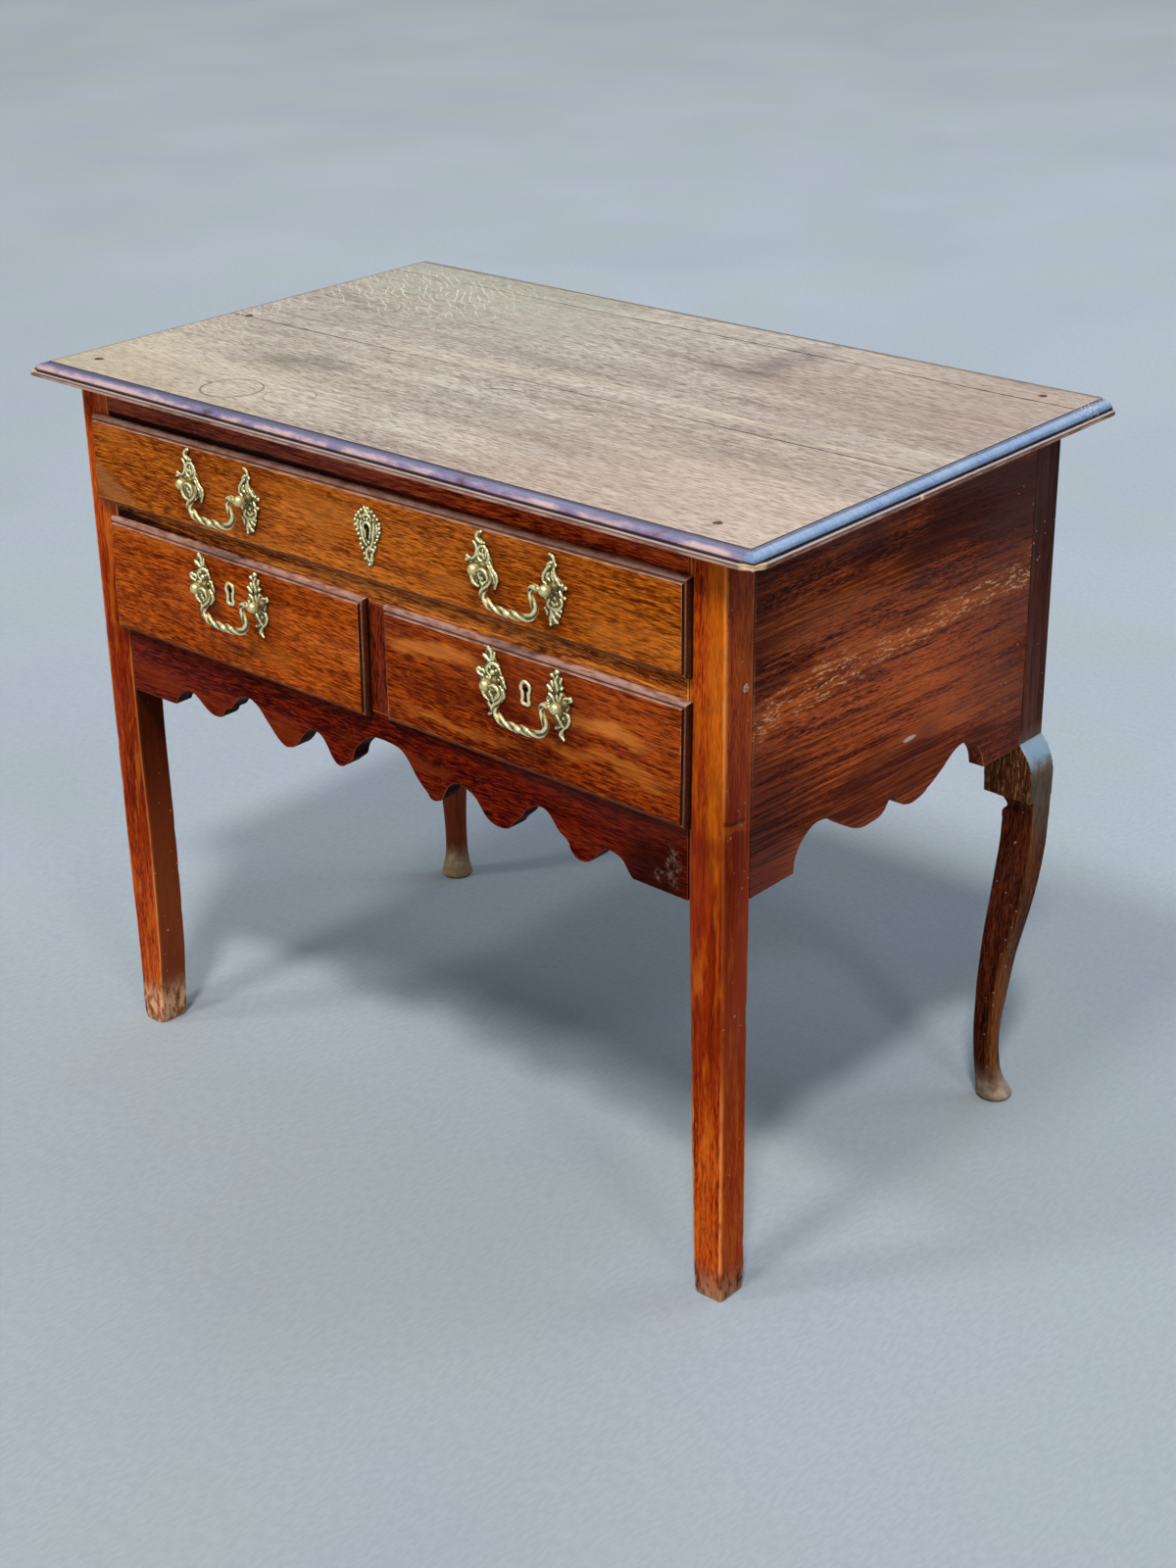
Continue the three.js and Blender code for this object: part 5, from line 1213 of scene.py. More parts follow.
APRON_EDGE = [(-292, 387.5), (-288.6, 387.8), (-285.8, 392.8), (-281.3, 398.8), (-274.7, 404.3), (-268.4, 406.8),
              (-262.6, 406.4), (-255.6, 403.6), (-248.9, 398.6), (-242.2, 394.1), (-235.2, 391.3), (-228, 390.9),
              (-222.1, 392.1), (-218.1, 396), (-214.6, 401.7), (-206.3, 405), (-202.2, 410.3), (-196.5, 415.9),
              (-190.4, 420.7), (-184.5, 422.8), (-177.5, 422.6), (-170.8, 419.8), (-164.3, 414.9), (-158, 407.9),
              (-151.7, 401.5), (-145.5, 395), (-138.5, 389.6), (-131.5, 386.7), (-125.5, 387.9), (-119.5, 390.2),
              (-113.1, 396.3), (-107.3, 403.9), (-100.2, 411.3), (-94.9, 414.3), (-89.9, 414.9), (-84.3, 413.6),
              (-78.9, 409.8), (-73.8, 402.6), (-68.9, 394.4), (-62.3, 388.8), (-55.2, 388.7), (-47.8, 394.1),
              (-40.3, 400.5), (-38.4, 406.4), (-35.2, 412.6), (-29.2, 418.5), (-23.2, 423.9), (-16, 428.6), (-9, 430.6),
              (-2.2, 430.9), (5.9, 430.6), (14, 429.8), (21.9, 427.9), (28.3, 423.4), (34.5, 415.8), (40.7, 407.2),
              (46.9, 400.7), (53.7, 394.5), (57.4, 390.4), (62.6, 389), (70.7, 391.8), (75.6, 398), (78.6, 404.1),
              (82.8, 410), (91.5, 414.6), (98, 414.5), (104.3, 412.3), (111.8, 408.9), (118, 402.5), (124, 395),
              (131.4, 389.6), (140.2, 387.7), (147.9, 388.2), (154.3, 391), (159.5, 397.2), (168.6, 405.6),
              (173.1, 412.1), (178.9, 417.4), (186.4, 421), (193.8, 422), (199.8, 419.3), (205.7, 413), (211.6, 405.8),
              (217.6, 402.6), (222.7, 397.9), (224.1, 393.4), (228.5, 388.1), (233.4, 385.5), (239.3, 385.3),
              (244.8, 387.1), (250.3, 390.9), (255.3, 396.2), (260.2, 401.5), (266.1, 405.2), (271.9, 405.3),
              (277.7, 403.8), (282.5, 401.3), (286.3, 396.8), (290.1, 391.4), (293.9, 386.9)]

for side, name in ((-1, "end_panel_left"), (1, "end_panel_right")):
    edge = [tuple(p) for p in spline(END_EDGE, 1.8, corner=48)]
    outline = [(-203.2, 386.5)] + edge + [(YB - 0.3, 381.2), (YB - 0.3, ZC), (-200.9, ZC)]
    a, b = (XL, XL + 16) if side < 0 else (XR - 16, XR)
    flat_piece(name, slab(outline, yz, a, b), "case", MAT["panel"], "case_oak", 0.8, (99, 11, 11), 91 + side,
               0.16, sizes=(60, 90, 40))

apron = [(POST_L - 0.3, 387)] + [tuple(p) for p in spline(APRON_EDGE, 1.8, corner=48)] + [
    (POST_R - 0.3, 386), (POST_R - 0.3, 458), (POST_L + 0.3, 458), (POST_L + 0.3, 440), (POST_L - 0.3, 400)]
flat_piece("apron", slab(apron, xz, YF, YF + 20), "case", MAT["case"], "case_oak", 0.9, (11, 99, 11), 101, 0.14,
           sizes=(90, 60, 30))
flat_piece("top_rail", box(POST_L + 0.3, POST_R - 0.3, YF, YF + 20, 664, ZC), "case", MAT["rail"], "case_oak", 0.8,
           (12, 99, 8), 111, 0.1, sizes=(90, 60, 30))
flat_piece("mid_rail", box(POST_L + 0.3, POST_R - 0.3, YF, -205.5, 562, 590), "case", MAT["mid"], "post_oak", 1.0,
           (12, 12, 8), 121, 0.12, sizes=(90, 60, 30))
flat_piece("muntin", box(-14, 20, YF, YF + 20, 458.3, 561.7), "case", MAT["muntin"], "case_oak", 0.9, (9, 12, 12), 131,
           0.1)


# ------------------------------------------------------------ drawer fronts
def keyhole(kx, kz, grow):
    pts = [(kx - 1.5 - grow, kz - 9.4 - grow), (kx + 1.5 + grow, kz - 9.4 - grow)]
    for k in range(17):
        t = (-0.35 + k / 16 * 1.7) * math.pi
        pts.append((kx + (3.1 + grow) * math.cos(t), kz + 1.6 + (3.1 + grow) * math.sin(t)))
    return pts


def tails(z0, z1, n):
    pitch = (z1 - z0) / n
    return [(z0 + pitch * (k + 0.5), pitch * 0.27, pitch * 0.37) for k in range(n)]


def carve(o, cutter_parts):
    """Takes closed solids (in mm) out of o's mesh. The solids of one call must not touch each other."""
    v, f = joined(cutter_parts)
    c = object_of("cutter", mesh_of("cutter", v, f), None)
    m = o.modifiers.new("cut", "BOOLEAN")
    m.operation = "DIFFERENCE"
    m.solver = "EXACT"
    m.object = c
    bpy.context.view_layer.update()
    name, mat = o.name, o.data.materials[0] if o.data.materials else None
    o.name = name + "_raw"
    me = evaluated(o)
    old = c.data
    bpy.data.objects.remove(c)
    bpy.data.meshes.remove(old)
    return object_of(name, me, mat)


LIP = [(0, -238.1), (0, -240.2), (0.1, -241.1), (0.35, -242.1), (0.8, -243.1), (1.4, -243.95), (2.2, -244.7),
       (3.0, -245.1), (3.5, -245.1), (3.75, -244.85), (3.9, -244.3), (4.55, -244.25), (4.8, -244.6), (4.9, -246.2),
       (5.0, -246.65), (5.25, -246.92), (5.7, -247.0), (6.8, -247.0)]


def mixed(lip, flat, t):
    return [(p[0] + (q[0] - p[0]) * t, p[1] + (q[1] - p[1]) * t) for p, q in zip(lip, flat)]


def drawer_front(node, material, lip, flat, inner, key, n_tails, handles, seed):
    x0, x1, z0, z1 = inner
    c = [(x0, z1), (x1, z1), (x1, z0), (x0, z0)]
    quads, insets = [[(x, -226.0, z) for x, z in c], [(x, -237.8, z) for x, z in c]], [-1, -1]
    for d, y in LIP:
        quads.append([(x, y, z) for x, z in mixed(lip, flat, d / 5)])
        insets.append(d)
    w, h = lip[1][0] - lip[0][0], lip[0][1] - lip[3][1]
    tu, tv = steps(w, 9.0, (0.8, 2.5, 6.0)), steps(h, 9.0, (0.8, 2.5, 6.0))
    v, f, ring = board(quads, tu, tv, caps=(False, True))
    d = np.array([insets[r] for r in ring], float)
    p = v.copy()
    face = (ring == len(quads) - 1)
    lipped = d >= 0
    v[face, 1] += 0.22 * wobble(p[face], (110, 60, 34), seed) + 0.06 * wobble(p[face], (16, 16, 9), seed + 1) + 0.18
    # rubbed and nicked lip
    cx, cz = (lip[0][0] + lip[1][0]) / 2, (lip[0][1] + lip[3][1]) / 2
    hx, hz = w / 2, h / 2
    horiz = np.abs(p[:, 2] - cz) / hz > np.abs(p[:, 0] - cx) / hx
    nick = 0.6 * smooth(wobble(p, (12, 9, 12), seed + 2), 0.55, 0.85) + 0.1 * wobble(p, (40, 20, 40), seed + 3) + 0.06
    zone = lipped & (d < 3.6) & (p[:, 1] < -238.6)
    v[:, 1] += np.where(zone, nick * 0.8, 0)
    v[:, 2] -= np.where(zone & horiz, np.sign(p[:, 2] - cz) * np.maximum(nick, 0) * 0.7, 0)
    v[:, 0] -= np.where(zone & ~horiz, np.sign(p[:, 0] - cx) * np.maximum(nick, 0) * 0.7, 0)
    o = object_of(node + "_oak", mesh_of(node + "_oak", v, f), material)
    side_top = z1 - 6
    sockets, bores = [], []
    for z, root, tip in tails(z0 + 2, side_top - 1, n_tails):
        prof = [(-225, z - root - 0.28), (-225, z + root + 0.28), (-226, z + root + 0.3), (-236.3, z + tip + 0.3),
                (-236.3, z - tip - 0.3), (-226, z - root - 0.3)]
        sockets.append(slab(prof, yz, x0 - 1, x0 + 10.3))
        sockets.append(slab(prof, yz, x1 - 10.3, x1 + 1))
    kx, kz = key
    for hx_, hz_ in handles:
        for s in (-1, 1):
            ring_ = [(hx_ + s * POST_HALF + 3.1 * math.cos(t), hz_ + 3.1 * math.sin(t))
                     for t in [k / 20 * 2 * math.pi for k in range(20)]]
            bores.append(slab(ring_, xz, -248, -224))
    o = carve(o, sockets)
    o = carve(o, [box(x0 + 10 - 3.3, x1 - 10 + 3.3, -231.3, -225, z0 + 4.7, z0 + 11.3)])
    o = carve(o, [box(kx - 21.3, kx + 21.3, -236.3, -225.1, kz - 22.3, z1 + 1)])
    o = carve(o, bores)
    o = carve(o, [slab(keyhole(kx, kz, 0), xz, FACE - 2, -235)])
    me = o.data
    co = coords(me) * 1000
    co[:, 1] -= OY
    y = co[:, 1]
    # distance of each point from the field's border, to place the painted shade lines and the rubbed edge
    fx0, fx1 = (flat[0][0] + flat[3][0]) / 2, (flat[1][0] + flat[2][0]) / 2
    tz = np.clip((co[:, 0] - flat[0][0]) / (flat[1][0] - flat[0][0]), 0, 1)
    ztop = flat[0][1] + (flat[1][1] - flat[0][1]) * tz
    zbot = flat[3][1] + (flat[2][1] - flat[3][1]) * tz
    inside = np.minimum(np.minimum(ztop - co[:, 2], co[:, 2] - zbot), np.minimum(co[:, 0] - fx0, fx1 - co[:, 0]))
    edge = np.where(y < -240, 1.1 * np.exp(-((inside - 0.15) / 0.5) ** 2) * (y < -246) + 0.7 * np.exp(-((y + 244.2) / 0.8) ** 2) * (inside < -1.3), 0)
    # a dark line in the quirk round the field, and along the lip's back rim where it meets the case: painted shade
    grime_and_shade = np.where((y < -243.8) & (y > -246.5), smooth(inside, -2.0, -1.5) * smooth(inside, 0.15, -0.1), 0) * 1.4
    grime_and_shade = np.maximum(grime_and_shade, smooth(y, -241.2, -239.6) * (y < -237.9))
    set_attr(me, "edge", np.clip(edge, 0, 1))
    set_attr(me, "grime_and_shade", np.clip(grime_and_shade, 0, 1))
    return settle(o, node[:-6], "drawer_oak", [node], sharp=44)


H = {"tl": (-183, 632.2), "tr": (184.7, 634.3), "ll": (-175.2, 532.6), "lr": (193.6, 533.3)}
drawer_front("drawer_top_front", MAT["face_top"],
             [(-369, 667), (359, 671), (358.5, 585.5), (-371.5, 581)],
             [(-363.7, 661.9), (354.4, 666.1), (353.9, 590.4), (-366.8, 586)],
             (POST_L + 1.2, POST_R - 1.2, 590.6, 662.8), (6.4, 635.4), 3, [H["tl"], H["tr"]], 141)
drawer_front("drawer_left_front", MAT["face_left"],
             [(-355.5, 568), (-8, 566), (-10.5, 452), (-359, 453.5)],
             [(-350.5, 563), (-12.8, 561.1), (-15.2, 457), (-354.2, 458.5)],
             (POST_L + 1.2, -15.2, 458.6, 560.8), (-182.5, 531), 4, [H["ll"]], 151)
drawer_front("drawer_right_front", MAT["face_right"],
             [(15.5, 566), (359, 565.5), (357, 453.5), (14.5, 456)],
             [(20.3, 560.9), (354.4, 560.6), (352.3, 458.6), (19.4, 461.3)],
             (21.2, POST_R - 1.2, 458.6, 560.8), (187, 530.5), 4, [H["lr"]], 161)


# -------------------------------------------------- plain inner pieces, eased
def eased(node, material, slot, body, radius=0.5, segments=2):
    """The CAD piece with its arrises broken, as planed and handled wood has them."""
    bm = bmesh.new()
    bm.from_mesh(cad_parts[node].data)
    bmesh.ops.remove_doubles(bm, verts=bm.verts, dist=2e-6)
    bmesh.ops.dissolve_limit(bm, angle_limit=math.radians(0.8), verts=bm.verts, edges=bm.edges)
    soften(bm, radius * MM, segments, 30)
    me = bpy.data.meshes.new(node + "_eased")
    bm.to_mesh(me)
    bm.free()
    kind = "_iron" if material is IRON else "_oak"
    return settle(object_of(node + kind, me, material), body, slot, [node], sharp=34, weighted=True)


for d in ("drawer_top", "drawer_left", "drawer_right"):
    eased(d + "_side_left", MAT["inner"], "inner_oak", d, 0.35)
    eased(d + "_side_right", MAT["inner"], "inner_oak", d, 0.35)
    eased(d + "_back", MAT["inner_x"], "inner_oak", d, 0.35)
    eased(d + "_bottom", MAT["inner_x"], "inner_oak", d, 0.3)
    eased("lock_" + d[7:], IRON, "iron", d, 0.25)
for r in ("runner_upper_left", "runner_upper_right", "runner_lower_left", "runner_lower_right", "runner_lower_centre"):
    eased(r, MAT["inner"], "inner_oak", "case", 0.6)
eased("back_board", MAT["back"], "inner_oak", "case", 0.8)


# ------------------------------------------------------------------ hardware
def ball(c, r, n=10):
    rings = []
    for k in range(1, n):
        t = math.pi * k / n
        rings.append([(c[0] + r * math.sin(t) * math.cos(a), c[1] + r * math.sin(t) * math.sin(a), c[2] + r * math.cos(t))
                      for a in [2 * math.pi * j / 12 for j in range(12)]])
    return tube_between(rings)


def rod(path, radius, y, flatten=1.0, sides=10):
    """A tapered stroke through (x, z) points; y is how far its centre lies in front of the plate's back."""
    path = [np.array(p, float) for p in path]
    if len(path) == 1:
        return [ball((path[0][0], y, path[0][1]), radius)]
    p = spline(path, 0.8)
    m = len(p)
    rings = []
    for k in range(m):
        a, b = p[max(0, k - 1)], p[min(m - 1, k + 1)]
        t = (b - a) / max(1e-9, np.linalg.norm(b - a))
        nx, nz = -t[1], t[0]
        s = k / (m - 1)
        r = radius * 1.22 * (0.74 + 0.36 * math.sin(math.pi * min(1, s * 1.15))) * (1 + 0.1 * math.sin(k * 1.6))
        rings.append([(p[k][0] + nx * r * math.cos(q), y + r * flatten * math.sin(q), p[k][1] + nz * r * math.cos(q))
                      for q in [2 * math.pi * j / sides for j in range(sides)]])
    out = [tube_between(rings)]
    out.append(ball((p[0][0], y, p[0][1]), radius * 0.8))
    out.append(ball((p[-1][0], y, p[-1][1]), radius * 0.85))
    return out


def plate_mesh(name, outline, strokes, balls, seed, thickness=1.5, voxel=0.36, shrink=0.0):
    """A cast plate: a lobed ground with scrolls, leaves and beads standing on it."""
    ring = spline(outline, 1.0, closed=True, corner=70)
    if shrink:
        c = ring.mean(0)
        ring = c + (ring - c) * (1 - shrink)
    parts = [slab([tuple(p) for p in ring], xz, -thickness, 0)]
    for path, r in strokes:
        parts += rod(path, r, -thickness - 0.1)
    for x, z, r in balls:
        parts.append(ball((x, -thickness - 0.1, z), r))
    v, f = joined(parts)
    v = v.copy()
    v[:, 1] = np.minimum(v[:, 1], 0)
    me = voxeled(name, v, f, voxel, passes=2)
    co = coords(me) * 1000
    co[:, 1] -= OY
    nn = normals(me)
    front = smooth(-nn[:, 1], 0.0, 0.5)
    # chased veins and pits on the ground and along the scrolls
    vein = wobble(co, (0.9, 5, 0.9), seed) * 0.16 + wobble(co, (2.2, 6, 2.2), seed + 1) * 0.24
    co += nn * (vein * front)[:, None]
    co[:, 1] = np.minimum(co[:, 1], 0)
    depth = -co[:, 1]
    # what stands clear of its surroundings is bright, the ground between is dark
    cav = smooth(depth, thickness - 0.3, thickness + 1.0) * 0.75 + 0.2 + 0.25 * vein
    ed = np.zeros(len(me.edges) * 2, np.int64)
    me.edges.foreach_get("vertices", ed)
    ed = ed.reshape(-1, 2)
    mean = depth.copy()
    for _ in range(6):
        acc, cnt = mean.copy(), np.ones(len(mean))
        np.add.at(acc, ed[:, 0], mean[ed[:, 1]])
        np.add.at(acc, ed[:, 1], mean[ed[:, 0]])
        np.add.at(cnt, ed[:, 0], 1)
        np.add.at(cnt, ed[:, 1], 1)
        mean = acc / cnt
    cav += np.clip((depth - mean) * 1.2, -0.4, 0.4)
    cav = np.where(nn[:, 1] > 0.5, 0.3, cav)
    co[:, 1] += OY
    set_coords(me, co / 1000)
    # the mesh is local to the handle's centre, so take out the frame's offset again
    me.transform(Matrix.Translation((0, -OY * MM, 0)))
    set_attr(me, "cav", np.clip(cav, 0, 1))
    me.materials.clear()
    me.materials.append(BRASS)
    me.shade_smooth()
    return me


PLATES = {
    "upper_left": dict(
        outline=[(-43.6, 29.8), (-40.2, 28.5), (-42.9, 25.9), (-43.9, 22.9), (-38.8, 19.3), (-34.7, 12.1), (-31.4, 6.7),
                 (-29.1, -1), (-24.9, -6.8), (-25.7, -13.9), (-28.5, -18.7), (-32.3, -14.7), (-37.8, -18.8),
                 (-50.4, -21.1), (-54.7, -15.8), (-56.5, -7.3), (-54.9, -1.4), (-61.1, 0.6), (-58.2, 4.7), (-53.8, 3),
                 (-49.1, 8.2), (-52.2, 17.7), (-48.6, 19.2), (-47.4, 24.9), (-47.2, 28.3)],
        strokes=[([(-42.3, 28.9), (-45.8, 27.3), (-47.4, 23.7), (-46, 21.1), (-42.7, 19.6), (-38.1, 19.8)], 1.05),
                 ([(-51, 18.3), (-48, 15.4), (-47.6, 11.4), (-48.6, 7.7), (-51, 4.4), (-54.2, 2.7), (-56.7, 3.7)], 1.0),
                 ([(-59.7, 1), (-56.9, 2.4)], 1.0),
                 ([(-43.8, 15.6), (-38.9, 16.4), (-35.5, 13.4), (-33.9, 9), (-34.6, 4.8), (-37.5, 1.8), (-41.3, 2.2),
                   (-44.8, 3.8), (-46.2, 8), (-45.6, 12.6), (-43.8, 15.6)], 1.15),
                 ([(-40.4, 13), (-40.5, 9.5), (-39.4, 5.7)], 0.9), ([(-44, 10.8), (-43.3, 6.9)], 0.8),
                 ([(-37.4, 12.4), (-37.0, 9.0), (-37.8, 6.0)], 0.7),
                 ([(-33.3, 3.7), (-31.2, 0.1), (-28.7, -3.5), (-25.8, -6.2), (-24.9, -10.1), (-26.2, -13.9), (-27.7, -17.1)], 1.15),
                 ([(-36.5, 0.9), (-33.1, -1.7), (-31.5, -5.5), (-29, -9), (-28.4, -13)], 0.9),
                 ([(-55.1, -10.9), (-54.1, -14.5), (-52.1, -18), (-49, -19.9), (-46.8, -19.9)], 1.15),
                 ([(-46.7, -9), (-45.1, -12.1), (-41.5, -12.6)], 1.0),
                 ([(-44.3, -15.3), (-40.9, -18), (-35.5, -17.4)], 1.15),
                 ([(-52, -2), (-53.6, -6), (-52.5, -10)], 0.9), ([(-35, -5), (-34.5, -9), (-36, -13)], 0.9)],
        balls=[(-41.9, 28.9, 1.5), (-58.4, 4.4, 1.4), (-60, 0.8, 1.3), (-27.6, -17.6, 1.2), (-50.6, 18.4, 1.1),
               (-41.6, 9, 1.2), (-39.5, -15.2, 1.3)]),
    "upper_right": dict(
        outline=[(34.1, 26.3), (38.3, 24.6), (39.8, 20.3), (41.4, 17.3), (38.8, 14.7), (42.1, 8.8), (47.8, 4.1), (52, 1.1),
                 (47.7, -2), (45.9, -5.7), (50.1, -8.1), (48.3, -10.5), (46.5, -14.3), (45.5, -20.7), (43.7, -25.2),
                 (41, -31.3), (34, -35), (31.5, -33.6), (32.5, -27.2), (26.7, -21.9), (29.4, -17.1), (25.3, -12.7),
                 (23.8, -6.3), (25.6, -1.8), (24.9, 2.1), (26.8, 9.3), (31.2, 15), (29.6, 16.6), (34.8, 21.1),
                 (33.2, 24.8)],
        strokes=[([(34.4, 26.5), (38, 24.7), (39.1, 21.6), (40.4, 18.6)], 1.1),
                 ([(31.7, 17.1), (34.3, 19.2), (37.3, 19.9)], 0.95),
                 ([(34.6, 16), (32.1, 14.5), (28.3, 9.7), (26.3, 5.2), (26.6, 1.3), (29.7, -0.4)], 1.1),
                 ([(32.8, 10.1), (30.7, 6.3), (33.7, 3.5)], 1.0),
                 ([(38.5, 15.4), (39, 9.5), (41.6, 5.5), (44.2, 2.1), (47.4, 2.3)], 1.1),
                 ([(33.8, -0.4), (37.1, -3), (40.9, -5.1)], 1.0),
                 ([(43.9, -3.4), (45.5, -5.4), (47.3, -7.9)], 1.1),
                 ([(33, -13.1), (30.7, -16.7), (32.4, -19.5), (37.5, -20.3), (42.6, -19.2), (46.1, -15.3), (46.6, -12.2), (44.4, -10)], 1.1),
                 ([(35.5, -14.2), (37.6, -16.4), (41.4, -14.7)], 0.95),
                 ([(27.9, -21.1), (29.7, -23.7), (30.4, -26.6)], 1.0),
                 ([(34.4, -21.9), (36.4, -26.8), (39.9, -30.9)], 1.1),
                 ([(34.8, -23.8), (33.8, -28.8), (33.7, -33.6)], 1.1),
                 ([(38.7, -21.8), (41.6, -23.8), (43.5, -24.4)], 0.9),
                 ([(42.6, -19.5), (45.5, -20.2)], 0.9),
                 ([(36, 12), (36.2, 7), (38.5, 3)], 0.8), ([(26.5, -5), (26.8, -9), (28.5, -12.5)], 0.95)],
        balls=[(33.9, 26.4, 1.2), (40.6, 18.2, 1.3), (51, 0.9, 1.7), (49.9, -8, 1.4), (47.4, 2.4, 1.4), (45.5, -20.4, 1.2),
               (41.4, -31, 1.3), (33.8, -34.2, 1.4), (27.6, -21.4, 1.1), (43.9, -24.8, 1.1), (38.6, -10.6, 1.4)]),
    "lower_left": dict(
        outline=[(-47, 29.2), (-43.1, 27.8), (-39.9, 23.9), (-38, 17.6), (-34.7, 14.4), (-33.2, 8), (-30, 3.4), (-27.7, -4.2),
                 (-31.9, -2.6), (-28.9, -12), (-33.4, -18.7), (-37.8, -20.6), (-44.3, -29.3), (-48, -33.4),
                 (-49.6, -32.1), (-46.9, -28.6), (-51.9, -23), (-49.1, -19.5), (-55, -15.6), (-56.4, -7.7),
                 (-57.1, -3.8), (-61.3, 0.6), (-61, 6.9), (-56.5, 8.7), (-51.1, 12.8), (-53.9, 19.6), (-50.8, 21.1),
                 (-49.2, 26.9)],
        strokes=[([(-46.5, 28.3), (-43.9, 25.2)], 1.3), ([(-52, 20.9), (-48.9, 18.5), (-46, 16.2)], 1.2),
                 ([(-39.9, 25.1), (-40.1, 21.6), (-41.8, 18.1)], 0.95),
                 ([(-51.9, 4.3), (-53.4, 6.3), (-56.2, 6.2), (-58.8, 7.1), (-60.4, 4.5), (-58.3, 1.7), (-54.5, 0.9)], 1.15),
                 ([(-43.9, 25.2), (-43.4, 21.1), (-44.5, 16.1)], 0.95),
                 ([(-46.3, 13.4), (-41.5, 15), (-37, 14), (-34.4, 10.6), (-33.2, 7.3)], 1.1),
                 ([(-46.3, 13.4), (-49.1, 9.4), (-48.8, 5.4), (-45.9, 2.8)], 1.0),
                 ([(-50.2, 1), (-45.1, 0.6), (-39.8, 3)], 1.0), ([(-39.9, 0.9), (-35.6, 1.4)], 0.95),
                 ([(-32.1, 3.7), (-29.7, -0.4), (-27.9, -4.4)], 0.9), ([(-34.6, 5.1), (-31.2, 3.2)], 0.8),
                 ([(-55.1, -8), (-55.1, -12.7), (-52.5, -17.5), (-48.5, -20)], 1.15),
                 ([(-48.1, -22.9), (-44.7, -26.5), (-44.2, -29.9), (-47.3, -32.4)], 1.15),
                 ([(-47.4, -12), (-44.9, -14.8), (-43.4, -19.2)], 1.0),
                 ([(-35, -4), (-31.5, -8.5), (-31.2, -13.5), (-35, -17.8)], 1.1),
                 ([(-38, -12), (-39.5, -16), (-43, -20)], 0.9), ([(-53, -2), (-54.5, -5)], 0.9)],
        balls=[(-46.4, 28.6, 1.7), (-42.7, 6.7, 2.4), (-43.6, 24.4, 1.2), (-52.2, 20.6, 1.3), (-39.8, 25, 1.1),
               (-48.4, -32.6, 1.1), (-48.3, -22.6, 1.3), (-38.6, 9.4, 1.1), (-45.6, 10.6, 1.1)]),
    "lower_right": dict(
        outline=[(29.8, 27.8), (33.9, 25.6), (32.1, 22.5), (35.3, 19.3), (34.4, 15.1), (37.7, 13.3), (35.1, 9.9), (39.9, 5.9),
                 (44.9, 7.9), (46.5, 5), (43.4, 0.7), (43.4, -5.4), (42.8, -12.2), (40.1, -20.3), (35.8, -25.6),
                 (37.3, -34), (31.4, -33.6), (31.6, -28.8), (27.5, -25.2), (28.5, -18.1), (21.2, -12.7),
                 (17.3, -1.6), (20.8, 3.4), (19.4, 11.1), (22.8, 16), (26.2, 18.2), (23.8, 22.3), (26.4, 25.6)],
        strokes=[([(29.4, 26.2), (32, 26.5)], 1.5), ([(24.5, 22.3), (26.6, 20.8)], 1.0),
                 ([(30.9, 22.3), (28.3, 18.3), (29.7, 14), (30.6, 9.5)], 1.0),
                 ([(35.2, 20.8), (33.6, 16.4)], 1.1), ([(24.1, 16), (25.8, 12.8)], 1.1),
                 ([(20, 11.5), (23.1, 8.9), (24.9, 7.7)], 1.0),
                 ([(21.1, 4.4), (24.4, 2.5), (26.8, -1.6)], 1.0), ([(29.6, 5.3), (30.7, 0.2)], 0.95),
                 ([(34.8, 7.7), (32.8, 0.7)], 0.95), ([(35.3, 1.4), (39.5, 4.6), (44.1, 5.6)], 1.1),
                 ([(45.3, 6.4), (46.1, 4.3), (42.8, 2.4)], 1.0),
                 ([(37.2, -8.5), (41.6, -9.6), (43.2, -13.9), (40.7, -19.9), (37.2, -23)], 1.15),
                 ([(28.3, -12.6), (31.5, -16.5), (34.7, -20.3), (37.3, -23.1)], 1.0),
                 ([(36.3, -24.1), (33, -28.4), (33.8, -30.9), (37.0, -33.4)], 1.15),
                 ([(30.1, -24), (33, -22.1)], 0.95), ([(41.9, -0.8), (40.9, -5.8)], 1.0),
                 ([(19.6, -2), (21.4, -7), (24.6, -11.6)], 1.05), ([(26.5, -6), (29, -10)], 0.9)],
        balls=[(30.6, 26.4, 2.0), (35.2, 12, 1.4), (44.7, 5.8, 1.9), (24, 22.4, 1.2), (35.3, 21, 1.2), (36.9, -33.5, 1.2),
               (29.8, 25.0, 1.4), (27.8, -24.6, 1.1), (24, 16.1, 1.1), (36.4, -14, 1.3), (19.6, 11.4, 1.1)]),
}
plate_meshes = {}
for k, (key, spec) in enumerate(PLATES.items()):
    plate_meshes[key] = plate_mesh("plate_" + key, spec["outline"], spec["strokes"], spec["balls"], 171 + 7 * k)


def place(name, me, at, body, node, sharp=None):
    """An object that uses a shared mesh, at `at` (mm)."""
    o = bpy.data.objects.new(name, me)
    bpy.context.scene.collection.objects.link(o)
    o.location = (at[0] * MM, (at[1] + OY) * MM, at[2] * MM)
    bpy.context.view_layer.update()
    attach(o, body)
    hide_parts(node)
    return o


# ball-headed post with its collar, bolt and nut
POST_PROFILE = [(0.0, -267.1), (1.4, -266.9), (2.7, -266.3), (3.8, -265.4), (4.6, -264.3), (5.0, -263.1), (5.1, -262),
                (5.0, -260.9), (4.6, -259.7), (3.9, -258.6), (3.2, -257.8), (2.7, -257.0), (2.6, -255.8), (2.7, -254.6),
                (3.1, -253.5), (3.8, -252.7), (4.2, -252.2), (4.3, -251.8), (4.3, -250.6), (4.1, -250.2), (2.6, -250.15),
                (2.6, -225.7), (5.6, -225.7), (5.6, -222.6), (2.6, -222.5), (2.45, -220.5), (0.0, -220.3)]


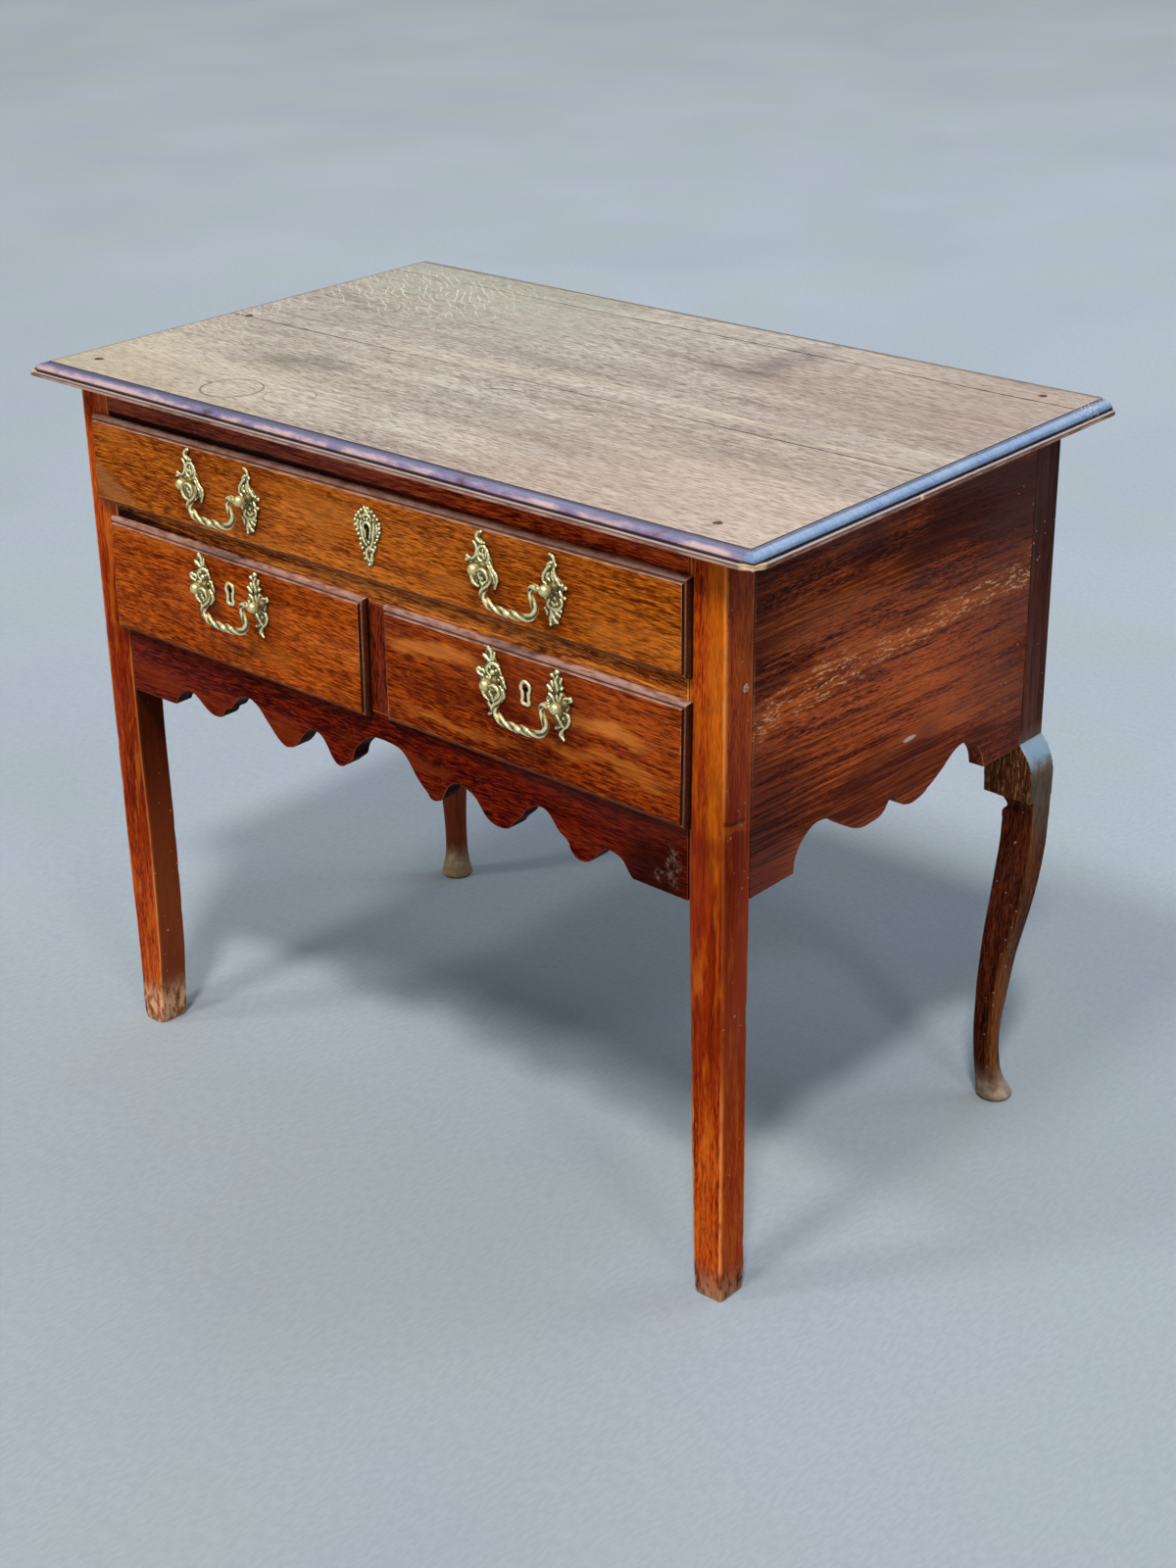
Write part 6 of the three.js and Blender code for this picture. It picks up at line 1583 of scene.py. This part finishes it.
def post_mesh(side):
    seg = 28
    rings = []
    for r, y in POST_PROFILE[1:-1]:
        n_side = 6 if y > -225.75 and r > 5 else 0
        ring = []
        for j in range(seg):
            t = 2 * math.pi * j / seg
            rr = r
            if n_side:   # the nut is roughly square
                q = (t + math.pi / 4) % (math.pi / 2) - math.pi / 4
                rr = min(r * 1.0, 4.6 / math.cos(q))
            ring.append((rr * math.cos(t), y, rr * math.sin(t)))
        rings.append(ring)
    v, f = tube_between(rings)
    me0 = mesh_of("post", v, f)
    o = object_of("post_turned", me0, KNOB)
    bore = [(PIVOT_Y + 2.3 * math.cos(t), 2.3 * math.sin(t)) for t in [2 * math.pi * j / 20 for j in range(20)]]
    a, b = sorted((-side * 9.5, -side * 0.5))
    o = carve(o, [slab(bore, yz, a, b)])
    me = o.data
    bpy.data.objects.remove(o)
    co = coords(me) * 1000
    co[:, 1] -= OY
    y = co[:, 1]
    cav = np.where(y < -258, 0.85 + 0.15 * smooth(y, -258, -266), np.where(y < -250, 0.45, 0.2))
    rad = np.hypot(co[:, 0], co[:, 2])
    cav = np.where((y > -258.0) & (y < -250.0), 0.08, cav)
    me.transform(Matrix.Translation((0, -OY * MM, 0)))
    set_attr(me, "cav", cav)
    me.materials.clear()
    me.materials.append(KNOB)
    me.shade_smooth()
    me.set_sharp_from_angle(angle=math.radians(44))
    return me


posts = {-1: post_mesh(-1), 1: post_mesh(1)}

BAIL = [[36.6, 0, 1.7], [33.6, -0.2, 1.75], [32.4, -0.2, 2.5], [29.6, 0.5, 2.7], [26.6, 0.3, 2.6], [24.4, -1.9, 2.3],
        [23.5, -5.2, 2.2], [24.6, -9, 2.4], [26.6, -12.6, 2.7], [28.3, -16.5, 2.9], [28.1, -20.4, 3.0], [25.6, -24.6, 3.2],
        [21, -27.8, 3.3], [14.1, -29.4, 3.1], [7, -29.5, 3.3], [0, -29.4, 3.6], [-7, -29.5, 3.3], [-14.1, -29.2, 3.1],
        [-20.6, -27.6, 3.3], [-25.9, -24.9, 3.2], [-29.2, -20.9, 3.0], [-29.1, -16.6, 2.9], [-26.6, -12.6, 2.7],
        [-23.6, -8.6, 2.4], [-22, -5, 2.2], [-23.1, -1.2, 2.3], [-26, 1.0, 2.6], [-29.4, 1.0, 2.7], [-32.4, 0.1, 2.5],
        [-33.6, 0, 1.75], [-36.6, 0, 1.7]]


def bail_mesh(seed):
    p = spline(BAIL, 0.55)
    m = len(p)
    d = np.linalg.norm(np.diff(p[:, :2], axis=0), axis=1)
    s = np.concatenate([[0], np.cumsum(d)])
    s -= s[-1] / 2
    sides = 20
    rings, cav = [], []
    for k in range(m):
        a, b = p[max(0, k - 1)], p[min(m - 1, k + 1)]
        t = (b - a)[:2]
        if abs(p[k][0]) > 32.6 and p[k][1] > -2:
            t = np.array([-1.0, 0.0])
        t = t / np.linalg.norm(t)
        nx, nz = -t[1], t[0]
        r0 = p[k][2]
        u = abs(s[k])
        ring = []
        for j in range(sides):
            q = 2 * math.pi * (j + 0.5) / sides
            plain = 1.0 if (abs(p[k][0]) > 31.8 and p[k][1] > -2) else 0.0
            # leaves lie along the grip towards its ends, with a twist; their tips lift in turn
            twist = s[k] * 0.3
            ridge = math.cos(3 * q + twist * 1.5) * 0.15
            leaf = ((u + 2.6 * math.cos(q * 2 + s[k] * 0.12)) % 12.5) / 12.5
            lift = 0.15 * leaf ** 2 - 0.05
            grip = float(smooth(u, 42, 30))
            knot = 0.1 * math.exp(-(u / 3.0) ** 2)
            groove = -0.08 * math.exp(-((u - 4.4) / 0.7) ** 2)
            k1 = 1 + (1 - plain) * ((ridge + lift) * (0.35 + 0.65 * grip) + (knot + groove) * grip)
            r = r0 * k1 * (1.0 if plain else 0.98)
            ring.append((p[k][0] + nx * r * math.cos(q), PIVOT_Y + r * math.sin(q), p[k][1] + nz * r * math.cos(q)))
            cav.append(0.6 if plain else min(1, max(0, 0.62 + (ridge + lift + knot + groove) * 2.6)))
        rings.append(ring)
    v, f = tube_between(rings)
    v = v + 0.05 * wobble(v, (1.1, 1.1, 1.1), seed)[:, None]
    me = mesh_of("bail_cast", v, f, {"cav": cav})
    me.transform(Matrix.Translation((0, -OY * MM, 0)))
    me.materials.append(BRASS)
    me.shade_smooth()
    return me


bail = bail_mesh(201)
for node, centre, pattern, drawer, label in (
        ("handle_top_left", H["tl"], "upper", "drawer_top", "top_left"),
        ("handle_top_right", H["tr"], "upper", "drawer_top", "top_right"),
        ("handle_lower_left", H["ll"], "lower", "drawer_left", "lower_left"),
        ("handle_lower_right", H["lr"], "lower", "drawer_right", "lower_right")):
    cx, cz = centre
    for side, word in ((-1, "left"), (1, "right")):
        place(f"{node}_plate_{word}_brass", plate_meshes[f"{pattern}_{word}"], (cx, FACE - 0.3, cz), drawer,
              f"{node}_plate_{word}")
        place(f"{node}_post_{word}_brass", posts[side], (cx + side * POST_HALF, 0, cz), drawer, f"{node}_post_{word}")
    place(f"{node}_bail_brass", bail, (cx, 0, cz), "bail_" + label, f"{node}_bail")

# escutcheon: a lobed teardrop with beaded scrolls
HALF = [(0, 24.2), (3.4, 23.4), (5.6, 20.6), (8.2, 20.4), (10.4, 17.4), (13.2, 16.2), (14.4, 12.9), (16.8, 10.6), (16.4, 6.6),
        (17, 3.2), (14.6, 0.2), (13.6, -3.2), (10.6, -5), (9.6, -8.4), (10.4, -11.6), (8.8, -14.8), (5.9, -16),
        (5.4, -19.4), (6.3, -22.6), (5, -26.6), (2.8, -30), (0, -31.2)]
esc_outline = HALF + [(-x, z) for x, z in HALF[1:-1][::-1]]
esc_outline = [(x * 0.97, z * 0.985) for x, z in esc_outline]
esc_strokes = [
    ([(-3.1, -4.2), (-3.3, 0), (-4.4, 4.4), (-4, 7.1), (-1.2, 9.2), (2.4, 7.8), (3.8, 3.8), (3.1, -0.7), (2.2, -4)], 0.95),
    ([(-7.9, 9.4), (-8.4, 4.9), (-6.9, 0.4), (-6.3, -5), (-4.2, -9.8), (-1.9, -11.6)], 0.95),
    ([(7.9, 9.6), (7.9, 4.4), (6.6, 0.2), (6.2, -5), (4.6, -9.4)], 0.95),
    ([(3.9, -11), (-0.4, -14.3), (-2.6, -17.8), (-2.1, -21.5), (-0.1, -25.8)], 1.05),
    ([(6.5, -14.4), (3.7, -14.2), (1.2, -16.1)], 0.95), ([(4.1, -18), (3.6, -22), (1.6, -26.4)], 0.95),
    ([(-5.4, 13.6), (-2.2, 15.8), (1.3, 16.3), (4.4, 13.6)], 1.0), ([(-1.8, 20.6), (0.4, 18.6), (3.2, 20.2)], 1.0),
    ([(-11.2, 9.8), (-12.4, 5.6), (-11.2, 1.6)], 0.95), ([(11.4, 9.4), (12.2, 5.2), (11, 1.2)], 0.95)]
esc_balls = [(1.8, 22.6, 1.5), (6.3, 20.2, 1.4), (9.6, 17.2, 1.5), (12.9, 14.6, 1.4), (15.0, 11.0, 1.4), (14.9, 6.8, 1.4),
             (14.6, 2.8, 1.3), (12.2, -0.8, 1.3), (11.3, -4.2, 1.3), (8.7, -7.2, 1.2), (8.8, -11.6, 1.4), (6.2, -15.2, 1.2),
             (4.8, -19.8, 1.1), (-2.4, 22.4, 1.4), (-6.6, 19.6, 1.4), (-9.8, 16.6, 1.5), (-12.9, 13.4, 1.4),
             (-14.9, 9.2, 1.4), (-15.0, 4.6, 1.4), (-13.4, 0.4, 1.3), (-11.6, -3.4, 1.3), (-9.2, -7.2, 1.3),
             (-9.2, -11.8, 1.4), (-7.4, -15.2, 1.2), (-5.2, -19.6, 1.2), (-4.4, -24.4, 1.2), (4.0, -24.2, 1.2),
             (0.2, -28.9, 1.2), (4.5, -9.4, 1.1), (0.7, -8.4, 1.2), (6.4, -16.6, 1.0), (-4.6, -8.4, 1.0), (0.4, 12.4, 1.3),
             (-3.2, 12.2, 0.9), (3.8, 11.8, 0.9), (7.6, 13.2, 1.1), (-7.8, 13, 1.1)]
esc = plate_mesh("escutcheon_cast", esc_outline, esc_strokes, esc_balls, 211, thickness=1.1, voxel=0.34)
o = object_of("escutcheon_blank", esc, BRASS)
o.location = (7 * MM, (FACE - 0.3 + OY) * MM, 632 * MM)
esc.transform(Matrix.Translation(o.location))
o.location = (0, 0, 0)
bpy.context.view_layer.update()
o = carve(o, [slab(keyhole(6.4, 635.4, 0.1), xz, FACE - 8, FACE + 2)])
o.name = "escutcheon_brass"
settle(o, "drawer_top", "brass", ["escutcheon"], sharp=60)


# keyhole liners: a rounded rim round the slot
def liner(name, node, body, kx, kz, seed):
    def ring(grow):
        pts = []
        for n in range(17):
            t = -0.28 * math.pi + n / 16 * 1.56 * math.pi
            pts.append((kx + (4.2 + grow) * math.cos(t), kz + 4.2 + (4.9 + grow) * math.sin(t)))
        pts += [(kx - 2.6 - grow, kz - 1.5), (kx - 2.6 - grow, kz - 4.5), (kx - 3.2 - grow * 0.8, kz - 7.2),
                (kx - 2.9 - grow * 0.75, kz - 8.9 - grow * 0.5), (kx - 1.6, kz - 9.6 - grow), (kx + 1.6, kz - 9.6 - grow),
                (kx + 2.9 + grow * 0.75, kz - 8.9 - grow * 0.5), (kx + 3.2 + grow * 0.8, kz - 7.2),
                (kx + 2.6 + grow, kz - 4.5), (kx + 2.6 + grow, kz - 1.5)]
        return spline(pts, 0.7, closed=True)
    inner, outer = ring(0.0), None
    pts_in = ring(0.0)
    # the outer outline follows the inner one point by point
    m = len(pts_in)
    tang = np.roll(pts_in, -1, 0) - np.roll(pts_in, 1, 0)
    nrm = np.stack([tang[:, 1], -tang[:, 0]], 1) / np.maximum(np.linalg.norm(tang, axis=1), 1e-9)[:, None]
    centre = pts_in.mean(0)
    if np.mean(np.sum(nrm * (pts_in - centre), 1)) < 0:
        nrm = -nrm
    rings = []
    prof = [(-0.9, 0.0), (-0.9, 0.5), (-0.55, 1.1), (0.05, 1.55), (0.8, 1.75), (1.6, 1.62), (2.2, 1.2), (2.45, 0.6), (2.5, 0.0)]
    for k in range(m):
        u = 1 + 0.12 * math.sin(k * 0.7 + seed)
        rings.append([(pts_in[k][0] + nrm[k][0] * a * u, FACE - 0.3 - h, pts_in[k][1] + nrm[k][1] * a * u) for a, h in prof])
    n = len(prof)
    v = np.concatenate([np.array(r) for r in rings])
    f = []
    for k in range(m):
        k2 = (k + 1) % m
        for j in range(n):
            j2 = (j + 1) % n
            f.append((k * n + j, k * n + j2, k2 * n + j2, k2 * n + j))
    cav = np.tile([0.3, 0.5, 0.8, 0.95, 1, 0.95, 0.8, 0.5, 0.2], m)
    put(name, v, f, body, BRASS, {"cav": cav}, slot="brass", stands_for=[node], sharp=60)


liner("keyhole_liner_left_brass", "keyhole_liner_left", "drawer_left", -182.5, 531, 1)
liner("keyhole_liner_right_brass", "keyhole_liner_right", "drawer_right", 187, 530.5, 2)


# ----------------------------------------------------------------------- pegs
def peg(name, at, axis, r, proud, material, seed):
    """A whittled peg end, its face slightly domed, let into the wood."""
    n = 20
    rings = []
    for d, k in ((-6, 1.0), (0, 1.0), (proud * 0.6, 0.93), (proud, 0.7), (proud * 1.05, 0.3)):
        ring = []
        for j in range(n):
            t = 2 * math.pi * j / n
            q = r * k * (1 + 0.06 * math.sin(3 * t + seed) + 0.04 * math.cos(5 * t + seed * 2))
            a, b = q * math.cos(t), q * math.sin(t)
            ring.append((at[0] + a, at[1] + b, at[2] + d) if axis == "z" else (at[0] + d, at[1] + a, at[2] + b))
        rings.append(ring)
    v, f = tube_between(rings)
    n_v = len(v)
    put(name, v, f, "case", material, {"edge": np.full(n_v, 0.1), "grime_and_shade": np.concatenate([np.full(n * 2, 0.9), np.full(n, 0.7), np.full(n * 2, 0.1)])},
        slot="top_oak" if axis == "z" else "post_oak", sharp=50)


PEG = oak("oak_peg_end", "z", srgb(56, 44, 36), srgb(88, 72, 58), srgb(120, 100, 82), pore=0.3, rings=500, sheen=0)
PEG_PALE = oak("oak_peg_pale", "x", srgb(104, 62, 40), srgb(170, 124, 94), srgb(210, 166, 134), pore=0.3, rings=500, sheen=0)
for k, (x, y) in enumerate(((-388.8, -213.1), (-396.5, -15.3), (364.9, -216.1), (376.9, 231.7))):
    peg(f"top_peg_{k + 1}", (x, y, HEIGHT - 0.3), "z", 4.6, 0.42, PEG, k)
peg("post_peg_upper", (XR - 0.3, -212.4, 577.6), "x", 4.7, 0.6, PEG_PALE, 9)


# -------------------------------------------------------------- floor, lights
def floor_material():
    g = Graph("floor_plain")
    g.coords()
    n = g.noise(g._xyz, 1.4, 4, 0.5)
    f = g.noise(g._xyz, 60, 3, 0.6)
    tint_ = g.noise(g._xyz, 3.1, 3, 0.5)
    weave = g.noise(g.vec("MULTIPLY", g._xyz, (260, 90, 90)), 1.0, 2, 0.6)
    color = g.mix(g.span(g.math("MULTIPLY_ADD", f, 0.2, g.math("MULTIPLY", n, 0.8)), 0.3, 0.7), srgb(148, 159, 171), srgb(156, 167, 179))
    color = g.mix(g.span(tint_, 0.42, 0.62, 0.0, 0.6), color, srgb(152, 165, 168))
    color = g.mix(g.span(weave, 0.35, 0.65, 0.0, 0.35), color, srgb(138, 147, 156))
    g.set(Base_Color=color, Roughness=g.span(n, 0.3, 0.7, 0.75, 0.85), Normal=g.bump(f, 0.1, 0.001))
    return g.mat


bm = bmesh.new()
bmesh.ops.create_grid(bm, x_segments=8, y_segments=8, size=14)
me = bpy.data.meshes.new("floor")
bm.to_mesh(me)
bm.free()
floor = bpy.data.objects.new("floor", me)
floor.location = (0, 4, -0.0004)
bpy.context.scene.collection.objects.link(floor)
me.materials.append(floor_material())


def area(name, at, aim, w, h, watts, color=(1, 1, 1)):
    d = bpy.data.lights.new(name, "AREA")
    d.shape = "RECTANGLE"
    d.size, d.size_y = w, h
    d.energy = watts
    d.color = color
    o = bpy.data.objects.new(name, d)
    bpy.context.scene.collection.objects.link(o)
    o.location = at
    o.rotation_euler = (Vector(aim) - Vector(at)).to_track_quat("-Z", "Y").to_euler()
    return o


def sun(name, towards, strength, angle, color):
    d = bpy.data.lights.new(name, "SUN")
    d.energy = strength
    d.angle = math.radians(angle)
    d.color = color
    o = bpy.data.objects.new(name, d)
    bpy.context.scene.collection.objects.link(o)
    o.location = Vector(towards) * 3
    o.rotation_euler = (-Vector(towards)).to_track_quat("-Z", "Y").to_euler()
    return o


sun("key_front", (0.34, -0.47, 1.0), 1.82, 6, (1.0, 0.96, 0.9))
sun("key_middle", (-0.02, -0.6, 1.0), 0.95, 8, (1.0, 0.96, 0.92))
sun("key_left", (-0.45, -0.6, 1.0), 0.55, 8, (1.0, 0.97, 0.92))
sun("key_right", (0.9, -0.38, 1.0), 0.4, 8, (1.0, 0.97, 0.94))
sun("key_back", (0.36, 0.45, 1.0), 0.2, 13, (0.94, 0.97, 1.0))
sun("fill_front", (0.3, -1.0, 0.42), 0.5, 60, (1.0, 0.97, 0.94))
area("softbox_above", (-1.5, 0.9, 5.6), (-0.7, 0.25, 0), 7.2, 7.2, 98, (0.96, 0.94, 1.0))
area("softbox_back", (0.8, 4.2, 4.6), (0.1, 0.4, 0.6), 5.0, 2.8, 80, (0.62, 0.82, 1.0))

world = bpy.data.worlds.new("studio")
world.use_nodes = True
bpy.context.scene.world = world
bg = world.node_tree.nodes["Background"]
bg.inputs[0].default_value = (0.86, 0.93, 1.0, 1)
bg.inputs[1].default_value = 0.045

# --------------------------------------------------------------------- camera
cam_data = bpy.data.cameras.new("camera")
cam = bpy.data.objects.new("camera", cam_data)
bpy.context.scene.collection.objects.link(cam)
R = Matrix(((0.7523733060513236, 0.6585657976425257, -0.015016608034612688),
            (0.26858819723181776, -0.3275021330846571, -0.9058712563784996),
            (-0.6014937976813753, 0.6775200683378046, -0.42328686295510415)))
rot = (R.transposed() @ Matrix(((1, 0, 0), (0, -1, 0), (0, 0, -1)))).to_4x4()
cam.matrix_world = Matrix.Translation((1.5063591217, (-1657.8864474 + OY) * MM, 1.3482965521)) @ rot
cam_data.sensor_width = 36
cam_data.lens = 2562.306 * 36 / 1600
cam_data.clip_start, cam_data.clip_end = 0.05, 60
cam_data.shift_x = (600 - 599.50) / 1600
cam_data.shift_y = (799.28 - 800) / 1600
bpy.context.scene.camera = cam
bpy.context.scene.view_settings.view_transform = "Standard"
